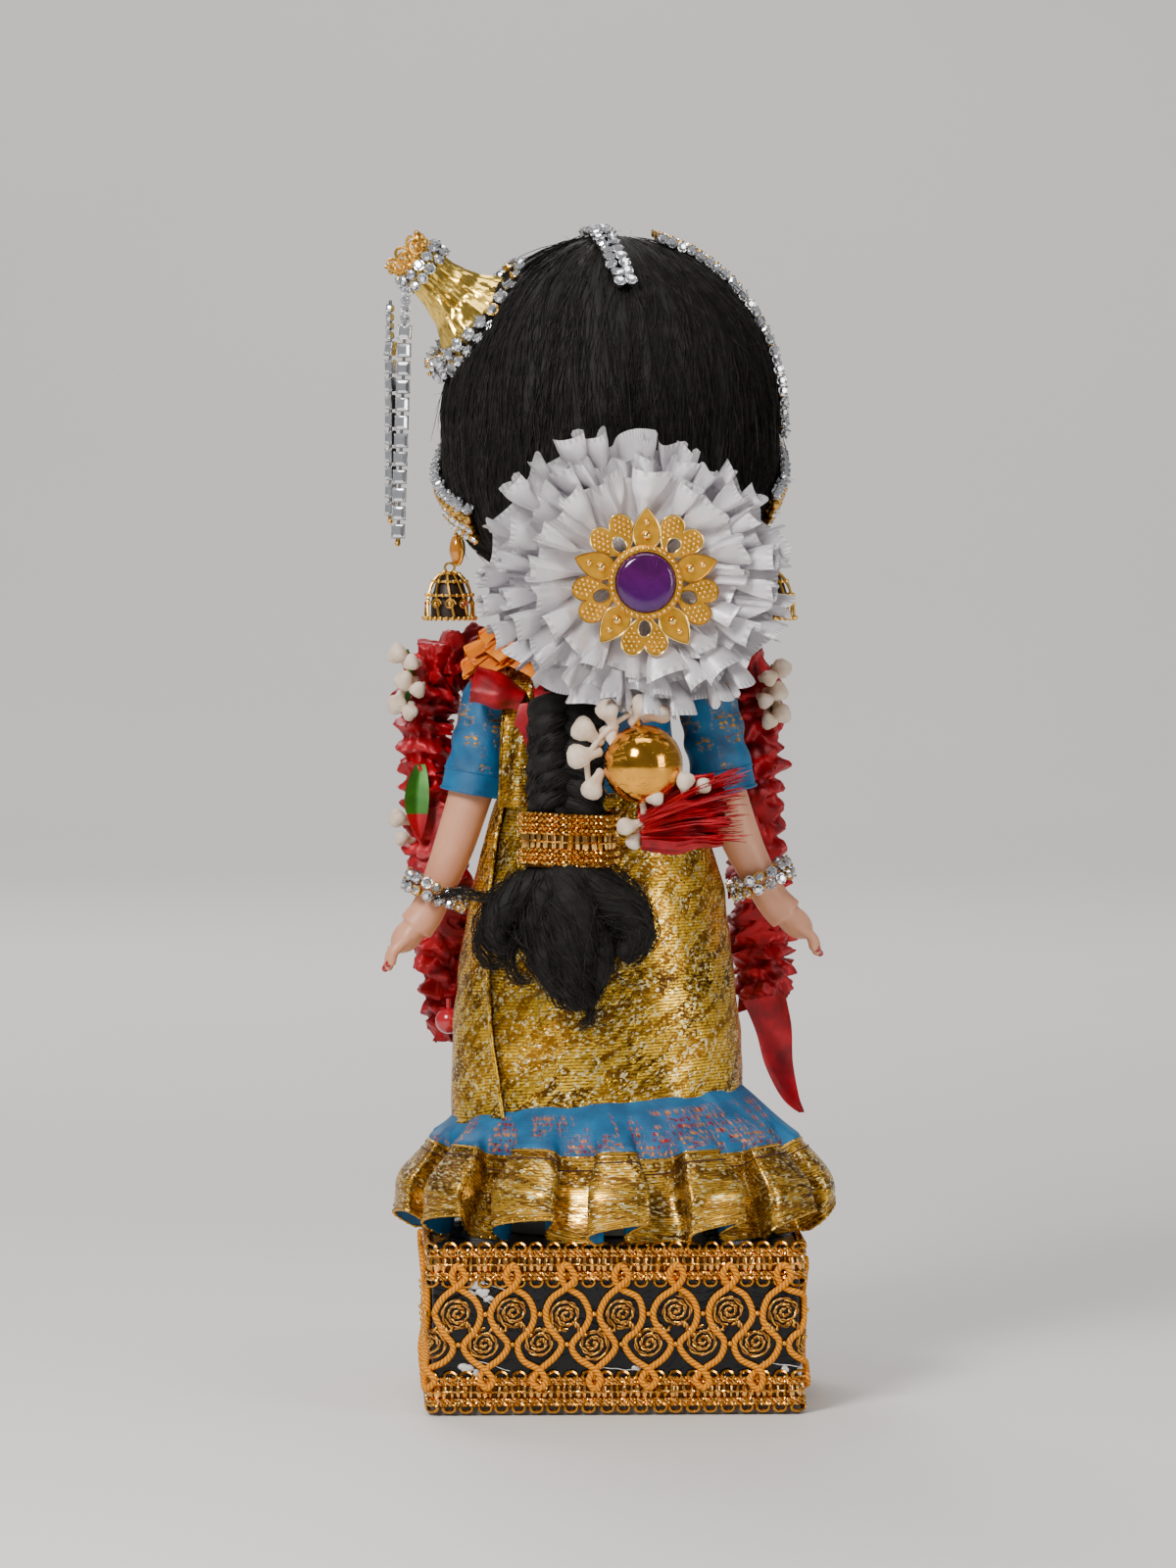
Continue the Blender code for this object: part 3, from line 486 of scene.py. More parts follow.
GOLD = metal("plated_gold", (0.86, 0.50, 0.10), 0.30)
GOLD_BRIGHT = metal("polished_gold", (0.95, 0.62, 0.18), 0.14)
CUP_GOLD = metal("gold_cup", (0.78, 0.45, 0.10), 0.26)
CUP_SILVER = metal("silver_cup", (0.62, 0.62, 0.64), 0.22)
STONE = stone_paint()


# ---------------------------------------------------------------- rosette of gathered ribbon

RIBBON_WIDTH = 12.0
SATIN = ribbon_paint("white_satin_ribbon", (0.95, 0.92, 0.95), (0.70, 0.66, 0.71),
    RIBBON_WIDTH, rough=0.30)


def rosette_tier(shape, centre, inner, outer, folds, seed, lift, depth, swell, squeeze=1.0):
    """One gathered ring of ribbon. inner and outer are radii, lift tips its rim outwards."""
    count = folds * 26

    def at(u, v):
        angle = TAU * u
        x, z = math.cos(angle), math.sin(angle)
        slow = noise.noise(Vector((x * 1.3, z * 1.3, seed * 3.7)))
        patchy = noise.noise(Vector((x * 3.1, z * 3.1, seed * 3.7 + 5)))
        own = noise.noise(Vector((x * 5.5, z * 5.5, seed * 3.7 + 9)))
        phase = folds * angle + 4.6 * patchy + 2.0 * slow + 1.1 * v * own
        wave, lag = math.sin(phase), math.cos(phase)
        sharp = math.copysign(abs(wave) ** 0.72, wave)
        second = math.sin(2.2 * phase + 5 * own)
        fine = noise.noise(Vector((x * 17, z * 17, v * 2.4 + seed)))
        open_out = smooth_step(0.0, 0.85, v)
        around = angle + (0.155 * lag + 0.05 * second) * 24 / outer * open_out + (0.16 * own
            + 0.12 * slow) * v
        rim = 1 + 0.095 * slow + 0.085 * own + 0.030 * sharp + 0.040 * math.cos(2 * phase)
        radius = lerp(inner, outer * rim, v) - 1.3 * max(0.0, own
            + 0.25) * smooth_step(0.72, 1.0, v)
        push = swell * (1 + 0.5 * own) * sharp * lerp(0.42, 1.0,
            open_out) + 0.40 * swell * second * v
        y = depth + lift * v ** 1.4 + push + 1.0 * fine * v + 1.3 * slow * v
        limit = lerp(9.0, 13.5, smooth_step(14.0, 20.0, radius))
        if y > limit - 2:
            y = limit - 2 + 2 * math.tanh((y - limit + 2) / 2)
        floor = 0.4 + 0.5 * v
        if y < floor + 1:
            y = floor + 1 + math.tanh(y - floor - 1)
        return centre + mm(radius * math.cos(around), y, radius * math.sin(around) * squeeze)

    length = 2.6 * TAU * (inner + outer) / 2
    shape.sheet(at, count, 20, size=(length, RIBBON_WIDTH))


def make_rosette():
    box_low, box_high = low("rosette"), high("rosette")
    centre = (box_low + box_high) / 2
    centre.y = box_low.y
    shape = Shape()
    rosette_tier(shape, centre, 16.5, 31.2, 25, 1, 3.6, 1.8, 2.3, 0.92)
    rosette_tier(shape, centre, 11.5, 27.2, 21, 8, 3.8, 4.2, 2.2, 0.94)
    rosette_tier(shape, centre, 6.0, 21.2, 16, 14, 3.4, 6.0, 1.7, 0.97)
    piece = shape.piece("rosette_ribbon", [SATIN], "head", "white_satin", ["rosette"],
        outward=False, angle=70)


# ---------------------------------------------------------------- filigree flower and its stone

def leaf_outline(base, tip, width, count=14):
    """A pointed petal from base to tip along +X."""
    side = []
    for i in range(count + 1):
        t = i / count
        half = width / 2 * (math.sin(math.pi * t ** 0.72)) ** 0.8 if 0 < t < 1 else 0
        side.append((lerp(base, tip, t), half + (0.9 if i == 0 else 0)))
    return side + [(x, -y) for x, y in reversed(side[1:-1] if side[-1][1] == 0 else side)]


def heart_outline(base, tip, width, count=40):
    """A heart with its point at base and two lobes at tip, along +X."""
    points = []
    for i in range(count):
        t = TAU * i / count
        x = 13 * math.cos(t) - 5 * math.cos(2 * t) - 2 * math.cos(3 * t) - math.cos(4 * t)
        y = 16 * math.sin(t) ** 3
        share = (x + 17) / 29
        points.append((lerp(base, tip, share), y / 32 * width))
    return points


def inside(outline, x, y, margin=0.0):
    """True if a point lies in an outline and at least margin from its corners."""
    hit = False
    for (x1, y1), (x2, y2) in zip(outline, outline[1:] + outline[:1]):
        if (y1 > y) != (y2 > y) and x < (x2 - x1) * (y - y1) / (y2 - y1) + x1:
            hit = not hit
        if math.hypot(x - x1, y - y1) < margin:
            return False
    return hit


class Setting:
    """Turns flat petal coordinates (along +X, in mm) into places on the flower's face."""

    def __init__(self, centre, angle):
        self.centre, self.angle = centre, angle

    def __call__(self, x, y, depth):
        c, s = math.cos(self.angle), math.sin(self.angle)
        return self.centre + mm(c * x - s * y, depth, s * x + c * y)


def slab(shape, place, outline, thick, hole=None, slot=0):
    """A plate with a rounded edge, from an outline and an optional hole with as many points."""
    count = len(outline)
    cx = sum(x for x, _ in outline) / count
    cy = sum(y for _, y in outline) / count
    shrink = lambda k: [(lerp(x, cx, k), lerp(y, cy, k)) for x, y in outline]
    rings = [(outline, 0), (outline, thick * 0.6), (shrink(0.035), thick)]
    if hole:
        rings += [([(lerp(x, cx, -0.08), lerp(y, cy, -0.08)) for x, y in hole], thick),
            (hole, thick * 0.7), (hole, 0)]
        rings.append(rings[0])
    points = [place(x, y, d) for ring, d in rings for x, y in ring]
    faces = []
    for r in range(len(rings) - 1):
        for i in range(count):
            j = (i + 1) % count
            faces.append((r * count + i, r * count + j, (r + 1) * count + j, (r + 1) * count + i))
    if not hole:
        top = (len(rings) - 1) * count
        points.append(place(cx, cy, thick))
        points.append(place(cx, cy, 0))
        for i in range(count):
            j = (i + 1) % count
            faces.append((top + i, top + j, len(points) - 2))
            faces.append((j, i, len(points) - 1))
    shape.add(points, faces, None, slot)


def make_flower():
    centre = middle("filigree_flower")
    centre.y = low("filigree_flower").y
    metalwork = Shape()
    granules = Shape()
    for k in range(5):
        place = Setting(centre, TAU * (k / 5 + 0.25) + 0.02)
        outline = leaf_outline(6.4, 15.0, 5.8)
        slab(metalwork, place, outline, 0.95)
        metalwork.tube([place(x * 0.992 + 0.06, y * 0.95, 1.0) for x, y in outline], 0.2 * MM, 6,
            closed=True, slot=1)
        granules.ball(place(9.4, 0, 1.05), 1.0 * MM, 6, 14)
        granules.ball(place(12.0, 0, 1.05), 0.68 * MM, 6, 12)
    for k in range(5):
        place = Setting(centre, TAU * (k / 5 + 0.35) + 0.02)
        outline = heart_outline(5.2, 14.6, 9.4)
        window = [(9.4
            + 1.5 * math.cos(TAU * i / 40) * (1.0 if math.cos(TAU * i / 40) > 0 else 1.3),
                   1.35 * math.sin(TAU * i / 40)) for i in range(40)]
        slab(metalwork, place, outline, 0.9, window)
        metalwork.tube([place(x, y, 0.9) for x, y in outline], 0.17 * MM, 6, closed=True, slot=1)
        metalwork.tube([place(x, y, 0.9) for x, y in window], 0.16 * MM, 6, closed=True, slot=1)
        pitch = 1.02
        for row in range(-5, 6):
            for column in range(0, 11):
                x = 6.6 + pitch * 0.87 * column
                y = pitch * (row + (0.5 if column % 2 else 0))
                if math.hypot(x - 9.4, y) > 2.1 and inside(outline, x, y, 0.55) and inside(outline,
                        x + 0.3, y, 0.4):
                    granules.ball(place(x, y, 0.95), 0.36 * MM, 5, 8)
    ring = [(6.15, 0.2), (7.5, 0.2), (7.5, 1.5), (6.9, 2.1), (6.2, 2.1)]
    metalwork.turned([(r * MM, h * MM) for r, h in ring], centre, BACK, 48)
    beads = 38
    for i in range(beads):
        angle = TAU * i / beads
        granules.ball(centre + mm(6.85 * math.cos(angle), 2.2, 6.85 * math.sin(angle)),
            0.42 * MM, 5, 9)
    matte = metal("stamped_gold", (0.80, 0.40, 0.035), 0.42)
    metalwork.piece("flower_stamping", [matte, GOLD_BRIGHT], "head", "gold_metal",
        ["filigree_flower"], angle=35)
    granules.piece("flower_granules", [GOLD_BRIGHT], "head", "gold_metal")


def make_cabochon():
    """A low domed stone with cloudy depth, painted lighter violet towards its lower edge as light
    shining through it, and a worn spot.
    """
    centre = middle("cabochon")
    centre.y = low("cabochon").y + 0.2 * MM
    dome = [(0.0, 1.40), (1.6, 1.395), (3.4, 1.36), (4.8, 1.28), (5.5, 1.05), (5.95, 0.5),
        (6.1, -0.8)]
    shape = Shape()
    shape.turned([(r * MM, h * MM) for r, h in dome], centre, BACK, 56, closed=False)
    paint = Paint(
        "purple_stone", (0.06, 0.0, 0.075), 0.16, 0.0,
        Coat_Weight=0.35, Coat_Roughness=0.12, Subsurface_Weight=0.15,
    )
    paint.set("Subsurface Radius", (0.002, 0.0006, 0.002))
    place = paint.place()
    _, _, height = paint.split(place)
    cloud = paint.noise(place, 210, 5, 0.6, 0.6)
    body = paint.ramp(cloud, [(0.28, (0.030, 0.0, 0.035)), (0.5, (0.060, 0.0, 0.070)),
        (0.75, (0.095, 0.001, 0.11))])
    # Painted light: the stone is painted lighter violet towards its lower edge, as light coming
    # through it.
    painted_inner_light = paint.node("MapRange", Value=height)
    painted_inner_light.inputs["From Min"].default_value = centre.z + 2 * MM
    painted_inner_light.inputs["From Max"].default_value = centre.z - 7 * MM
    paint.colour(paint.mix(paint.math("MULTIPLY", painted_inner_light.outputs["Result"], 0.6, True), body,
        (0.055, 0.0, 0.15)))
    flaw = paint.ramp(paint.noise(place, 700, 4), [(0.66, 0.0), (0.72, 1.0)])
    paint.rough(flaw, 0.10, 0.42)
    paint.bump(flaw, 0.00004, 0.5)
    shape.piece("purple_cabochon", [paint], "head", "purple_stone", ["cabochon"], angle=60)


make_rosette()
make_flower()
make_cabochon()


# ---------------------------------------------------------------- wool hair

HAIR_Z, HAIR_RADIUS, HAIR_RISE, HAIR_DROP = 202.0, 35.1, 38.6, 34.0


def wool_paint(name="black_wool", colour=(0.0055, 0.0045, 0.004)):
    paint = Paint(name, colour, 0.68, 0.0, Specular_IOR_Level=0.28, Sheen_Weight=0.03,
        Sheen_Roughness=0.5)
    paint.set("Sheen Tint", (0.5, 0.42, 0.38, 1))
    cloud = paint.noise(paint.place(), 420, 4)
    paint.colour(paint.ramp(cloud,
        [(0.35, tuple(c * 0.5 for c in colour)), (0.7, tuple(c * 1.9 for c in colour))]))
    paint.bump(paint.noise(paint.place(), 1800, 3), 0.0002, 0.6)
    return paint


WOOL = wool_paint()
WOOL_LIGHT = wool_paint("wool_fibre", (0.013, 0.0105, 0.009))


def hair_share(z):
    """The hair's half width at a height in mm, as a share of its widest."""
    if z >= HAIR_Z:
        return math.sqrt(max(0.0, 1 - ((z - HAIR_Z) / HAIR_RISE) ** 2))
    return max(0.0, 1 - ((HAIR_Z - z) / HAIR_DROP) ** 3) ** (1 / 3)


def hair_point(azimuth, height, lift=0.0):
    """A place on the hair: azimuth from +X in radians, height angle -90..90 degrees in radians."""
    rise = HAIR_RISE if height > 0 else HAIR_DROP
    z = HAIR_Z + rise * math.sin(height)
    reach = HAIR_RADIUS * hair_share(z)
    groove = wander(azimuth * 9.0 + 0.35 * height, 31, height * 0.8)
    groove += 0.5 * wander(azimuth * 26.0, 33, height * 1.6)
    point = mm(reach * math.cos(azimuth), reach * math.sin(azimuth), z)
    out = Vector((math.cos(azimuth) * math.cos(height), math.sin(azimuth) * math.cos(height),
        math.sin(height)))
    return point + out * (lift - 0.75 + 0.55 * groove) * MM, out


def in_face(point, margin=0.0):
    """True where the hair is cut away for the face."""
    x, y, z = (c / MM for c in point)
    dx, dz = max(abs(x - 0.2) - 15, 0), max(z - 212, 0)
    return y < -9 + margin and math.hypot(dx, dz) < 9 + margin


def fibre(shape, path, radius, slot=0):
    """A hair-thin three-sided thread, tapered at its ends."""
    count = len(path)
    points, faces = [], []
    for i, point in enumerate(path):
        along = (path[min(i + 1, count - 1)] - path[max(i - 1, 0)]).normalized()
        a = along.orthogonal().normalized()
        b = along.cross(a)
        r = radius * (0.35 if i in (0, count - 1) else 1)
        points += [point + a * r, point + (b * 0.87 - a * 0.5) * r, point
            - (b * 0.87 + a * 0.5) * r]
    for i in range(count - 1):
        for k in range(3):
            n = (k + 1) % 3
            faces.append((3 * i + k, 3 * i + n, 3 * i + 3 + n, 3 * i + 3 + k))
    shape.add(points, faces, None, slot)


def make_hair():
    around, rows = 150, 84
    base = Shape()
    lowest, highest = math.radians(-80), math.radians(89.5)

    def at(u, v):
        return hair_point(TAU * u, lerp(lowest, highest, v))[0]

    points, faces = [], []
    for j in range(rows + 1):
        for i in range(around):
            points.append(at(i / around, j / rows))
    keep = [not in_face(p, -0.6) for p in points]
    for j in range(rows):
        for i in range(around):
            n = (i + 1) % around
            face = (j * around + i, j * around + n, (j + 1) * around + n, (j + 1) * around + i)
            if all(keep[k] for k in face):
                faces.append(face)
    top = len(points)
    points.append(hair_point(0, math.radians(90))[0])
    faces += [(rows * around + i, rows * around + (i + 1) % around, top) for i in range(around)]
    base.add(points, faces)
    core = base.piece("wool_hair", [WOOL], "head", "black_wool", ["hair_cap"],
        outward=False, angle=80)
    bm = bmesh.new()
    bm.from_mesh(core.data)
    bmesh.ops.delete(bm, geom=[v for v in bm.verts if not v.link_faces], context="VERTS")
    bmesh.ops.solidify(bm, geom=bm.faces[:], thickness=2.4 * MM)
    bmesh.ops.recalc_face_normals(bm, faces=bm.faces)
    bm.to_mesh(core.data)
    bm.free()

    rng = random.Random(5)
    threads = Shape()
    made = 0
    while made < 6400:
        azimuth = rng.uniform(0, TAU)
        height = math.asin(rng.uniform(-0.93, 0.995))
        span = rng.uniform(0.18, 0.62)
        lean = rng.gauss(0, 0.12) + 0.25 * wander(azimuth * 3, 41, height * 2)
        lift, tip = rng.uniform(0.0, 0.55), rng.uniform(0.1, 0.8)
        if rng.random() < 0.05:
            tip = rng.uniform(1.2, 3.4)
        path = []
        for k in range(8):
            t = k / 7
            a = azimuth + lean * span * t / max(0.35, math.cos(height)) + 0.02 * wander(t * 3, made)
            h = height - span * t
            if h < math.radians(-78):
                break
            place, _ = hair_point(a, h, lift + (tip - lift) * t * t
                + 0.25 * wander(t * 4, made + 0.5))
            path.append(place)
        made += 1
        if len(path) > 3 and not any(in_face(p, 0.2) for p in path):
            fibre(threads, path, rng.uniform(0.05, 0.12) * MM, 0 if rng.random() < 0.6 else 1)
    for i in range(260):
        # Loose ends that stand off the silhouette.
        azimuth, height = rng.uniform(0, TAU), math.asin(rng.uniform(-0.6, 1.0))
        place, out = hair_point(azimuth, height, 0.3)
        if in_face(place, 2):
            continue
        drift = Vector((rng.gauss(0, 1), rng.gauss(0, 1), rng.gauss(0, 1))).normalized()
        reach = rng.uniform(1.5, 4.2) * MM
        path = [place + out * reach * 0.8 * t * (1 - 0.35 * t) + drift * reach * 0.8 * t * t
            for t in (0, 0.3, 0.6, 0.85, 1.0)]
        fibre(threads, path, 0.035 * MM, 1)
    threads.piece("wool_fibres", [WOOL, WOOL_LIGHT], "head", "black_wool", angle=80)

    roll = Shape()
    edge = [(-22.6, 173), (-23.8, 186), (-23.8, 203), (-22.5, 213), (-16, 220.2), (-6, 221.4),
        (0.2, 221.0),
            (6.4, 221.4), (16.4, 220.2), (22.9, 213), (24.2, 203), (24.2, 186), (23.0, 173)]

    def front(x, z):
        reach = HAIR_RADIUS * hair_share(z) - 1.4
        return mm(x, -math.sqrt(max(9.5 ** 2, reach * reach - x * x)), z)

    for strand in range(150):
        seed = strand * 1.7
        offset = Vector((rng.gauss(0, 0.75), rng.gauss(0, 0.75), rng.gauss(0, 0.75))) * MM
        start = rng.uniform(0, 0.75)
        line = curve_through([front(x, z) for x, z in edge], 6)
        first, count = int(start * len(line)), rng.randint(16, 40)
        part = line[first:first + count]
        path = [p + offset + mm(0.35 * wander(i * 0.2, seed), 0.35 * wander(i * 0.2, seed + 1),
            0.35 * wander(i * 0.2, seed + 2)) for i, p in enumerate(part)]
        if len(path) > 3:
            fibre(roll, path, 0.16 * MM, strand % 2)
    line = curve_through([front(x, z) for x, z in edge], 6)
    girth = [1.35 * MM * (0.15
        + 0.85 * smooth_step(0, 0.14, min(i, len(line) - 1 - i) / len(line)))
        for i in range(len(line))]
    roll.tube(line, girth, 12)
    roll.piece("hairline_roll", [WOOL, WOOL_LIGHT], "head", "black_wool", angle=80)

    tie = Shape()
    line = curve_through([mm(8, 29, 168), mm(9.4, 29, 158), mm(10.2, 28.8, 147.2)], 8)
    tie.tube(line, [(4.0 - 0.2 * abs(i - 8) / 8) * MM for i in range(len(line))], 20)
    for strand in range(220):
        turn0 = TAU * strand / 220
        twist = rng.uniform(-0.4, 0.4)
        path = []
        for i, p in enumerate(line):
            angle = turn0 + twist * i / len(line)
            r = (4.2 + 0.4 * wander(i * 0.2, strand)) * MM
            path.append(p + Vector((math.cos(angle) * r, math.sin(angle) * r, 0)))
        fibre(tie, path, 0.11 * MM, strand % 2)
    tie.piece("hair_tie_wool", [WOOL, WOOL_LIGHT], "head", "black_wool", ["hair_tie"], angle=80)


# ---------------------------------------------------------------- head and face

HEAD = Vector((0.2, -1.5, 195.0))
HEAD_HALF = Vector((29.2, 29.5, 33.6))


def skin_paint():
    paint = Paint(
        "doll_skin", (0.80, 0.43, 0.29), 0.42, 0.0, Subsurface_Weight=0.28, Coat_Weight=0.10,
            Coat_Roughness=0.35,
    )
    paint.set("Subsurface Radius", (0.004, 0.0016, 0.0010))
    place = paint.place()
    cloud = paint.noise(place, 90, 3)
    paint.colour(paint.ramp(cloud, [(0.3, (0.66, 0.29, 0.17)), (0.7, (0.80, 0.40, 0.25))]))
    paint.rough(paint.noise(place, 500, 3), 0.36, 0.52)
    paint.bump(paint.noise(place, 900, 2), 0.00003, 0.5)
    return paint


SKIN = skin_paint()
LIP = Paint("painted_lip", (0.50, 0.035, 0.045), 0.32, 0.0, Coat_Weight=0.4)
EYE_WHITE = Paint("eye_white", (0.85, 0.84, 0.82), 0.2, 0.0, Coat_Weight=0.8)
EYE_BROWN = Paint("eye_brown", (0.07, 0.022, 0.008), 0.15, 0.0, Coat_Weight=1.0)
EYE_BLACK = Paint("painted_black", (0.008, 0.006, 0.006), 0.35)
RED_MARK = Paint("red_mark", (0.55, 0.01, 0.012), 0.4)


def face_relief(x, z):
    """How far the face stands out (mm) at x to the side and z above the head's middle."""
    def hump(cx, cz, wx, wz, tall):
        return tall * math.exp(-((x - cx) / wx) ** 2 - ((z - cz) / wz) ** 2)

    out = hump(0, -10.5, 2.5, 3.2, 3.4) + hump(0, -4.0, 2.0, 6.5, 2.0)
    out += hump(-2.1, -11.6, 1.4, 1.3, 0.9) + hump(2.1, -11.6, 1.4, 1.3, 0.9)
    out += hump(0, -18.4, 5.2, 2.4, 1.1) + hump(0, -25.5, 6.5, 4.5, 1.5)
    out += hump(-12.5, -12.5, 7.5, 6.5, 1.5) + hump(12.5, -12.5, 7.5, 6.5, 1.5)
    out -= hump(-10.2, -2.2, 5.0, 3.6, 1.5) + hump(10.2, -2.2, 5.0, 3.6, 1.5)
    out += hump(-10.2, 4.6, 6.0, 2.0, 0.5) + hump(10.2, 4.6, 6.0, 2.0, 0.5)
    out -= hump(0, -15.2, 1.0, 1.6, 0.35) + hump(0, -21.4, 3.4, 1.0, 0.5)
    return out


def face_point(x, z, lift=0.0):
    """A place on the front of the face, x and z in mm from the head's middle."""
    narrow = 1 - 0.10 * max(0.0, -z / HEAD_HALF.z)
    share = max(0.0, 1 - (x / (HEAD_HALF.x * narrow)) ** 2 - (z / HEAD_HALF.z) ** 2)
    y = -HEAD_HALF.y * narrow * math.sqrt(share)
    return mm(HEAD.x + x, HEAD.y + y - face_relief(x, z) * share - lift, HEAD.z + z)


def make_head():
    head = Shape()
    around, rows = 144, 110
    points, faces = [], []
    for j in range(1, rows):
        polar = math.pi * j / rows
        for i in range(around):
            angle = TAU * i / around
            unit = (math.sin(polar) * math.cos(angle), math.sin(polar) * math.sin(angle),
                math.cos(polar))
            narrow = 1 - 0.10 * max(0.0, -unit[2])
            x, y, z = unit[0] * HEAD_HALF.x * narrow, unit[1] * HEAD_HALF.y * narrow, unit[
                2] * HEAD_HALF.z
            if y < 0:
                share = (unit[1]) ** 2
                y -= face_relief(x, z) * share
            points.append(mm(HEAD.x + x, HEAD.y + y, HEAD.z + z))
    for j in range(rows - 2):
        for i in range(around):
            n = (i + 1) % around
            faces.append((j * around + i, (j + 1) * around + i, (j + 1) * around + n,
                j * around + n))
    for ring, pole in ((0, 1), (rows - 2, -1)):
        points.append(mm(HEAD.x, HEAD.y, HEAD.z + pole * HEAD_HALF.z))
        faces += [
            (ring * around + i, ring * around + (i + 1) % around, len(points) - 1)
                for i in range(around)
        ]
    head.add(points, faces)
    head.piece("doll_head_skin", [SKIN], "head", "skin_plastic", ["doll_head"], angle=60)

    face = Shape()

    def patch(outline, middle, lift, slot, puff=0.35, rings=6):
        count = len(outline)
        points, faces = [], []
        for r in range(rings):
            share = 1 - r / rings
            for x, z in outline:
                px, pz = lerp(middle[0], x, share), lerp(middle[1], z, share)
                points.append(face_point(px, pz, lift + puff * (1 - share ** 2)
                    - (0.5 if r == 0 else 0)))
        points.append(face_point(*middle, lift + puff))
        for r in range(rings - 1):
            for i in range(count):
                n = (i + 1) % count
                faces.append((r * count + i, r * count + n, (r + 1) * count + n,
                    (r + 1) * count + i))
        last = (rings - 1) * count
        faces += [(last + i, last + (i + 1) % count, len(points) - 1) for i in range(count)]
        face.add(points, faces, None, slot)

    def line(marks, radius, slot):
        points = curve_through([Vector((x, 0, z)) for x, z in marks], 6)
        path = [face_point(p.x, p.z, 0.12) for p in points]
        last = len(path) - 1
        face.tube(path, [radius * MM * (0.35 + 0.65 * math.sin(math.pi * (0.12 + 0.8 * i / last)))
            for i in range(last + 1)], 8, slot=slot)

    for sign in (-1, 1):
        eye = []
        for i in range(36):
            angle = TAU * i / 36
            x = 5.0 * math.cos(angle)
            lid = 2.3 if math.sin(angle) > 0 else 1.7
            eye.append((sign * (10.2 + x), -2.2
                + lid * math.sin(angle) * (1 - 0.25 * (x / 5.0) ** 2) + 0.08 * x))
        patch(eye, (sign * 10.2, -2.2), 0.1, 1, 1.0)
        iris = [(sign * 10.0 + 2.0 * math.cos(TAU * i / 28), -2.1 + 1.95 * math.sin(TAU * i / 28))
            for i in range(28)]
        patch(iris, (sign * 10.0, -2.1), 1.0, 2, 0.18, 3)
        pupil = [(sign * 10.0 + 0.95 * math.cos(TAU * i / 20), -2.1
            + 0.95 * math.sin(TAU * i / 20)) for i in range(20)]
        patch(pupil, (sign * 10.0, -2.1), 1.16, 3, 0.14, 3)
        glint = [(sign * 10.0 + 0.6 + 0.3 * math.cos(TAU * i / 12), -1.4
            + 0.3 * math.sin(TAU * i / 12)) for i in range(12)]
        patch(glint, (sign * 10.0 + 0.6, -1.4), 1.3, 1, 0.1, 2)
        line([(sign * 4.9, -2.7), (sign * 7.4, -0.7), (sign * 10.2, 0.1), (sign * 13.2, -0.6),
            (sign * 15.9, -1.9),
              (sign * 17.4, -1.3)], 0.55, 3)
        line([(sign * 5.6, -3.1), (sign * 8, -4.0), (sign * 10.4, -4.2), (sign * 13, -3.6),
            (sign * 15, -2.6)], 0.16, 3)
        line([(sign * 3.9, 4.4), (sign * 7.5, 6.6), (sign * 11.5, 6.9),
            (sign * 16.2, 4.4)], 0.55, 3)
    upper = [(-4.6, -18.4), (-2.8, -17.3), (-1.1, -16.5), (0, -16.9), (1.1, -16.5), (2.8, -17.3),
        (4.6, -18.4),
             (2.6, -18.5), (0, -18.7), (-2.6, -18.5)]
    lower = [(-4.3, -18.7), (-2.4, -18.9), (0, -19.1), (2.4, -18.9), (4.3, -18.7), (2.6, -20.3),
        (0, -21.1), (-2.6, -20.3)]
    for outline, centre in ((upper, (0, -17.8)), (lower, (0, -19.8))):
        smooth = curve_through([Vector((x, 0, z)) for x, z in outline + outline[:1]], 5)[:-1]
        patch([(p.x, p.z) for p in smooth], centre, 0.12, 4, 0.55)
    dot = [(1.5 * math.cos(TAU * i / 24), 9.6 + 1.5 * math.sin(TAU * i / 24)) for i in range(24)]
    patch(dot, (0, 9.6), 0.1, 5, 0.25, 3)
    face.piece(
        "doll_face_paint", [SKIN, EYE_WHITE, EYE_BROWN, EYE_BLACK, LIP, RED_MARK], "head",
            "skin_plastic", angle=50,
    )


make_hair()
make_head()


# ---------------------------------------------------------------- stones in cups

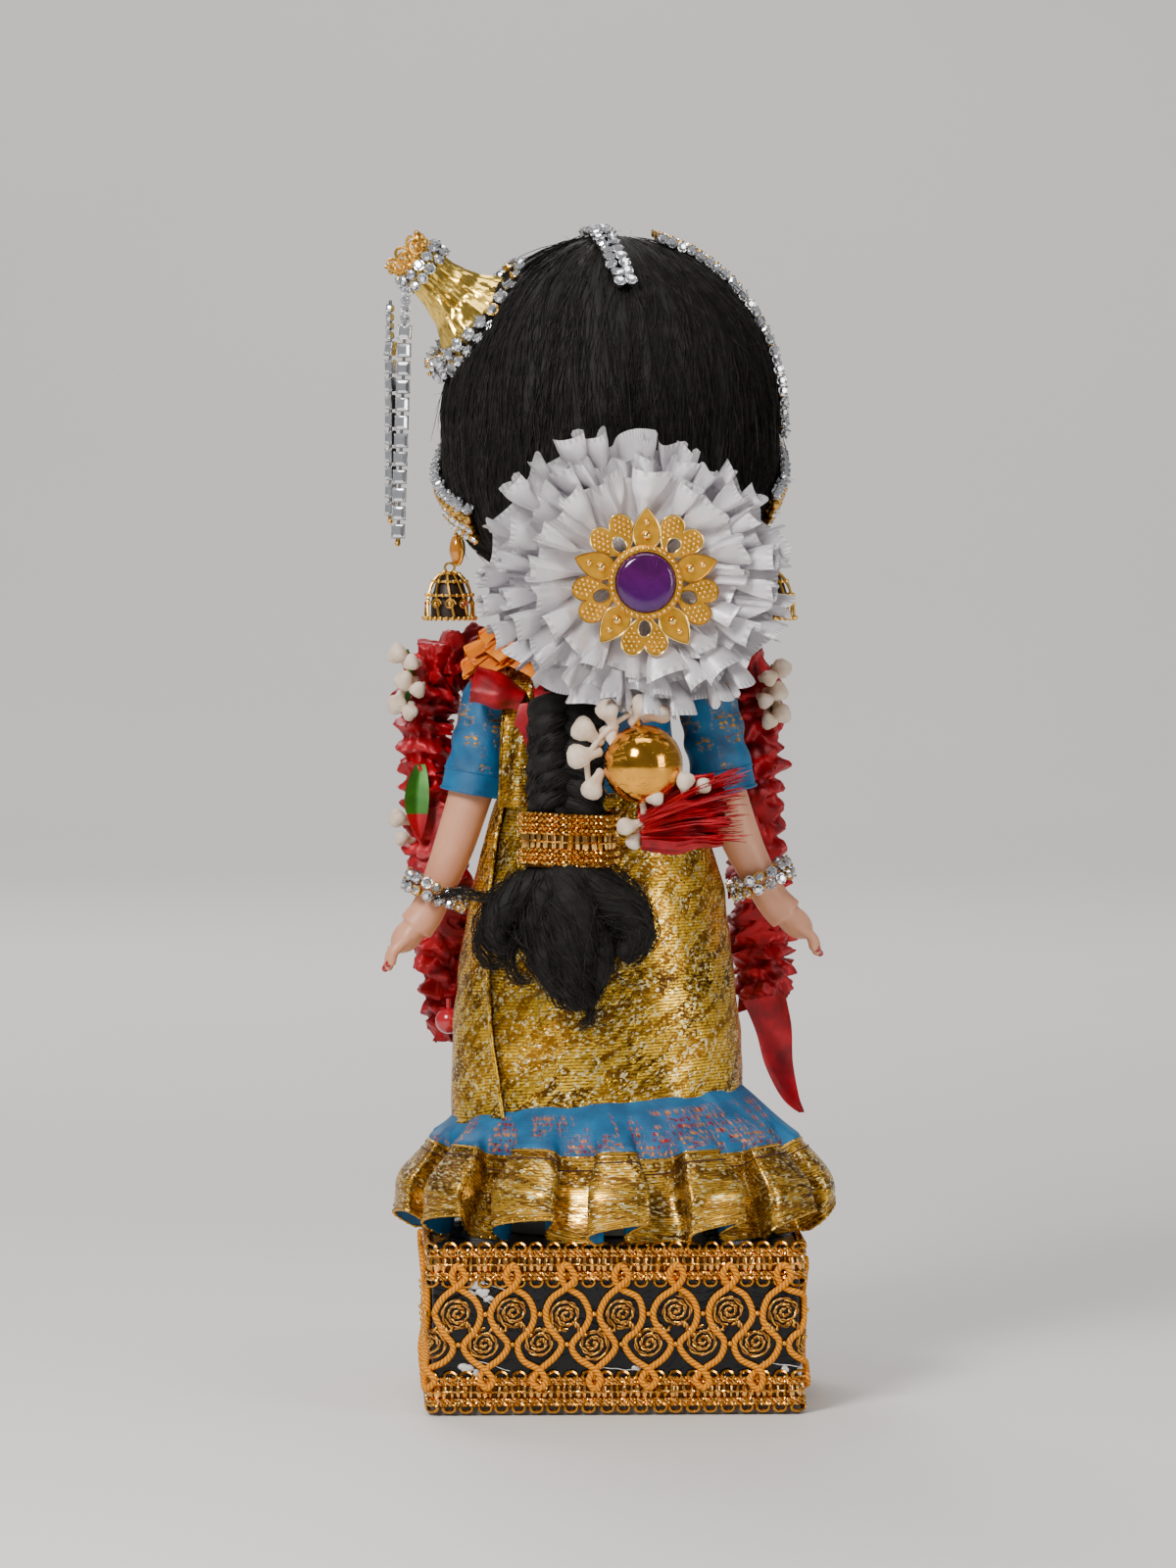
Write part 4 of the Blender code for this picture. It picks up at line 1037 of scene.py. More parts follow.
class Gems:
    """Cut stones in metal cups, collected as one object: slot 0 cup, slot 1 glass, slot 2 gold."""

    def __init__(self):
        self.shape = Shape()
        self.rng = random.Random(11)

    def turn(self, normal, wobble=0.10):
        tilt = Vector((self.rng.gauss(0, wobble), self.rng.gauss(0, wobble),
            self.rng.gauss(0, wobble)))
        normal = (normal.normalized() + tilt).normalized()
        return UP.rotation_difference(normal).to_matrix() @ Matrix.Rotation(
            self.rng.uniform(0, 1), 3, "Z")

    def lathe(self, centre, turn, profile, sides, slot):
        points, faces = [], []
        for r, h in profile:
            for k in range(sides):
                angle = TAU * k / sides
                points.append(centre
                    + turn @ (Vector((r * math.cos(angle), r * math.sin(angle), h)) * MM))
        rows = len(profile)
        for j in range(rows - 1):
            for k in range(sides):
                n = (k + 1) % sides
                faces.append((j * sides + k, j * sides + n, (j + 1) * sides + n,
                    (j + 1) * sides + k))
        faces.append(tuple(range(sides))[::-1])
        faces.append(tuple((rows - 1) * sides + k for k in range(sides)))
        self.shape.add(points, faces, None, slot)

    def round(self, centre, normal, size, gold=False):
        """A faceted round stone of this diameter in mm. centre is on the surface it stands on."""
        turn, r = self.turn(normal), size / 2
        cup = 2 if gold else 0
        self.lathe(centre, turn, [(r * 0.8, -0.1), (r * 1.06, 0.25 * size), (r * 1.1, 0.5 * size),
            (r * 0.92, 0.5 * size)], 12, cup)
        self.lathe(centre, turn, [(r * 0.94, 0.44 * size), (r * 0.9, 0.54 * size),
            (r * 0.5, 0.74 * size)], 8, 1)
        for k in range(4):
            angle = TAU * (k + 0.5) / 4
            prong = turn @ (Vector((r * math.cos(angle), r * math.sin(angle), 0.54 * size)) * MM)
            self.shape.ball(centre + prong, 0.15 * size * MM, 4, 6, slot=cup)

    def bead(self, centre, size):
        self.shape.ball(centre, size / 2 * MM, 6, 10, slot=2)

    def square(self, centre, normal, along, wide, tall, thick=1.5):
        """A square stone with bevelled edges in a four-sided cup."""
        normal = (normal.normalized() + Vector((self.rng.gauss(0, 0.07),) * 3)).normalized()
        along = (along - normal * along.dot(normal)).normalized()
        side = along.cross(normal)

        def ring(w, t, h):
            return [centre + (side * sx * w / 2 + along * sy * t / 2 + normal * h) * MM for sx,
                sy in ((1, 1), (-1, 1), (-1, -1), (1, -1))]

        def stack(levels, slot):
            points = [p for level in levels for p in ring(*level)]
            faces = [(0, 1, 2, 3)]
            for j in range(len(levels) - 1):
                for k in range(4):
                    n = (k + 1) % 4
                    faces.append((4 * j + k, 4 * j + n, 4 * j + 4 + n, 4 * j + 4 + k))
            top = 4 * (len(levels) - 1)
            faces.append((top, top + 1, top + 2, top + 3))
            self.shape.add(points, faces, None, slot)

        half = thick / 2
        stack([(wide * 0.9, tall * 0.9, -half), (wide, tall, -half * 0.4),
            (wide, tall, half * 0.5)], 0)
        stack([(wide * 0.86, tall * 0.86, half * 0.45), (wide * 0.84, tall * 0.84, half * 0.75),
            (wide * 0.5, tall * 0.5, half * 1.25)], 1)
        for sx, sy in ((1, 1), (-1, 1), (-1, -1), (1, -1)):
            corner = centre + (side * sx * wide * 0.42 + along * sy * tall * 0.42
                + normal * half * 0.75) * MM
            self.shape.ball(corner, 0.26 * MM, 4, 6)

    def piece(self, name, body, slot, replaces=()):
        return self.shape.piece(name, [CUP_SILVER, STONE, CUP_GOLD], body, slot, replaces, angle=18)


# ---------------------------------------------------------------- the foil bun with its trims

BUN_BASE = Vector((26.0, 0, 222.2))
BUN_AXIS = Vector((0.745, 0.12, 0.656)).normalized()
BUN_TURN = UP.rotation_difference(BUN_AXIS).to_matrix()
BUN_LENGTH, BUN_RIM = 18.6, 13.0


def on_bun(radius, angle, height):
    return (BUN_BASE
        + BUN_TURN @ Vector((radius * math.cos(angle), radius * math.sin(angle), height))) * MM


def make_bun():
    foil = Shape()
    profile = [(0, 1.0), (0.16, 0.72), (0.42, 0.50), (0.72, 0.37), (1.0, 0.35)]

    def reach(v):
        for (h0, r0), (h1, r1) in zip(profile, profile[1:]):
            if v <= h1:
                return BUN_RIM * lerp(r0, r1, smooth_step(h0, h1, v) * 0.35
                    + (v - h0) / (h1 - h0) * 0.65)
        return BUN_RIM * profile[-1][1]

    def at(u, v):
        angle = TAU * u
        turn = 3.0 * math.cos(angle), 3.0 * math.sin(angle)
        crease = abs(wander(turn[0] * 1.3, 51, turn[1] * 1.3 + v * 0.9)) - 0.22
        fine = abs(noise.noise(Vector((turn[0] * 3, turn[1] * 3, v * 3.4)))) - 0.2
        fold = math.sin(7 * angle + 2.4 * v) * 0.35
        r = reach(v) + (1.8 * crease + 0.7 * fine + fold * 0.5) * (1 - 0.45 * v)
        return on_bun(r, angle, v * BUN_LENGTH)

    foil.sheet(at, 110, 60, close_u=True)
    paint = metal("gold_foil", (0.98, 0.66, 0.13), 0.20)
    paint.bump(paint.cells(paint.place(), 330, "Distance", "F1"), 0.00035, 0.55)
    foil.piece("bun_foil", [paint], "head", "gold_foil", ["bun_cone"], outward=False, angle=28)

    gems = Gems()
    for row, (r, height, lean) in enumerate(((BUN_RIM + 0.8, -0.3, 0.25),
            (BUN_RIM + 0.5, 1.9, 0.75))):
        count = 27 - row
        for i in range(count):
            angle = TAU * (i + 0.5 * row) / count
            out = BUN_TURN @ Vector((math.cos(angle), math.sin(angle), lean))
            gems.round(on_bun(r, angle, height), out, gems.rng.uniform(2.5, 2.8),
                gold=gems.rng.random() < 0.15)
    gems.piece("bun_base_stones", "head", "rhinestones", ["bun_base_trim"])
    top = Gems()
    for row, (r, height) in enumerate(((4.9, BUN_LENGTH - 2.4), (4.9, BUN_LENGTH - 0.4))):
        for i in range(14):
            angle = TAU * (i + 0.5 * row) / 14
            out = BUN_TURN @ Vector((math.cos(angle), math.sin(angle), 0.2 + 0.3 * row))
            top.round(on_bun(r, angle, height), out, 2.1)
    top.piece("bun_top_stones", "head", "rhinestones", ["bun_top_ring"])

    crown = Shape()
    rise = BUN_LENGTH + 0.6
    crown.turned([(3.9 * MM, 0.0), (4.6 * MM, 0.0), (4.7 * MM, 0.8 * MM), (3.9 * MM, 0.8 * MM)],
        on_bun(0, 0, rise), BUN_AXIS, 36)
    crown.turned([(0.0, 0.3 * MM), (3.9 * MM, 0.3 * MM), (3.9 * MM, 0.7 * MM), (0.0, 0.9 * MM)],
        on_bun(0, 0, rise), BUN_AXIS, 36)
    for i in range(9):
        angle = TAU * i / 9
        loop = []
        for k in range(16):
            turn = TAU * k / 16
            loop.append(on_bun(4.3 + 0.35 * math.sin(turn) + 0.3, angle + 0.30 * math.cos(turn),
                rise + 2.3 + 1.5 * math.sin(turn)))
        crown.tube(loop, 0.34 * MM, 6, closed=True)
        crown.ball(on_bun(4.9, angle, rise + 2.3), 0.62 * MM, 6, 10)
        crown.ball(on_bun(4.6, angle + TAU / 18, rise + 1.3), 0.55 * MM, 6, 10)
        crown.ball(on_bun(2.5, angle, rise + 1.0), 0.5 * MM, 6, 8)
    crown.ball(on_bun(0, 0, rise + 1.0), 1.5 * MM, 8, 14)
    crown.piece("bun_crown_filigree", [GOLD], "head", "gold_metal", ["bun_crown"], angle=35)


# ---------------------------------------------------------------- hanging strands of square stones

def make_strand(name, node, body, face, top, foot, count):
    gems = Gems()
    top, foot = Vector(top), Vector(foot)
    pitch = (foot - top) / count
    for i in range(count):
        centre = (top + pitch * (i + 0.5)) * MM
        if i < 2:
            gems.round(centre - Vector(face) * 0.5 * MM + mm(0, 0, 0.9), Vector(face), 1.8)
            gems.round(centre - Vector(face) * 0.5 * MM - mm(0, 0, 0.9), Vector(face), 1.8)
        else:
            gems.square(centre, Vector(face), Vector((0, 0, 1)), 2.8, 3.0)
        link = (top + pitch * i) * MM
        half = pitch * 0.22 * MM
        gems.shape.tube([link - half, link, link + half], 0.34 * MM, 6)
    gems.shape.tube([(foot + pitch * t) * MM for t in (-0.1, 0.1, 0.2)], 0.5 * MM, 6, slot=2)
    gems.shape.ball((foot + pitch * 0.18) * MM, 0.6 * MM, 6, 8, slot=2)
    gems.piece(name, body, "rhinestones", [node])


# ---------------------------------------------------------------- stone bands on the hair

def hair_track(marks, lift, pitch):
    """Places (place, along, out) along a line on the hair, one every pitch mm.

    marks holds (degrees, height).
    """
    places = []
    for angle, z in marks:
        reach, turn = HAIR_RADIUS * hair_share(z), math.radians(angle)
        places.append(Vector((reach * math.cos(turn), reach * math.sin(turn), z)))
    line = curve_through(places, 12)
    found, run, due = [], 0.0, pitch / 2
    for a, b in zip(line, line[1:]):
        step = (b - a).length
        while step and run + step >= due:
            place = a.lerp(b, (due - run) / step)
            out = Vector((place.x / HAIR_RADIUS ** 2, place.y / HAIR_RADIUS ** 2,
                (place.z - HAIR_Z) / HAIR_RISE ** 2)).normalized()
            found.append(((place + out * lift) * MM, (b - a).normalized(), out))
            due += pitch
        run += step
    return found


def make_band(name, node, marks, rows, pitch, size, lift, gold_rows=()):
    gems = Gems()
    track = hair_track(marks, lift, pitch)
    for place, along, out in track:
        side = along.cross(out).normalized()
        for row in range(rows):
            shift = (row - (rows - 1) / 2) * pitch * 0.97
            centre = place + side * shift * MM
            if row in gold_rows:
                gems.bead(centre + out * 0.7 * MM, size * 0.92)
            else:
                gems.round(centre, out, size, gold=bool(gold_rows))
        if gold_rows:
            edge = side if side.y > 0 else -side
            rim = place + edge * (rows * 0.5 * pitch + 0.15) * MM - out * 0.1 * MM
            gems.round(rim, (edge + out * 0.35).normalized(), size * 1.05, gold=False)
    if len(track) > 2:
        for row in range(rows):
            shift = (row - (rows - 1) / 2) * pitch * 0.97
            line = [p + a.cross(o).normalized() * shift * MM - o * 0.2 * MM for p, a, o in track]
            gems.shape.tube(line, 0.42 * MM, 6, slot=2 if gold_rows else 0)
    gems.piece(name, "head", "rhinestones" if not gold_rows else "gold_metal", [node])


# ---------------------------------------------------------------- earrings

# Painted shade: a near-black inner cone inside the earring's open filigree, standing for the shade
# inside the bell.
DARK = Paint("painted_shade_core", (0.02, 0.008, 0.004), 0.5, 0.2)
AMBER = Paint("amber_drop", (0.60, 0.22, 0.02), 0.12, 0.35, Coat_Weight=1.0)
RED_SPECK = Paint("red_speck", (0.35, 0.01, 0.015), 0.15, 0.2, Coat_Weight=1.0)


def make_earring(side, sign):
    top = mm(sign * 33.2, -2, 171.6)
    shape = Shape()
    profile = [(0.9, -0.8), (2.3, -1.5), (3.7, -3.2), (4.6, -5.6), (5.0, -8.2), (5.05, -10.4)]
    # The dark inner cone stands for the shade seen through the filigree.
    shape.turned([(r * 0.78 * MM, z * MM) for r, z in profile + [(0.3, -9.6), (0.2, -1.5)]], top,
        UP, 20, slot=1)
    for k in range(10):
        angle = TAU * k / 10
        rib = [top + mm(r * math.cos(angle + 0.1 * i), r * math.sin(angle + 0.1 * i), z) for i,
            (r, z) in enumerate(profile)]
        shape.tube(curve_through(rib, 3), 0.28 * MM, 6)
        swirl = []
        for i in range(22):
            t = TAU * 1.5 * i / 21
            spread = 0.95 * (1 - i / 30)
            a = angle + TAU / 20 + spread * 0.26 * math.cos(t)
            swirl.append(top + mm(4.85 * math.cos(a), 4.85 * math.sin(a), -7.4
                + spread * 1.2 * math.sin(t)))
        shape.tube(swirl, 0.2 * MM, 5)
        shape.ball(top + mm(5.0 * math.cos(angle + TAU / 20), 5.0 * math.sin(angle + TAU / 20),
            -7.4), 0.5 * MM, 5, 8, slot=2 if k % 3 == 0 else 0)
    for r, z, count, size in ((5.15, -10.4, 26, 0.52), (4.65, -5.6, 20, 0.42),
            (3.4, -2.8, 14, 0.42), (1.8, -1.2, 8, 0.4)):
        ring = [top + mm(r * math.cos(TAU * i / 40), r * math.sin(TAU * i / 40), z)
            for i in range(40)]
        shape.tube(ring, 0.24 * MM, 6, closed=True)
        for i in range(count):
            angle = TAU * i / count
            shape.ball(top + mm((r + 0.15) * math.cos(angle), (r + 0.15) * math.sin(angle), z),
                size * MM, 5, 8)
    hoop = [top + mm(1.0 * math.cos(TAU * i / 20), 0, 1.0 * math.sin(TAU * i / 20))
        for i in range(20)]
    shape.tube(hoop, 0.25 * MM, 6, closed=True)
    shape.piece(f"earring_filigree_{side}", [GOLD, DARK, RED_SPECK], f"{side}_earring",
        "gold_metal", [f"earring_{side}"], angle=35)

    drop = Shape()
    centre = mm(sign * 31.6, -2, 175.4)
    out = Vector((sign * 0.8, 0.6, 0)).normalized()
    drop.ball(centre, 1 * MM, 12, 18, stretch=(1.7, 1.7, 3.1), slot=1)
    rim = []
    across = UP.cross(out)
    for i in range(28):
        a = TAU * i / 28
        rim.append(centre + (across * 1.85 * math.cos(a) + UP * 3.2 * math.sin(a)) * MM)
    drop.tube(rim, 0.32 * MM, 6, closed=True)
    for i in range(0, 28, 2):
        drop.ball(rim[i] + out * 0.2 * MM, 0.34 * MM, 4, 6)
    drop.piece(f"ear_drop_stone_{side}", [GOLD, AMBER], "head", "gold_metal",
        [f"ear_drop_{side}"], angle=35)


make_bun()
make_strand("front_strand_stones", "chain_front", "front_strand", (0.25, 0.97, 0.05),
    (42.2, 9.0, 229.4), (44.0, 9.0, 177.5), 14)
make_strand("rear_strand_stones", "chain_rear", "rear_strand", (0.9, 0.42, 0.0),
    (45.4, -1.4, 226.0), (45.4, -1.4, 182), 12)
make_band("parting_stones", "parting_strip", [(95, 228.6), (92, 233), (86, 237.2), (70, 239.8),
    (-60, 239.8), (-80, 237), (-86, 232)], 2, 2.5, 2.3, 0.5)
make_band("crown_band_jewels", "crown_band", [(168, 239.4), (178, 236.6), (184, 231.6),
    (186, 225.4), (187, 218.6), (188, 210), (190, 200)], 4, 2.1, 2.0, 0.5, (1, 3))
make_band("ear_strip_stones_left", "ear_strip_left",
    [(-24, 194), (-12, 189.4), (2, 185.6), (16, 182.6), (28, 180.4)], 3, 2.3, 2.2, 0.4, (0,))
make_band("ear_strip_stones_right", "ear_strip_right",
    [(204, 196.5), (192, 192), (178, 187), (164, 183)], 3, 2.3, 2.2, 0.4, (2,))
make_earring("left", 1)
make_earring("right", -1)


# ---------------------------------------------------------------- woven cloths

def zari_paint(name, gold, shade, dark, turn=-38, size=0.055):
    """Metallic-thread brocade: short gold floats on a brown ground partly painted as shade, in
    diagonal strokes, with painted glints on some floats and grains.
    """
    paint = Paint(name, gold, 0.32, 0.85)
    flat = paint.flat()
    ripple = paint.node("TexNoise", Vector=flat, Scale=0.12, Detail=1.0).outputs["Color"]
    scaled = paint.node("VectorMath", {"operation": "SCALE"})
    paint.feed(scaled.inputs[0], ripple)
    scaled.inputs["Scale"].default_value = 5.0
    warp = paint.node("VectorMath", {"operation": "ADD"})
    paint.feed(warp.inputs[0], paint.scaled(flat, (1, 1, 1), turn))
    paint.feed(warp.inputs[1], scaled.outputs[0])
    bent = warp.outputs[0]
    leaf = paint.ramp(paint.cells(bent, size, "Distance"),
        [(0.26, 1.0), (0.31, 0.15), (0.40, 0.15), (0.44, 1.0), (0.50, 1.0), (0.54, 0.0)])
    feather = paint.ramp(paint.bands(bent, 0.055, "X", 2.0, 1.0), [(0.40, 0.0), (0.52, 1.0)])
    solid = paint.math("MAXIMUM", paint.math("MULTIPLY", leaf, 0.9),
        paint.math("MULTIPLY", feather, 0.75), True)
    strokes = paint.noise(paint.scaled(bent, (0.15, 1.0, 1)), 0.36, 1.5, 0.45)
    stroke = paint.ramp(strokes, [(0.49, 0.0), (0.525, 1.0)])
    solid = paint.math("MAXIMUM", paint.math("MULTIPLY", solid, 0.34), stroke, True)
    floats = paint.node("TexVoronoi", {"feature": "F1"},
        Vector=paint.scaled(bent, (1.0, 2.3, 1), 8), Scale=0.92)
    float_edge = paint.ramp(floats.outputs["Distance"], [(0.26, 1.0), (0.46, 0.0)])
    tone = paint.split(floats.outputs["Color"])[0]
    twill = paint.ramp(paint.bands(paint.scaled(flat, (1, 1, 1), -64), 0.34, "X", 1.2, 1.0),
        [(0.25, 0.0), (0.62, 1.0)])
    rows = paint.ramp(paint.bands(flat, 0.46, "Y", 0.6, 1.0), [(0.15, 0.25), (0.5, 1.0)])
    bright = paint.math("MULTIPLY", solid, rows)
    quiet = paint.math("MULTIPLY", paint.math("MULTIPLY", twill, 0.52), tone)
    lit = paint.math("MAXIMUM", bright, paint.math("MAXIMUM", quiet,
        paint.math("MULTIPLY", float_edge, paint.math("MULTIPLY", tone, 0.75))), True)
    grains = paint.node("TexVoronoi", {"feature": "F1"}, Vector=flat, Scale=1.55)
    grain, painted_grain_glints, _ = paint.split(grains.outputs["Color"])
    # Painted glitter: each grain of the gold is painted at a random brightness.
    lit = paint.math("MULTIPLY", lit, paint.ramp(grain, [(0.12, 0.30), (0.55, 1.0)]), True)
    # The ground between the floats is mixed from the shade and dark colours: the ground thread's
    # brown, deepened by painted shade between the floats.
    ground = paint.mix(paint.ramp(paint.noise(paint.place(), 85, 3), [(0.35, 0.0), (0.65, 1.0)]),
        dark, shade)
    body = paint.mix(paint.ramp(lit, [(0.10, 0.0), (0.60, 1.0)]), ground, gold)
    # Painted glints: a few floats are painted near white at their middles.
    painted_float_glints = paint.ramp(paint.split(floats.outputs["Color"])[1], [(0.84, 0.0), (0.90, 1.0)])
    painted_float_glints = paint.math("MULTIPLY", painted_float_glints, float_edge)
    body = paint.mix(painted_float_glints, body, (1.0, 0.90, 0.50))
    # Painted glints: a few grains are painted pale gold.
    body = paint.mix(paint.math("MULTIPLY", paint.ramp(painted_grain_glints, [(0.86, 0.0), (0.90, 1.0)]), 0.85),
        body, (1.0, 0.84, 0.40))
    paint.colour(body)
    paint.rough(tone, 0.42, 0.17)
    paint.bump(grain, 0.00030, 0.8)
    paint.bump(lit, 0.00018, 0.9)
    paint.bump(tone, 0.00040, 0.85)
    return paint


def silk_paint(name, colour, shade, motif=0.0, low_band=None, threads=None):
    """Fine silk.

    motif is how much of it carries woven sprigs; low_band limits them to V (mm).
    """
    paint = Paint(name, colour, 0.46, 0.0, Sheen_Weight=0.03, Sheen_Roughness=0.35)
    paint.set("Sheen Tint", (*colour, 1))
    flat = paint.flat()
    rows = paint.bands(flat, 1.1, "Y")
    columns = paint.bands(flat, 1.1, "X")
    cloud = paint.noise(paint.place(), 200, 4)
    body = paint.mix(paint.ramp(cloud, [(0.3, 0.0), (0.68, 1.0)]), shade, colour)
    body = paint.mix(paint.math("MULTIPLY", rows, 0.16), body,
        tuple(min(1, c * 1.5 + 0.03) for c in colour))
    paint.bump(paint.math("MULTIPLY", rows, columns), 0.00006, 0.7)
    if motif:
        sprig = paint.cells(paint.scaled(flat, (1, 1.25, 1), 25), 0.105 if low_band
            else 0.20, "Distance")
        crumb = paint.noise(flat, 0.75, 3, 0.6)
        dashes = paint.bands(flat, 0.30, "Y", 1.5, 1.0)
        mask = paint.math("MULTIPLY", paint.ramp(sprig,
            [(0.30 + 0.24 * motif, 1.0), (0.40 + 0.24 * motif, 0.0)]),
            paint.ramp(crumb, [(0.47, 0.0), (0.53, 1.0)]))
        mask = paint.math("MULTIPLY", mask, paint.ramp(dashes, [(0.3, 0.25), (0.5, 1.0)]))
        if low_band:
            _, down, _ = paint.split(flat)
            inside_band = paint.math("MULTIPLY", paint.math("GREATER_THAN", down, low_band[0]),
                paint.math("LESS_THAN", down, low_band[1]))
            mask = paint.math("MULTIPLY", mask, inside_band)
        hue = paint.noise(flat, 0.35, 1)
        thread = paint.ramp(hue, threads or [(0.36, (0.20, 0.08, 0.02)), (0.5, (0.62, 0.34, 0.04)),
            (0.66, (0.10, 0.045, 0.02))])
        body = paint.mix(mask, body, thread)
        paint.feed(paint.shader.inputs["Metallic"], paint.math("MULTIPLY", mask, 0.55))
        paint.bump(mask, 0.00018, 0.8)
    paint.colour(body)
    return paint


BLUE, BLUE_SHADE = (0.0, 0.145, 0.335), (0.0, 0.048, 0.135)
BROCADE = zari_paint("gold_brocade_cloth", (1.0, 0.60, 0.045), (0.36, 0.15, 0.007),
    (0.07, 0.025, 0.003))
BORDER = zari_paint("zari_border", (0.84, 0.48, 0.050), (0.30, 0.13, 0.014),
    (0.08, 0.03, 0.006), -30, 0.09)
PALLU = zari_paint("pallu_brocade", (0.72, 0.40, 0.030), (0.28, 0.12, 0.008),
    (0.08, 0.03, 0.005), 80, 0.12)
BLUE_PLAIN = silk_paint("blue_silk_plain", BLUE, BLUE_SHADE)
BLUE_SPRIG = silk_paint("blue_silk_sprigged", BLUE, BLUE_SHADE, 0.75)
BLUE_SKIRT = silk_paint(
    "blue_silk_skirt", BLUE, BLUE_SHADE, 0.95, (5.0, 15.5),
    [(0.38, (0.30, 0.012, 0.02)), (0.46, (0.50, 0.14, 0.10)), (0.55, (0.60, 0.30, 0.12)),
        (0.66, (0.20, 0.03, 0.03))],
)

WRAP_STATIONS = [(0, 29.6, 22.4, 2.2), (21, 29.0, 21.6, 2.5), (33, 27.6, 20.6, 2.5),
    (47, 25.6, 18.9, 2.5),
                 (57, 22.6, 16.6, 2.5), (66.4, 20.0, 14.2, 2.5), (68.6, 18.6, 13.0, 2.5)]


def stations_at(stations, height):
    for (h0, w0, d0, x0), (h1, w1, d1, x1) in zip(stations, stations[1:]):
        if height <= h1:
            t = (height - h0) / (h1 - h0)
            return lerp(w0, w1, t), lerp(d0, d1, t), lerp(x0, x1, t)
    return stations[-1][1:]


def round_wave(angle, high, seed, scale=1.0):
    """Noise on a ring, so it meets itself: angle round, height up (mm)."""
    return noise.noise(
        Vector((scale * math.cos(angle), scale * math.sin(angle), high * 0.05 * scale
        + seed * 5.3)))


def make_wrap():
    """A length of brocade wound once round the body and lapped over at her left back."""
    shape = Shape()
    start, turns, tall = math.radians(-24), 1.17, 68.6

    def at(u, v):
        angle = start + TAU * turns * u + math.radians(26) * (0.45 - v) * smooth_step(0.82, 1.0, u)
        height = tall * v
        half_x, half_y, x = stations_at(WRAP_STATIONS, height)
        lap = 0.9 * smooth_step(0.80, 0.90, u) + 0.15
        edge = smooth_step(0.985, 1.0, u)
        soft = 0.75 * round_wave(angle, height, 61, 1.4) + 0.35 * round_wave(angle, height, 63, 3.3)
        pull = 0.6 * math.sin(angle * 3 + height * 0.09) * (1 - v)
        out = lap + soft + 0.4 * pull + 0.5 * edge
        px = x + (half_x + out) * math.cos(angle)
        py = (half_y + out) * math.sin(angle)
        lift = (5 / 60) * (31 - px)
        slant = 1.5 * smooth_step(0.95, 1.0, u) * (1 - v) ** 2
        z = 57 + height + (lift + slant + 0.5 * round_wave(angle, 0, 65, 2.5)) * (1 - v)
        return mm(px, py, z)

    shape.sheet(at, 300, 84, size=(192, tall))
    wrap = shape.piece("gold_wrap_cloth", [BROCADE], "plinth_and_body", "gold_brocade",
        ["gold_wrap"], outward=False, angle=70)
    hem = Shape()
    line = [at(i / 300, 0.003) for i in range(301)]
    hem.tube([p + Vector((0, 0, 0.0002)) for p in line], 0.42 * MM, 8)
    side = [at(1, j / 60) for j in range(61)]
    hem.tube(side, 0.4 * MM, 8)
    hem.tube([at(i / 300, 0.985) + Vector((0, 0, 0.0002)) for i in range(301)], 0.5 * MM, 8)
    hem.piece("gold_wrap_hem", [BROCADE], "plinth_and_body", "gold_brocade", angle=60)


PLEATS = 13


def skirt_place(u, v, inward=0.0):
    """The skirt from under the wrap (v 0) to its hem (v 1), in box pleats that open downwards."""
    ring = (math.cos(TAU * u), math.sin(TAU * u))
    angle = TAU * u + math.pi / 2
    phase = PLEATS * TAU * u + 1.7 * noise.noise(Vector((1.7 * ring[0], 1.7 * ring[1], 71.0)))
    own = noise.noise(Vector((3.1 * ring[0], 3.1 * ring[1], 73.0)))
    spread = smooth_step(0.16, 0.62, v)
    shelf = smooth_step(0.0, 0.36, v)
    fall = smooth_step(0.30, 1.0, v)
    half_x = lerp(27.6, 37.2, shelf) + 5.0 * fall ** 1.3
    half_y = lerp(20.6, 31.4, shelf) + 5.0 * fall ** 1.3
    centre = lerp(2.5, -0.8, shelf)
    wave = math.cos(phase)
    plateau = math.tanh(1.7 * wave) / math.tanh(1.7)
    ridge = (0.3 + 3.3 * spread * (1 + 0.6 * own)) * plateau
    angle += 1.02 * spread * math.sin(2 * phase) / PLEATS + 0.05 * spread * plateau * (0.4 + own)
    crumple = 0.55 * noise.noise(Vector((8 * ring[0], 8 * ring[1], 4 * v))) * (0.3 + v)
    bow = 2.0 * math.sin(math.pi * smooth_step(0.36, 1.0, v)) * (0.5 + 0.5 * plateau)
    out = ridge + crumple + bow - inward
    px = centre + (half_x + out) * math.cos(angle)
    py = (half_y + out) * math.sin(angle)
    base = 34.95
    z = lerp(61.5, 53.4, smooth_step(0.0, 0.40, v)) - 18.4 * max(0.0, v - 0.33) / 0.67
    z += (5 / 60) * (31 - px) * (1 - shelf)
    z += (1.6 + 1.4 * own) * plateau * smooth_step(0.2, 0.5, v) * (1 - smooth_step(0.6, 0.9, v))
    z += (3.2 + 2.2 * own) * (0.5 + 0.5 * plateau) * smooth_step(0.55, 1.0, v)
    z += 1.7 * math.sin(phase + 0.6) * smooth_step(0.6, 1.0, v)
    return mm(px, py, max(z, base))


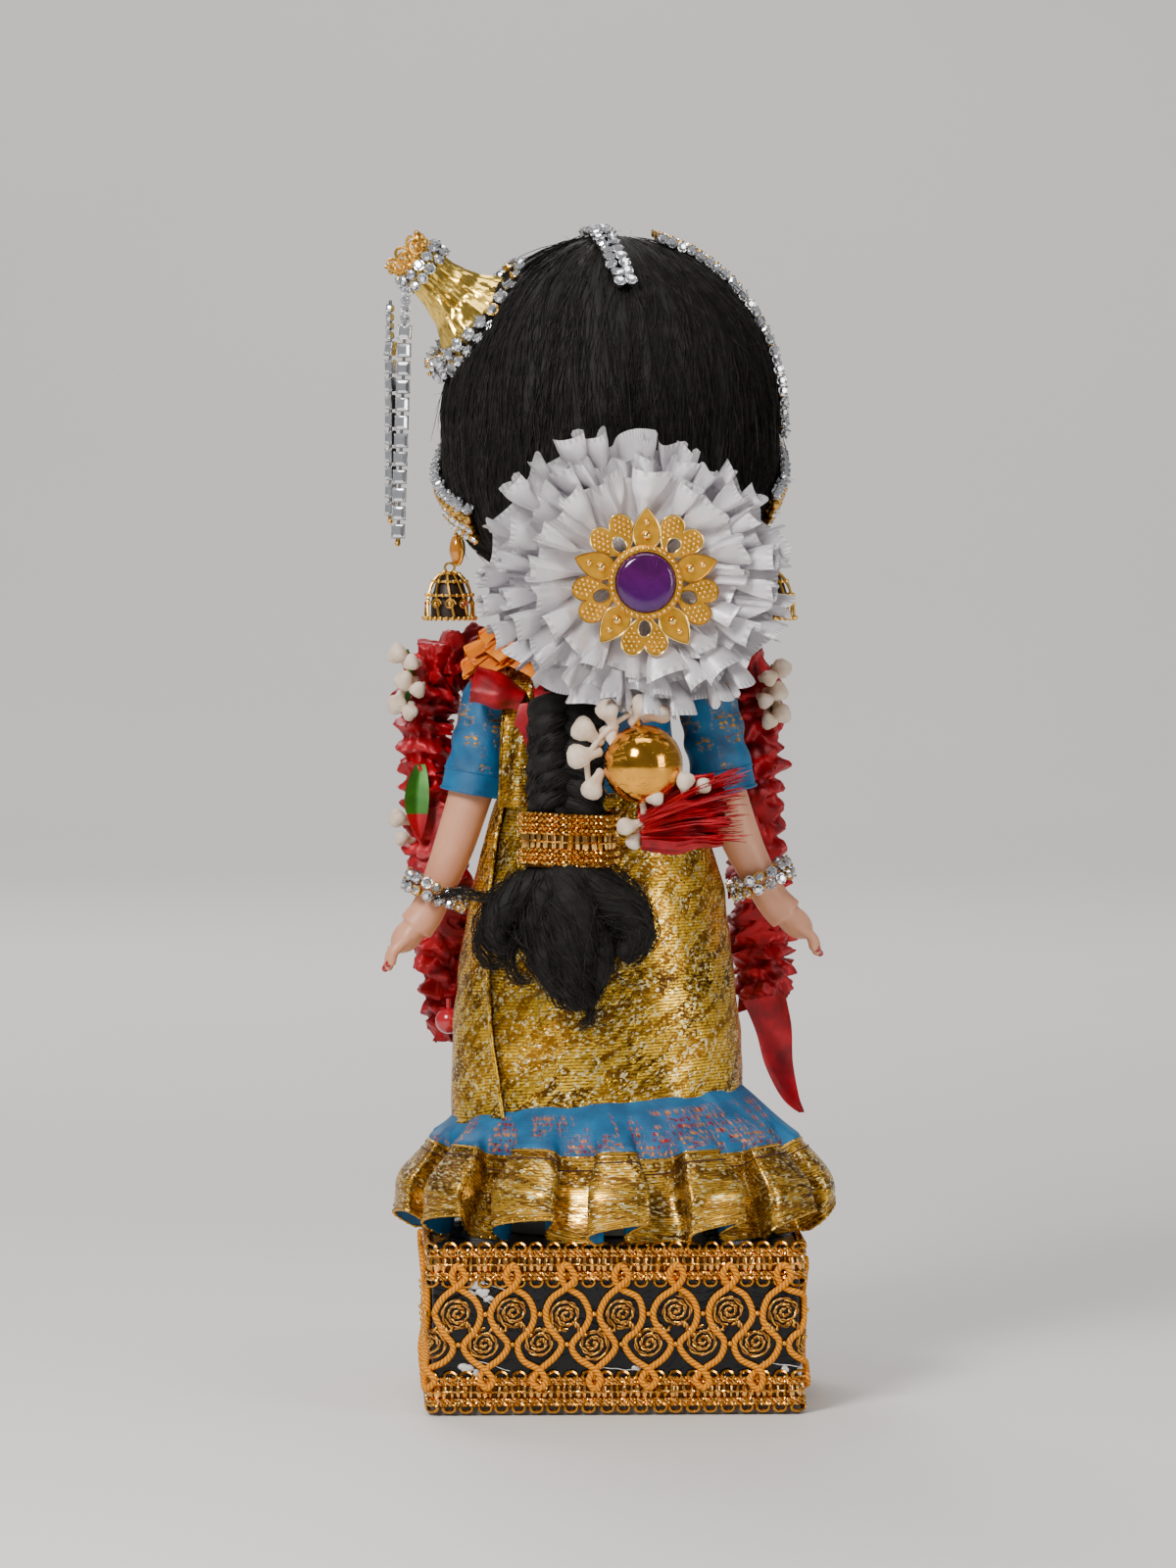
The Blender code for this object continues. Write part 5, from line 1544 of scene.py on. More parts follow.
def make_skirt():
    shape = Shape()
    across, along, tall = 620, 48, 36.0
    shape.sheet(lambda u, v: skirt_place(u, v), across, along, size=(430, tall))
    split = 0.36
    for k in range(len(shape.faces)):
        row = k // across
        shape.slots[k] = 1 if (row + 0.5) / along > split else 0
    skirt = shape.piece(
        "pleated_skirt", [BLUE_SKIRT, BORDER], "plinth_and_body", "blue_silk",
            ["blue_underskirt", "border_flounce"],
        outward=False, angle=60,
    )
    area = sum(p.area for p in skirt.data.polygons)
    print("skirt area", area)
    lining = Shape()

    def reverse(u, v):
        """Just behind the skirt's face, measured square to the cloth."""
        v = 0.34 + 0.655 * v
        here = skirt_place(u, v)
        across = skirt_place(u + 0.0008, v) - skirt_place(u - 0.0008, v)
        down = skirt_place(u, min(1, v + 0.01)) - skirt_place(u, v - 0.01)
        inward = across.cross(down).normalized()
        return here + inward * 0.28 * MM

    lining.sheet(reverse, 560, 30, size=(430, 28))
    inner = lining.piece("skirt_reverse", [BLUE_PLAIN], "plinth_and_body", "blue_silk",
        outward=False, angle=60)
    print("lining area", sum(p.area for p in inner.data.polygons))
    edge = Shape()
    line = [skirt_place(i / 900, 0.999, -0.05) + Vector((0, 0, 0.0002)) for i in range(900)]
    edge.tube(line, 0.32 * MM, 6, closed=True)
    for i in range(0, 900, 3):
        edge.ball(line[i], 0.46 * MM, 4, 6)
    for share, size in ((0.365, 0.24), (0.435, 0.16), (0.94, 0.2)):
        rim = [skirt_place(i / 900, share, -0.12) for i in range(900)]
        edge.tube(rim, size * MM, 5, closed=True, slot=0 if share != 0.435 else 1)
    dark = Paint("border_dark_thread", (0.05, 0.012, 0.008), 0.7)
    edge.piece("border_edging", [metal("zari_cord", (0.62, 0.36, 0.06), 0.34), dark],
        "plinth_and_body", "gold_border", angle=50)


def make_blouse():
    """The back and front of the blouse, with the neckline under the garland."""
    stations = [(0, 17.2, 12.0, 2.5), (4, 16.8, 11.9, 2.5), (14, 15.6, 11.9, 2.6),
        (21, 14.7, 10.8, 2.6),
                (25, 12.4, 9.2, 2.2), (28.5, 8.4, 7.4, 1.8)]
    shape = Shape()

    def at(u, v):
        angle = TAU * u - math.pi / 2
        height = 28.5 * v
        half_x, half_y, x = stations_at(stations, height)
        soft = 0.45 * round_wave(angle, height, 81, 1.8) + 0.3 * math.sin(angle * 2
            + height * 0.35) * (1 - v)
        if math.sin(angle) < 0:
            bust = 2.6 * math.exp(-((height - 15) / 6.5) ** 2) * (
                abs(math.cos(angle)) ** 0.7) * smooth_step(0.05, 0.75, -math.sin(angle))
            soft += bust
        return mm(x + (half_x + soft) * math.cos(angle), (half_y + soft) * math.sin(angle),
            123.4 + height)

    shape.sheet(at, 120, 40, size=(86, 28.5))
    blouse = shape.piece("blouse_silk", [BLUE_SPRIG], "plinth_and_body", "blue_silk", ["blouse"],
        outward=False, angle=70)


ARM_SIDES = {
    "left": {"sign": 1, "start": (24.2, 148.2), "end": (28.4, 125.2)},
    "right": {"sign": -1, "start": (-19.2, 148.2), "end": (-23.6, 125.4)},
}


def make_sleeve(side):
    data = ARM_SIDES[side]
    start = Vector((data["start"][0], 0, data["start"][1]))
    end = Vector((data["end"][0], 0, data["end"][1]))
    along = (end - start).normalized()
    across = Vector((0, 1, 0))
    other = along.cross(across)
    length = (end - start).length
    seed = 90 + data["sign"]

    def at(u, v):
        angle = TAU * u
        radius = lerp(5.9, 6.7, v) - 1.2 * smooth_step(0.16, 0.0, v)
        fold = 0.5 * round_wave(angle, v * 40, seed, 1.7) + 0.35 * math.sin(v * 22
            + 2 * math.sin(angle)) * (1 - abs(2 * v - 1))
        r = radius + fold * smooth_step(0, 0.2, v) * (1 - 0.6 * smooth_step(0.78, 0.86, v))
        place = start + along * (v * length) + (across * math.cos(angle)
            + other * math.sin(angle)) * r
        return place * MM

    shape = Shape()
    rows = 44
    shape.sheet(at, 72, rows, size=(40, length))
    for k in range(len(shape.faces)):
        shape.slots[k] = 1 if (k // 72 + 0.5) / rows > 0.81 else 0
    sleeve = shape.piece(
        f"sleeve_silk_{side}", [BLUE_SPRIG, BLUE_PLAIN], f"{side}_arm", "blue_silk",
            [f"sleeve_{side}", f"cuff_{side}"],
        outward=False, angle=70,
    )
    hem = Shape()
    for share, size in ((0.815, 0.26), (1.0, 0.36)):
        hem.tube([at(i / 72, share) for i in range(72)], size * MM, 6, closed=True)
    hem.piece(f"sleeve_hem_{side}", [BLUE_PLAIN], f"{side}_arm", "blue_silk", angle=60)


def make_pallu():
    """The gold strap down the left of the back, and its run over the shoulder."""
    shape = Shape()
    spine = curve_through([mm(16.4, 14.6, 122.6), mm(16.2, 14.9, 128), mm(16.0, 14.3, 135),
        mm(15.6, 12.9, 142),
                           mm(15.0, 10.2, 148.6), mm(14.2, 5.2, 151.6)], 10)
    last = len(spine) - 1

    def at(u, v):
        i = min(last, int(round(v * last)))
        base = spine[i]
        half = 6.9 - 1.1 * smooth_step(0.6, 1.0, v)
        side = (u - 0.5) * 2
        bend = 1.7 * side * side + 0.35 * math.sin(u * 14 + v * 3) + 0.25 * wander(u * 3, 95, v * 5)
        return base + mm(half * side, -bend, 0.3 * math.sin(3 * side) * (1 - v))

    shape.sheet(at, 40, last, size=(14, 32))
    pallu = shape.piece("pallu_cloth", [PALLU], "plinth_and_body", "gold_brocade", ["pallu_strip"],
        outward=False, angle=60)
    hem = Shape()
    for u in (0, 1):
        hem.tube([at(u, j / last) for j in range(last + 1)], 0.32 * MM, 6)
    hem.piece("pallu_hem", [PALLU], "plinth_and_body", "gold_brocade", angle=60)


# ---------------------------------------------------------------- arms

ARM_PATHS = {
    "left": [(24.2, 149), (24.2, 144), (25.8, 136), (28.6, 126), (32.4, 114), (36.0, 105),
        (38.0, 100.5), (40.4, 97.2)],
    "right": [(-19.2, 149), (-19.2, 144), (-20.6, 136), (-23.4, 126), (-27.2, 115), (-31.2, 107),
        (-33.8, 102.6), (-36.6, 99.6)],
}
ARM_RADII = [2.8, 4.7, 4.6, 4.6, 4.2, 3.5, 3.6, 3.9]
NAIL = Paint("nail_red", (0.35, 0.006, 0.01), 0.25, 0.0, Coat_Weight=0.7)


def make_hand_arm(side):
    """The arm, a slightly curled hand and painted nails, joined by a voxel remesh."""
    sign = 1 if side == "left" else -1
    path = [mm(x, 0, z) for x, z in ARM_PATHS[side]]
    smooth = curve_through(path, 5)
    radii = []
    for i in range(len(smooth)):
        t = i / 5
        k = min(int(t), len(ARM_RADII) - 2)
        radii.append(lerp(ARM_RADII[k], ARM_RADII[k + 1], t - k) * MM)
    body = Shape()
    body.tube(smooth, radii, 24)
    wrist = path[-1]
    reach = (path[-1] - path[-2]).normalized()
    # The palm faces the body; the fingers point down and outwards.
    down = (reach + Vector((sign * 0.25, 0, -0.10))).normalized()
    across = Vector((0, 1, 0))
    palm = wrist + down * 2.2 * MM
    body.ball(palm, 1 * MM, 12, 18, stretch=(3.0, 4.1, 4.4),
        turn=UP.rotation_difference(down).to_matrix())
    nails = Shape()
    for k in range(4):
        spread = (k - 1.5) / 1.5
        base = palm + across * spread * 3.0 * MM + down * 2.0 * MM
        long = (5.2, 6.0, 5.9, 4.6)[k]
        curl = Vector((-sign * 0.30, 0, -0.75)).normalized()
        mid = base + (down * 0.9 + across * spread * 0.12).normalized() * long * 0.55 * MM
        tip = mid + (down * 0.55 + curl * 0.55).normalized() * long * 0.45 * MM
        body.tube(curve_through([base - down * 2 * MM, base, mid, tip], 5),
            [1.35 * MM * (1 - 0.25 * i / 15) for i in range(16)], 12)
        body.ball(tip, 1.0 * MM, 8, 10)
        out = Vector((sign * 0.8, 0, -0.35)).normalized()
        nails.ball(tip + out * 0.55 * MM, 1 * MM, 8, 12, stretch=(0.75, 0.5, 1.05),
            turn=UP.rotation_difference(down).to_matrix())
    thumb = palm - across * 3.2 * MM + down * 0.2 * MM
    body.tube(
        curve_through([thumb + across * 2 * MM, thumb, thumb + (down * 2.4 - across * 1.3) * MM,
        thumb + (down * 4.4 - across * 1.1) * MM], 5),
              [1.5 * MM * (1 - 0.25 * i / 15) for i in range(16)], 12)
    body.ball(thumb + (down * 4.4 - across * 1.1) * MM, 1.12 * MM, 8, 10)
    nails.ball(thumb + (down * 4.5 - across * 1.7) * MM + mm(sign * 0.4, 0, 0), 1 * MM, 8, 12,
        stretch=(0.7, 0.55, 1.0))
    arm = body.piece(f"arm_skin_{side}", [SKIN], f"{side}_arm", "skin_plastic",
        [f"arm_{side}"], angle=80)
    remesh = arm.modifiers.new("join", "REMESH")
    remesh.mode = "VOXEL"
    remesh.voxel_size = 0.34 * MM
    soften = arm.modifiers.new("soften", "SMOOTH")
    soften.factor = 0.5
    soften.iterations = 5
    graph = bpy.context.evaluated_depsgraph_get()
    joined = bpy.data.meshes.new_from_object(arm.evaluated_get(graph))
    arm.modifiers.clear()
    arm.data = joined
    if not joined.materials:
        joined.materials.append(SKIN.material)
    joined.shade_smooth()
    nails.piece(f"nails_{side}", [NAIL], f"{side}_arm", "red_ribbon", angle=60)


def make_bangle(side, centre, along):
    gems = Gems()
    axis = Vector((along[0], 0, along[1])).normalized()
    turn = UP.rotation_difference(axis).to_matrix()
    centre = Vector((centre[0], 0, centre[1]))
    for row, height in enumerate((-1.05, 1.05)):
        for i in range(16):
            angle = TAU * (i + 0.5 * row) / 16
            out = turn @ Vector((math.cos(angle), math.sin(angle), 0.12 * (1 if row else -1)))
            place = centre + turn @ Vector((5.75 * math.cos(angle), 5.75 * math.sin(angle), height))
            gems.round(place * MM, out, 2.15, gold=(i * 7 + row) % 4 == 0)
        ring = [(centre
            + turn @ Vector((5.7 * math.cos(TAU * i / 48), 5.7 * math.sin(TAU * i / 48),
            height))) * MM for i in range(48)]
        gems.shape.tube(ring, 0.5 * MM, 8, closed=True, slot=2)
    gems.piece(f"bangle_stones_{side}", f"{side}_bangle", "rhinestones", [f"bangle_{side}"])


make_wrap()
make_skirt()
make_blouse()
make_pallu()
for side in ("left", "right"):
    make_hand_arm(side)
    make_sleeve(side)
make_bangle("left", (36.2, 104.8), (3.4, -8.4))
make_bangle("right", (-31.3, 107.0), (-3.7, -8.2))


# ---------------------------------------------------------------- plinth with its trims

def dress(node, paint):
    """Gives a CAD node that stays in view a better material."""
    for slot in bpy.data.objects[node].material_slots:
        slot.material = paint.material


BOX_X, BOX_Y, CORNER = 37.4, 32.4, 1.6
REPEATS = 25


def wall(share, out):
    """A place (x, y) and the outward direction.

    share is how far round the box it is, out is its distance in mm from the side.
    """
    r = CORNER
    straight_x, straight_y, bend = 2 * (BOX_X - r), 2 * (BOX_Y - r), math.pi / 2 * r
    total = 2 * (straight_x + straight_y) + 4 * bend
    run = (share % 1.0) * total
    x, y, heading = BOX_X - r, BOX_Y, math.pi
    for straight in (straight_x, straight_y, straight_x, straight_y):
        if run <= straight:
            normal = heading - math.pi / 2
            px, py = x + math.cos(heading) * run, y + math.sin(heading) * run
            return px + out * math.cos(normal), py + out * math.sin(normal), normal
        x, y = x + math.cos(heading) * straight, y + math.sin(heading) * straight
        run -= straight
        inner = heading + math.pi / 2
        cx, cy = x + r * math.cos(inner), y + r * math.sin(inner)
        if run <= bend:
            normal = heading - math.pi / 2 + run / r
            return cx + (r + out) * math.cos(normal), cy + (r + out) * math.sin(normal), normal
        run -= bend
        heading += math.pi / 2
        normal = heading - math.pi / 2
        x, y = cx + r * math.cos(normal), cy + r * math.sin(normal)
    return BOX_X - r, BOX_Y + out, math.pi / 2


PITCH = (4 * (BOX_X + BOX_Y) - 8 * CORNER + math.tau * CORNER) / REPEATS


def on_wall(x, z, out):
    """A place on the plinth's side: x mm along it, z mm up and out mm from its film."""
    px, py, _ = wall(x / (PITCH * REPEATS) + 0.013, out)
    return mm(px, py, z)


def make_cords():
    """One amber cord in crossing loops, and gold thread spirals inside its bulbs."""
    rng = random.Random(21)
    amber = Shape()
    marks = [(-4.6, 20.7, 0.0), (-3.2, 24.0, 0.0), (0.0, 26.4, 0.5), (1.45, 28.6, 0.3),
        (0.0, 30.7, 0.3), (-1.45, 28.6, 0.2),
             (0.0, 26.2, -0.1), (3.2, 24.0, 0.0), (4.6, 20.7, 0.0), (3.4, 17.6, 0.0),
                 (1.0, 14.6, 0.1), (2.3, 11.7, 0.0),
             (5.58, 9.4, 0.5), (7.0, 7.3, 0.3), (5.58, 5.4, 0.3), (4.16, 7.3, 0.2),
                 (5.58, 9.2, -0.1),
             (8.9, 11.7, 0.0), (10.2, 14.6, 0.1), (7.8, 17.6, 0.0)]
    path = []
    for k in range(REPEATS):
        for x, z, out in marks:
            dx, dz = rng.gauss(0, 0.14), rng.gauss(0, 0.16)
            over = 0.45 if z > 26.8 or z < 8.4 else 0.0
            path.append(Vector((PITCH * k + x * PITCH / 11.17 + dx, z + dz, 0.95 + out + over)))
    path.append(path[0] + Vector((PITCH * REPEATS, 0, 0)))
    line = [on_wall(p.x, p.y, p.z) for p in curve_through(path, 5)]
    line.pop()
    amber.tube(line, 0.66 * MM, 9, closed=True)
    cord = Paint("amber_cord", (0.85, 0.30, 0.0), 0.65, 0.0, Specular_IOR_Level=0.3)
    flat = cord.flat()
    twist = cord.bands(cord.scaled(flat, (1, 1, 1), 34), 0.42, "X")
    # Painted shade: the cord is painted darker in the grooves between its twists.
    cord.colour(cord.mix(cord.ramp(twist, [(0.1, 0.0), (0.6, 1.0)]), (0.45, 0.12, 0.0),
        (0.90, 0.335, 0.0)))
    cord.bump(twist, 0.00012, 0.9)
    amber.piece("amber_cord_lattice", [cord], "plinth_and_body", "amber_cord",
        ["plinth_cord_braid"], angle=80)

    gold = Shape()

    def twisted(points, radius):
        """A two-ply metallic thread: two fine cords wound round the line, the second in a painted
        shade copy of the gold.
        """
        for ply in range(2):
            strand = []
            for i, p in enumerate(points):
                a = i * 0.95 + math.pi * ply
                strand.append(on_wall(p.x + 0.5 * radius * math.cos(a), p.y
                    + 0.5 * radius * math.cos(a), p.z + 0.55 * radius * math.sin(a)))
            gold.tube(strand, radius * 0.62 * MM, 5, slot=ply)

    for k in range(REPEATS):
        for x, z, way in ((0.0, 20.9, 1), (PITCH / 2, 14.5, -1)):
            cx, cz = PITCH * k + x + rng.gauss(0, 0.15), z + rng.gauss(0, 0.2)
            turns, steps, start = 2.6, 74, rng.uniform(0, TAU)
            spiral = []
            for i in range(steps):
                t = i / (steps - 1)
                a = start + way * TAU * turns * t
                r = 0.35 + 3.0 * t
                spiral.append(Vector((cx + r * math.cos(a), cz + r * math.sin(a) * 0.95, 0.55)))
            twisted(spiral, 0.44)
        for x0, z0, x1, z1 in ((0.6, 18.4, PITCH / 2 - 1.2, 16.9),
                (PITCH / 2 + 1.0, 17.2, PITCH - 1.0, 18.2)):
            link = []
            for i in range(26):
                t = i / 25
                link.append(
                    Vector((PITCH * k + lerp(x0, x1, t), lerp(z0, z1, t)
                    + 0.9 * math.sin(TAU * t), 0.95)))
            twisted(link, 0.55)
        gold.ball(on_wall(PITCH * (k + 0.5), 20.8, 1.6), 0.55 * MM, 6, 8)
        gold.ball(on_wall(PITCH * k, 14.6, 1.6), 0.55 * MM, 6, 8)
    bright = metal("gold_thread", (0.85, 0.45, 0.07), 0.26)
    # Painted shade: a darker copy of the gold thread for the second ply of every thread.
    gold_thread_painted_shade = metal("gold_thread_shade", (0.42, 0.20, 0.06), 0.36)
    gold.piece("gold_thread_spirals", [bright, gold_thread_painted_shade], "plinth_and_body", "gold_lurex", angle=80)


LUREX = metal("lurex_gold", (0.66, 0.29, 0.035), 0.24)
LUREX_PINK = metal("lurex_bar", (0.95, 0.53, 0.15), 0.14)
LUREX_DARK = metal("lurex_dark", (0.16, 0.06, 0.014), 0.40)


def braid_trim(place, length, low, high, name, body, slot, replaces, loops=True):
    """Metallic gimp braid.

    place(x, z, out) puts flat coordinates in mm on its backing, length is its run.
    """
    rng = random.Random(int(length) + 7)
    tall = high - low
    shape = Shape()
    count = int(length / 1.35)
    for i in range(count):
        x = length * i / count + rng.gauss(0, 0.1)
        lean = rng.gauss(0, 0.25)
        z0, z1 = low + tall * 0.25, low + tall * 0.75
        wide = rng.uniform(0.36, 0.56)
        rows = []
        for t, out in ((0.0, 0.5), (0.25, 0.95), (0.75, 0.95), (1.0, 0.5)):
            z = lerp(z0, z1, t)
            shift = lean * (t - 0.5)
            rows.append([place(x + shift - wide, z, out - 0.25),
                place(x + shift - wide * 0.5, z, out + 0.1),
                         place(x + shift + wide * 0.5, z, out + 0.1 + rng.gauss(0, 0.05)),
                             place(x + shift + wide, z, out - 0.25)])
        points = [p for row in rows for p in row]
        faces = [(4 * r + k, 4 * r + k + 1, 4 * r + k + 5, 4 * r + k + 4) for r in range(3)
            for k in range(3)]
        shape.add(points, faces, None, 1 if rng.random() < 0.72 else 0)
    steps = int(length / 0.28)
    for row, out, size in ((0.12, 0.85, 0.42), (0.24, 1.1, 0.34), (0.78, 1.1, 0.34),
            (0.90, 0.85, 0.42), (0.5, 1.2, 0.2)):
        for ply in range(2):
            strand = []
            for i in range(steps + 1):
                x = length * i / steps
                a = x * 3.6 + math.pi * ply
                strand.append(place(x, low + tall * row + size * 0.7 * math.cos(a), out
                    + size * 0.6 * math.sin(a)))
            shape.tube(strand, size * 0.72 * MM, 5, slot=0 if ply else 1)
    if loops:
        number = int(length / 3.5)
        for edge, way in ((low + 0.3, -1), (high - 0.3, 1)):
            for i in range(number):
                x = length * (i + 0.5) / number + rng.gauss(0, 0.15)
                ring = []
                for k in range(14):
                    a = TAU * k / 14
                    ring.append(place(x + 1.25 * math.cos(a), edge + way * 0.25
                        + 0.95 * math.sin(a), 0.95 + 0.3 * math.cos(2 * a)))
                shape.tube(ring, 0.34 * MM, 6, closed=True, slot=0)
    backing = int(length / 1.5)
    points = []
    for i in range(backing + 1):
        x = length * i / backing
        points += [place(x, low + 0.5, 0.30), place(x, high - 0.5, 0.30)]
    faces = [(2 * i, 2 * i + 2, 2 * i + 3, 2 * i + 1) for i in range(backing)]
    shape.add(points, faces, None, 2)
    return shape.piece(name, [LUREX, LUREX_PINK, LUREX_DARK], body, slot, replaces,
        outward=False, angle=50)


def make_plinth():
    whole = PITCH * REPEATS
    for name, low, high in (("bottom", 1.55, 8.0), ("top", 27.2, 34.3)):
        braid_trim(on_wall, whole, low, high, f"plinth_{name}_gimp", "plinth_and_body",
                   "gold_lurex", [f"plinth_{name}_trim"])
    film = Paint("black_film", (0.003, 0.003, 0.004), 0.22, 0.0, Specular_IOR_Level=0.35)
    film.bump(film.noise(film.place(), 120, 4, 0.6, 0.8), 0.0007, 0.7)
    film.bump(film.cells(film.place(), 60), 0.0005, 0.4)
    dress("plinth_box", film)
    board = Paint("grey_board", (0.10, 0.085, 0.07), 0.85)
    board.colour(board.ramp(board.noise(board.place(), 300, 4),
        [(0.3, (0.07, 0.06, 0.05)), (0.7, (0.14, 0.12, 0.10))]))
    board.bump(board.noise(board.place(), 900, 3), 0.0002, 0.6)
    dress("plinth_base_board", board)
    glue = Shape()
    rng = random.Random(31)
    drops = [(3.6, 27.0, 1.5), (5.2, 25.4, 1.0), (2.4, 24.6, 0.8), (6.6, 23.8, 0.6),
        (1.4, 10.2, 1.2), (4.0, 8.8, 0.7), (70.5, 8.6, 1.1), (66.4, 9.2, 0.6), (36.5, 9.4, 0.6)]
    for x, z, size in drops:
        for _ in range(3):
            px, pz = x + rng.gauss(0, 0.6) * size, z + rng.gauss(0, 0.45) * size
            normal = wall(px / whole + 0.013, 0)[2]
            out = Vector((math.cos(normal), math.sin(normal), 0))
            turn = UP.rotation_difference(out).to_matrix()
            glue.ball(on_wall(px, pz, 0.25), size * MM, 8, 12,
                stretch=(1.0, rng.uniform(0.6, 0.9), 0.42), turn=turn)
    for x0, z0, x1, z1 in ((2.0, 26, 9.0, 21.5), (5.0, 27, 13.5, 24.6), (1.5, 12.0, 10.5, 9.0),
            (28.0, 9.6, 38.0, 9.0), (62, 11.0, 73, 8.8)):
        string = []
        for i in range(20):
            t = i / 19
            string.append(on_wall(lerp(x0, x1, t), lerp(z0, z1, t) + 0.5 * wander(t * 4, x0), 0.35
                + 0.5 * math.sin(math.pi * t)))
        glue.tube(string, 0.09 * MM, 5)
    clear = Paint("hot_glue", (0.72, 0.72, 0.70), 0.22, 0.0, Subsurface_Weight=0.5, Coat_Weight=0.5)
    clear.set("Subsurface Radius", (0.003, 0.003, 0.003))
    glue.piece("glue_drops", [clear], "plinth_and_body", "amber_cord", angle=80)


make_plinth()
make_cords()


# ---------------------------------------------------------------- garlands of ribbon

def plain_satin(name, colour, shade, rough=0.34, metallic=0.25):
    paint = Paint(name, colour, rough, metallic)
    paint.set("IOR", 1.55)
    flat = paint.flat()
    ribs = paint.bands(paint.scaled(flat, (1, 1, 1), 35), 1.2, "Y")
    cloud = paint.noise(paint.place(), 240, 4)
    body = paint.mix(paint.ramp(cloud, [(0.32, 0.0), (0.66, 1.0)]), shade, colour)
    body = paint.mix(paint.math("MULTIPLY", ribs, 0.15), body,
        tuple(min(1, c * 1.3 + 0.02) for c in colour))
    paint.colour(body)
    paint.bump(ribs, 0.00005, 0.7)
    paint.bump(cloud, 0.0003, 0.4)
    return paint


RED = plain_satin("red_satin", (0.55, 0.0, 0.012), (0.16, 0.0, 0.004))
ORANGE = plain_satin("orange_satin", (1.0, 0.30, 0.004), (0.62, 0.085, 0.001))
GREEN = plain_satin("green_satin", (0.05, 0.24, 0.015), (0.015, 0.10, 0.006))
BUD = Paint("cream_bud", (0.80, 0.66, 0.52), 0.55, 0.0, Subsurface_Weight=0.35)
BUD.set("Subsurface Radius", (0.003, 0.002, 0.001))
BUD.colour(BUD.ramp(BUD.noise(BUD.place(), 420, 4),
    [(0.3, (0.66, 0.50, 0.36)), (0.7, (0.84, 0.72, 0.60))]))
BUD.bump(BUD.noise(BUD.place(), 1100, 3), 0.0002, 0.7)


def bud(shape, centre, along, size, slot=0, seed=0.0):
    """A moulded jasmine bud: a swollen knob on a waisted neck, a little dented."""
    along = along.normalized()
    turn = UP.rotation_difference(along).to_matrix()
    sides = 14
    profile = [(0.30, -1.9), (0.48, -1.7), (0.50, -1.1), (0.62, -0.6), (0.95, -0.1), (1.08, 0.4),
        (0.98, 0.85), (0.66, 1.15), (0.25, 1.28), (0.0, 1.3)]
    points, faces = [], []
    for r, h in profile[:-1]:
        for k in range(sides):
            a = TAU * k / sides
            dent = 1 + 0.13 * math.cos(3 * a + seed) + 0.08 * wander(math.cos(a) * 2, seed,
                math.sin(a) * 2 + h)
            points.append(centre
                + turn @ (Vector((r * dent * math.cos(a), r * dent * math.sin(a), h)) * size * MM))
    points.append(centre + turn @ (Vector((0, 0, profile[-1][1])) * size * MM))
    rows = len(profile) - 1
    for j in range(rows - 1):
        for k in range(sides):
            n = (k + 1) % sides
            faces.append((j * sides + k, j * sides + n, (j + 1) * sides + n, (j + 1) * sides + k))
    faces += [((rows - 1) * sides + k, (rows - 1) * sides + (k + 1) % sides, rows * sides)
        for k in range(sides)]
    faces.append(tuple(range(sides))[::-1])
    shape.add(points, faces, None, slot)


def clear_of_arm(place, middle_line):
    """Holds the strand's back flat where a swinging wrist and its bangle pass behind it."""
    near = smooth_step(88, 95, place.z / MM) * (1 - smooth_step(121, 128, place.z / MM))
    limit = middle_line.y + lerp(9.0, 3.7, near) * MM
    return Vector((place.x, min(place.y, limit), place.z))


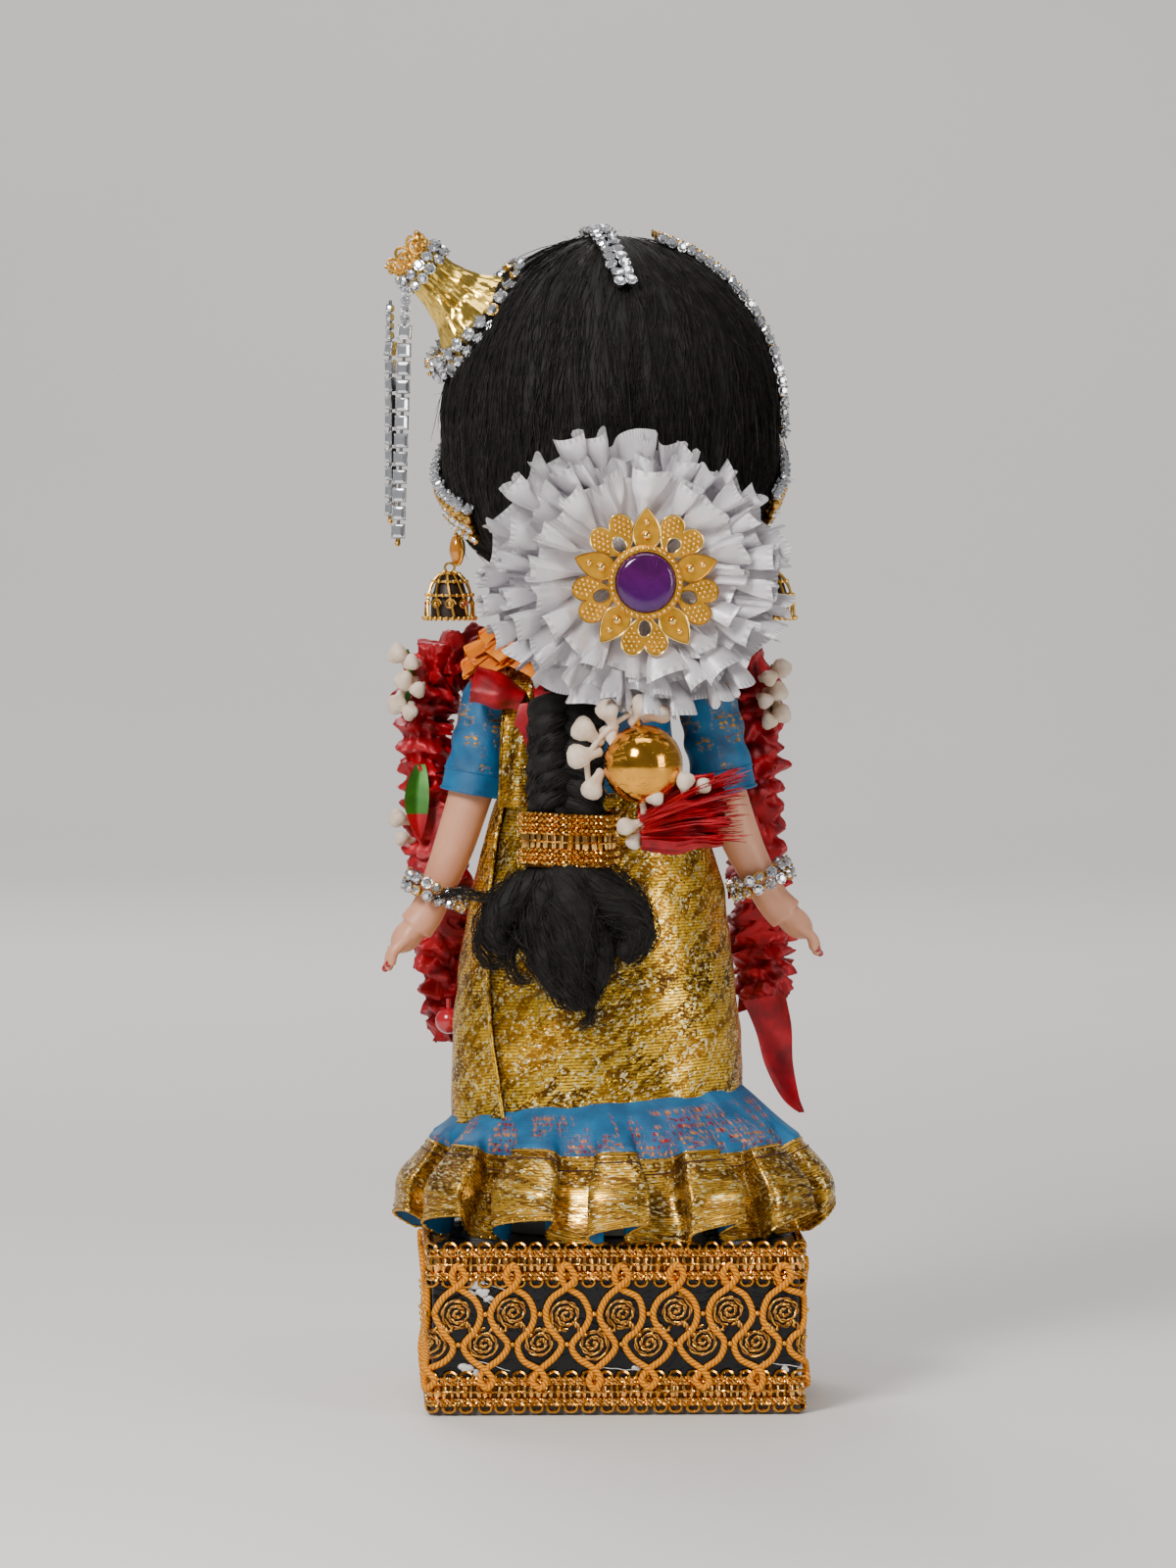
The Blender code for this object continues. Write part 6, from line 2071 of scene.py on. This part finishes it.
def ruched_strand(name, node, marks, radii, seed):
    """A satin ribbon drawn up on a thread into a tight crumpled rope."""
    line = curve_through([mm(*p) for p in marks], 46)
    last = len(line) - 1
    run = [0.0]
    for a, b in zip(line, line[1:]):
        run.append(run[-1] + (b - a).length / MM)
    tangents = [(line[min(i + 1, last)] - line[max(i - 1, 0)]).normalized()
        for i in range(last + 1)]
    shape = Shape()

    def at(u, v):
        i = min(last, int(round(v * last)))
        along = tangents[i]
        side = along.cross(BACK).normalized()
        out = side.cross(along).normalized()
        t = v * (len(radii) - 1)
        k = min(int(t), len(radii) - 2)
        radius = lerp(radii[k], radii[k + 1], t - k)
        angle = TAU * u
        x, y = math.cos(angle), math.sin(angle)
        s = run[i]
        sway = 0.9 * noise.noise(Vector((x * 1.1, y * 1.1, s * 0.11 + seed)))
        phase = s / 4.3 * TAU + 4.2 * sway + 1.5 * math.sin(angle
            + seed) + 0.8 * math.sin(2 * angle)
        ridge = (0.5 + 0.5 * math.cos(phase)) ** 0.85
        crumple = noise.noise(Vector((x * 2.6, y * 2.6, s * 0.42 + seed)))
        fine = noise.noise(Vector((x * 6, y * 6, s * 1.1 + seed)))
        r = radius * (0.70 + 0.40 * ridge + 0.34 * crumple + 0.13 * fine)
        lean = 3.2 * (ridge - 0.4) * noise.noise(Vector((x, y, s * 0.2 + seed + 5)))
        return clear_of_arm(line[i] + (side * x + out * y) * r * MM + along * lean * MM, line[i])

    shape.sheet(at, 74, last, size=(26, 2.2 * run[-1]))
    flutter = Shape()
    piece = shape.piece(name, [RED], "plinth_and_body", "red_ribbon", [node],
        outward=False, angle=75)
    # The ribbon's free edge, which stands out in small frills along the strand.

    def frill(u, v):
        i = min(last, int(round(v * last)))
        along = tangents[i]
        side = along.cross(BACK).normalized()
        out = side.cross(along).normalized()
        s = run[i]
        angle = 0.9 + seed + 0.55 * math.sin(s * 0.5) + 0.5 * wander(s * 0.12, seed)
        fold = math.sin(s * TAU / 4.2 + 1.5 * wander(s * 0.1, seed + 3))
        reach = 3.4 + 3.9 * u * (1 + 0.22 * wander(s * 0.3, seed + 8))
        direction = side * math.cos(angle + 0.42 * fold * u) + out * math.sin(angle
            + 0.42 * fold * u)
        place = line[i] + direction * reach * MM * (1
            - 0.3 * smooth_step(0.85, 1.0, v)) + along * 1.1 * fold * u * MM
        return clear_of_arm(place, line[i])

    flutter.sheet(frill, 10, last, size=(10, 1.6 * run[-1]))
    edge = flutter.piece(f"{name}_frill", [RED], "plinth_and_body", "red_ribbon",
        outward=False, angle=75)


def make_neck_ruffle():
    """Orange ribbon ruffles round the neck, in three frills one above another."""
    for number, (high, inner, outer, folds, seed) in enumerate(((152.2, 0.50, 1.34, 17, 3.1),
            (155.2, 0.45, 1.28, 16, 5.7), (158.2, 0.42, 1.08, 14, 8.3))):
        shape = Shape()

        def at(u, v):
            angle = TAU * u
            own = noise.noise(Vector((2 * math.cos(angle), 2 * math.sin(angle), seed)))
            phase = folds * angle + 2.2 * noise.noise(
                Vector((1.5 * math.cos(angle), 1.5 * math.sin(angle), seed + 4)))
            wave = math.sin(phase)
            reach = lerp(inner, outer * (1 + 0.10 * own), v)
            half_x = 22.5 + 7.2 * (reach - 1) * 2.0
            half_y = 14.6 + 5.2 * (reach - 1) * 2.0
            swing = angle + 0.075 * math.sin(2 * phase) * v + 0.05 * own
            fine = noise.noise(Vector((9 * math.cos(angle), 9 * math.sin(angle), v * 3 + seed)))
            z = high + (2.1 * wave * (0.25
                + 0.75 * v)) + 0.8 * fine * v - 1.6 * v * v + 1.2 * math.sin(math.pi * v)
            return mm(3.4 + half_x * math.cos(swing), half_y * math.sin(swing), z)

        shape.sheet(at, 460, 12, size=(200, 14))
        frill = shape.piece(
            f"neck_ruffle_{number + 1}", [ORANGE], "plinth_and_body", "orange_ribbon",
            ["neck_garland"] if number == 0 else [], outward=False, angle=75,
        )


def make_rolls():
    """Red ribbon rolled up on itself, lying across the back of the neck."""
    for name, node, (x, y, z), length, radius, tilt in (
        ("ribbon_coil_outer", "ribbon_roll_outer", (18.6, 12.9, 146.3), 10.6, 4.3, 0.28),
        ("ribbon_coil_inner", "ribbon_roll_inner", (5.2, 15.6, 145.6), 10.6, 3.5, -0.22),
    ):
        shape = Shape()

        def at(u, v):
            turns = 2.3
            angle = TAU * turns * u + 0.8
            r = radius * (0.28 + 0.72 * u) * (0.72 + 0.48 * v
                + 0.10 * math.sin(7 * v + radius)) + 0.35 * math.sin(3 * angle
                + 4 * v) + 0.45 * wander(u * 6, radius, v * 3)
            px = length * (v - 0.5) * (1 + 0.06 * math.sin(angle)) + 0.4 * wander(u * 5, radius + 2)
            pz, py = r * math.sin(angle) * 0.92, r * math.cos(angle)
            return mm(x + length / 2 + px * math.cos(tilt) - pz * math.sin(tilt), y + py, z
                + pz * math.cos(tilt) + px * math.sin(tilt))

        shape.sheet(at, 110, 14, size=(58, length))
        coil = shape.piece(name, [RED], "plinth_and_body", "red_ribbon", [node],
            outward=False, angle=75)
    flap = Shape()

    def fall(u, v):
        return mm(14.5 + 9.5 * (u - 0.5) + 1.2 * v, 16.4 + 0.8 * math.sin(4 * u) - 1.2 * v, 143.8
            - 10.5 * v * (0.75 + 0.35 * math.cos(5.2 * (u - 0.45))) + 0.5 * math.sin(9 * u))

    flap.sheet(fall, 30, 20, size=(10, 12))
    loose = flap.piece("ribbon_fall", [RED], "plinth_and_body", "red_ribbon",
        outward=False, angle=75)


def make_small_flowers():
    for side, node, marks in (
        ("left", "shoulder_buds_left", [(43.4, -8.2, 153.4), (42.2, -7.6, 148.0),
            (44.0, -8.6, 143.4)]),
        ("right", "shoulder_buds_right", [(-35.6, -8.0, 150.2), (-34.8, -8.6, 145.6),
            (-35.8, -9.0, 141.4)]),
    ):
        shape = Shape()
        sign = 1 if side == "left" else -1
        for i, p in enumerate(marks):
            along = Vector((sign * (0.8 - 0.3 * i), 0.55, 0.5 - 0.45 * i))
            bud(shape, mm(*p) + mm(0, 1.2, 0), along, 1.95, 0, i * 2.1)
            bud(shape, mm(*p) + mm(-sign * 2.6, 2.4, -1.6), along + Vector((0, 0.8, -0.4)),
                1.6, 0, i * 1.3)
        stem = [mm(*marks[0]) + mm(-sign * 1.2, -1.4, 1), mm(*marks[1]) + mm(-sign * 1.2, -1.4, 0),
            mm(*marks[2]) + mm(-sign * 1.2, -1.4, -1)]
        shape.tube(curve_through(stem, 6), 0.6 * MM, 8, slot=1)
        shape.piece(f"shoulder_bud_cluster_{side}", [BUD, GREEN], "plinth_and_body", "cream_bud",
            [node], angle=70)
    more = Shape()
    for x, y, z, size in ((43.4, -13.0, 119.0, 1.8), (42.6, -14.0, 114.8, 1.5)):
        bud(more, mm(x, y, z), Vector((0.8, 0.5, 0.2)), size, 0, x)
    more.piece("garland_small_buds", [BUD], "plinth_and_body", "cream_bud", angle=70)

    bead = Shape()
    centre = middle("garland_bead")
    rings, sides = 18, 26
    bead.ball(centre, 2.8 * MM, rings, sides)
    pearl = Paint("red_bead", (0.45, 0.006, 0.02), 0.22, 0.0, Coat_Weight=0.8, Coat_Roughness=0.1)
    pearl.bump(pearl.noise(pearl.place(), 500, 3), 0.00005, 0.5)
    bead.tube([centre + mm(0, 0, z) for z in (2.6, 3.6, 4.6)], 0.5 * MM, 8)
    bead.piece("garland_red_bead", [pearl], "plinth_and_body", "red_ribbon",
        ["garland_bead"], angle=70)

    tail = Shape()
    spine = curve_through([mm(-32.6, -12.0, 81.5), mm(-34.6, -11.6, 75), mm(-35.8, -12.2, 67.5),
        mm(-38.2, -12.6, 60.5), mm(-40.6, -12.2, 57.2)], 10)
    last = len(spine) - 1

    def strip(u, v):
        i = min(last, int(round(v * last)))
        half = lerp(5.0, 0.6, v ** 0.9) + 0.5 * math.sin(math.pi * v)
        side = (u - 0.5) * 2
        fold = 0.9 * side * side * (1 - v) + 0.5 * math.sin(5 * v + 2 * side)
        return spine[i] + mm(half * side * 0.92, fold, -0.8 * side * (1 - v))

    tail.sheet(strip, 16, last, size=(10, 28))
    end = tail.piece("garland_ribbon_tail", [RED], "plinth_and_body", "red_ribbon",
        ["garland_tail"], outward=False, angle=75)

    leaf = Shape()

    def blade(u, v):
        side = (u - 0.5) * 2
        half = 3.4 * math.sin(math.pi * min(1.0, 0.10 + 0.88 * v)) ** 0.8
        return mm(39.2 + half * side * 0.75 + 0.8 * math.sin(3 * v), -10.2
            + 1.5 * abs(side) * half / 3.4 - 0.8 * v, 130.5 - 15.5 * v)

    leaf.sheet(blade, 12, 24, size=(7, 15.5))
    for k in range(len(leaf.faces)):
        leaf.slots[k] = 1 if (k // 12) / 24 > 0.66 else 0
    blade_piece = leaf.piece("garland_ribbon_leaf", [GREEN, RED], "plinth_and_body", "green_leaf",
        ["garland_leaf"], outward=False, angle=75)


ruched_strand("garland_rope_left", "garland_left",
    [(15.0, -13.4, 155.0), (26.0, -15.2, 154.0), (34.6, -15.8, 151.0), (38.2, -15.9, 143.5),
    (36.8, -16.6, 120), (35, -18.0, 102), (34, -18.4, 86), (33.4, -17.4, 72)],
              [3.6, 4.8, 6.0, 5.8, 5.6, 5.5, 5.7, 3.0], 1.7)
ruched_strand("garland_rope_right", "garland_right",
    [(-8.0, -13.4, 155.0), (-18.5, -15.2, 154.0), (-26.8, -15.8, 151.0), (-30.2, -15.9, 143.5),
    (-31.2, -17.0, 118), (-32.4, -18.4, 100), (-32.8, -18.4, 88), (-32.4, -17.6, 78.5)],
              [3.6, 4.8, 6.0, 5.8, 5.6, 5.5, 5.9, 3.6], 4.9)
make_neck_ruffle()
make_rolls()
make_small_flowers()


# ---------------------------------------------------------------- plait, its band and its tassel

def wool_bundle(shape, line, radius, count, rng, loose=0.0, fine=0.10):
    """Fibres along a line: each keeps its own place in the bundle and wanders a little."""
    last = len(line) - 1
    for n in range(count):
        spread = math.sqrt(rng.random())
        turn0 = rng.uniform(0, TAU)
        seed = rng.uniform(0, 400)
        twist = rng.gauss(0.9, 0.5)
        first = int(rng.uniform(0, 0.35) * last)
        final = last if rng.random() < 0.6 else int(last * rng.uniform(0.75, 1.0))
        path = []
        for i in range(first, final + 1, 2):
            t = i / last
            along = (line[min(i + 1, last)] - line[max(i - 1, 0)]).normalized()
            side = along.cross(BACK)
            side = side.normalized() if side.length > 1e-6 else Vector((1, 0, 0))
            out = side.cross(along).normalized()
            r = (radius(t) if callable(radius) else radius) * (0.25 + 0.78 * spread)
            a = turn0 + twist * t * 3
            stray = loose * (0.3 + t) * MM
            path.append(
                line[i] + (side * math.cos(a) + out * math.sin(a)) * r
                + Vector((wander(t * 5, seed), wander(t * 5, seed + 1),
                    wander(t * 5, seed + 2))) * stray
            )
        if len(path) > 3:
            fibre(shape, path, rng.uniform(0.6, 1.25) * fine * MM, n % 2)


def make_plait():
    rng = random.Random(43)
    shape = Shape()
    for strand in range(3):
        line = []
        for i in range(60):
            t = i / 59
            phase = TAU * (t * 2.1 + strand / 3)
            wide = 4.3 * smooth_step(0, 0.12, t) + 0.6
            line.append(mm(10.1 + wide * math.sin(phase), 28.9 + 2.1 * math.sin(2 * phase), 146.2
                - 24.4 * t))
        girth = lambda t: (3.2 - 0.9 * smooth_step(0.12, 0.0, t)) * MM
        shape.tube(line, [girth(i / 59) * (0.95 + 0.06 * math.sin(i)) for i in range(60)], 14)
        wool_bundle(shape, line, lambda t: girth(t) * 1.03, 190, rng, 0.5)
    shape.piece("wool_plait", [WOOL, WOOL_LIGHT], "hanging_plait", "black_wool",
        ["plait"], angle=80)


def ring_place(x, z, out):
    """Flat coordinates of the plait's band, wound on its oval."""
    angle = math.pi / 2 - x / 46.5 * TAU
    sway = 0.5 * math.sin(2 * angle)
    return mm(9.6 + (8.7 + out * 0.8) * math.cos(angle), 28.8 + (5.2 + out * 0.8) * math.sin(angle),
        z + sway * 0.5)


def make_plait_band():
    braid_trim(ring_place, 46.5, 111.0, 122.6, "plait_gimp_band", "hanging_plait", "gold_lurex",
        ["plait_band"], loops=False)
    rows = Shape()
    for z in (113.0, 114.6, 119.0, 120.6, 121.9):
        for ply in range(3):
            strand = []
            for i in range(300):
                x = 46.5 * i / 300
                a = x * 2.4 + TAU * ply / 3
                strand.append(ring_place(x, z + 0.55 * math.cos(a), 1.5 + 0.45 * math.sin(2 * a)))
            rows.tube(strand, 0.28 * MM, 5, closed=True, slot=ply % 2)
    rows.piece("plait_chain_rows", [LUREX, GOLD_BRIGHT], "hanging_plait", "gold_lurex", angle=60)


def make_tassel():
    rng = random.Random(47)
    core = Shape()
    hairs = Shape()
    lobes = [
        ([(9.0, 28.8, 112), (4.5, 29.6, 107), (-1.6, 30.0, 102.6), (-4.0, 29.6, 97.6),
            (-0.6, 29.2, 93.4)], [6.2, 6.4, 5.6, 4.6, 2.8], 150),
        ([(9.4, 28.8, 112), (9.0, 29.8, 104), (8.6, 30.4, 96), (8.2, 30.0, 89), (6.4, 29.4, 83.0)],
            [7.0, 7.6, 6.6, 5.2, 3.2], 220),
        ([(10.4, 28.8, 112), (13.2, 29.2, 106.5), (16.6, 29.0, 101), (16.2, 28.8, 95.2),
            (13.2, 28.6, 90.6)], [6.0, 5.6, 4.6, 3.4, 1.6], 130),
        ([(9.8, 28.6, 110), (13.6, 29.4, 101), (14.2, 29.8, 93.6), (11.6, 29.8, 87.6),
            (8.6, 29.2, 84.6)], [4.6, 4.4, 4.2, 3.4, 1.8], 110),
        ([(11.4, 28.4, 111), (17.4, 28.8, 107), (22.6, 29.0, 103), (24.6, 29.0, 98),
            (21.4, 28.8, 93.4)], [4.4, 4.8, 4.6, 3.6, 1.6], 150),
        ([(6.0, 28.6, 108), (4.0, 29.0, 101), (3.4, 29.4, 95), (4.6, 29.2, 89), (6.0, 29.0, 85)],
            [4.0, 4.6, 4.2, 3.6, 2.0], 100),
    ]
    for marks, radii, count in lobes:
        line = curve_through([mm(*p) for p in marks], 9)
        last = len(line) - 1

        def girth(t, radii=radii):
            k = min(int(t * (len(radii) - 1)), len(radii) - 2)
            return lerp(radii[k], radii[k + 1], t * (len(radii) - 1) - k) * MM

        sides = 18
        core.tube(line, [girth(i / last) * (0.86 + 0.12 * wander(i * 0.5, count))
            for i in range(last + 1)], sides)
        wool_bundle(hairs, line, girth, count, rng, 1.9, 0.11)
    wisps = [
        ([(12, 29, 108), (19, 29.8, 106.4), (26, 30.2, 105.2), (32, 30, 106.6),
            (37.4, 29.4, 104.4)], 1.5, 60),
        ([(13, 29, 106), (20, 30, 103.4), (26.5, 30.4, 100.4), (28.4, 30, 95), (25.2, 29.6, 91.2),
            (21.6, 29.4, 93.4)], 1.4, 60),
        ([(12, 29, 104), (17.5, 30, 100), (21.6, 30.2, 94.6), (20.4, 29.8, 89.2),
            (16.8, 29.4, 88.2)], 1.8, 70),
        ([(4, 29, 108), (-2, 30, 106.4), (-6.2, 30, 101.4), (-6.6, 29.6, 96.4)], 1.5, 60),
        ([(9, 30, 92), (6.6, 30.4, 85.6), (5.0, 30, 80.8), (7.6, 29.6, 78.8)], 1.5, 60),
    ]
    for marks, size, count in wisps:
        line = curve_through([mm(*p) for p in marks], 8)
        wool_bundle(hairs, line, lambda t, size=size: size * (1 - 0.55 * t) * MM, count,
            rng, 1.5, 0.06)
    for n in range(330):
        home = rng.choice(lobes)[0]
        base = Vector(rng.choice(home[1:]))
        angle, reach = rng.uniform(0, TAU), rng.uniform(2.5, 6.8)
        here = base + Vector((reach * math.cos(angle), rng.uniform(0.2, 3.0),
            reach * math.sin(angle) * 0.8))
        heading = Vector((rng.gauss(0, 1), rng.gauss(0, 0.35), rng.gauss(-0.3, 1))).normalized()
        seed = rng.uniform(0, 300)
        path = []
        for i in range(9):
            path.append(mm(here.x, max(26.0, min(here.y, 35.0)), here.z))
            heading = (heading
                + 0.8 * Vector((wander(i * 0.5, seed), 0.3 * wander(i * 0.5, seed + 1),
                wander(i * 0.5, seed + 2)))).normalized()
            here = here + heading * 1.0
        fibre(hairs, path, rng.uniform(0.04, 0.08) * MM, n % 2)
    core.piece("tassel_core", [WOOL], "hanging_plait", "black_wool", angle=80)
    hairs.piece("wool_tassel", [WOOL, WOOL_LIGHT], "hanging_plait", "black_wool",
        ["plait_tassel"], angle=80)


# ---------------------------------------------------------------- pendant with its tassel

def make_pendant():
    shape = Shape()
    stem = curve_through([mm(-2.6, 42, 143.4), mm(0.8, 42.2, 141.2), mm(4.0, 42.4, 138),
        mm(6.2, 42.4, 134), mm(6.0, 42, 129.4)], 6)
    shape.tube(stem, 0.6 * MM, 10)
    spots = [((6.4, 42.4, 139.8), (0.8, 0.3, 0.65), 1.9),
        ((7.4, 42.6, 134.6), (1, 0.3, -0.25), 1.9), ((5.2, 42.4, 128.6), (0.5, 0.2, -0.9), 1.7),
             ((2.0, 43.2, 143.6), (0.35, 0.4, 0.9), 1.75),
                 ((-4.6, 42.6, 144.2), (-0.5, 0.4, 0.8), 1.8),
                 ((-8.0, 42.2, 143.2), (-0.9, 0.3, 0.3), 1.6),
             ((1.6, 41.0, 138.8), (0.2, -0.6, 0.5), 1.5)]
    for i, (place, along, size) in enumerate(spots):
        bud(shape, mm(*place), Vector(along), 1.22 * size, 0, i * 1.9)
    shape.piece("pendant_bud_sprig", [BUD], "pendant", "cream_bud", ["bud_sprig"], angle=70)

    bead = Shape()
    centre = middle("gold_bead")
    bead.ball(centre, 8 * MM, 40, 64)
    bead.tube([centre + mm(0.6, 0, 6.8), centre + mm(1.0, 0, 8.6), centre + mm(1.6, 0, 10.4)],
        0.5 * MM, 8)
    gold = metal("polished_bead", (0.90, 0.42, 0.055), 0.12)
    scratch = gold.noise(gold.scaled(gold.place(), (260, 260, 900), 20), 1.0, 4, 0.6, 1.5)
    gold.rough(gold.ramp(scratch, [(0.55, 0.0), (0.62, 1.0)]), 0.10, 0.30)
    gold.bump(gold.ramp(scratch, [(0.60, 0.0), (0.66, 1.0)]), 0.00006, 0.7)
    bead.piece("pendant_gold_bead", [gold], "pendant", "gold_foil", ["gold_bead"], angle=70)

    scraps = Shape()
    rng = random.Random(53)
    flaps = 9
    for k in range(flaps):
        seed = k * 3.3
        up = (k - (flaps - 1) / 2) / ((flaps - 1) / 2)
        length = rng.uniform(13.5, 18.5)
        start = mm(-4.6 + 0.4 * k * 0.2, 42.0 + rng.uniform(-1.6, 1.6), 120.2 + 2.6 * up)
        rise = 0.32 + 0.34 * up

        def ribbon(u, v, seed=seed, up=up, length=length, start=start, rise=rise):
            side = (u - 0.5) * 2
            half = (1.2 + 1.5 * math.sin(math.pi * min(1, 0.15 + 0.8 * v))) * (1 - 0.35 * v)
            x = -length * v
            z = rise * length * v * (1 - 0.25 * v) + 0.8 * wander(v * 3, seed)
            fold = 0.9 * math.cos(2.2 * side + seed) + 0.3 * math.sin(9 * side + seed)
            jag = 0.7 * noise.noise(Vector((side * 4, seed, 0))) * smooth_step(0.8, 1.0, v)
            return start + mm(x + jag, fold * (1 + 0.8 * v) + 1.2 * up * v, z + half * side)

        scraps.sheet(ribbon, 10, 18, size=(10, length))
    cut = scraps.piece("red_ribbon_scraps", [RED], "pendant", "red_ribbon", ["red_tassel"],
        outward=False, angle=75)
    tassel = Shape()
    for _ in range(150):
        seed = rng.uniform(0, 300)
        up = rng.uniform(-1, 1)
        start = mm(-5 + rng.gauss(0, 0.8), 42 + rng.gauss(0, 2.2), 120.4 + 2.6 * up)
        length = rng.uniform(14, 21)
        rise = 0.30 + 0.36 * up
        path = [
            start + mm(-length * t, 0.9 * wander(t * 3, seed) * t * 2 + rng.uniform(-0.1, 0.1),
                rise * length * t * (1 - 0.25 * t) + 0.9 * wander(t * 3, seed + 2) * t)
            for t in (0, 0.15, 0.3, 0.45, 0.6, 0.75, 0.9, 1.0)
        ]
        fibre(tassel, path, 0.14 * MM)
    tassel.piece("red_thread_tassel", [RED], "pendant", "red_ribbon", angle=75)
    knobs = Shape()
    for i, (place, along, size) in enumerate([((-7.4, 45.2, 126.4), (0.2, 0.8, 0.6), 1.8),
            ((-13.2, 45.0, 129.4), (0, 0.7, 0.7), 1.8),
            ((-16.8, 43.6, 128.6), (-0.7, 0.5, 0.5), 1.5),
                                              ((-1.8, 44.2, 120.6), (0.9, 0.4, -0.2), 1.7),
                                                  ((-3.2, 42.4, 117.8), (0.6, 0.2, -0.8), 1.5)]):
        bud(knobs, mm(*place), Vector(along), size, 0, i * 2.7)
    knobs.tube(curve_through([mm(-4.9, 42, 125.4), mm(-5.2, 42.4, 123), mm(-4.8, 42.2, 119.6)], 5),
        0.7 * MM, 8)
    knobs.piece("tassel_buds", [BUD], "pendant", "cream_bud", angle=70)


make_plait()
make_plait_band()
make_tassel()
make_pendant()

dress("doll_torso", SKIN)
dress("rosette_backing", silk_paint("white_felt", (0.75, 0.73, 0.72), (0.62, 0.60, 0.59)))
dress("body_core", Paint("foam_core", (0.62, 0.58, 0.50), 0.9))
dress("support_dowel", Paint("dowel_wood", (0.45, 0.28, 0.13), 0.6))
dress("shoulder_axle", metal("axle_steel", (0.55, 0.55, 0.56), 0.3))
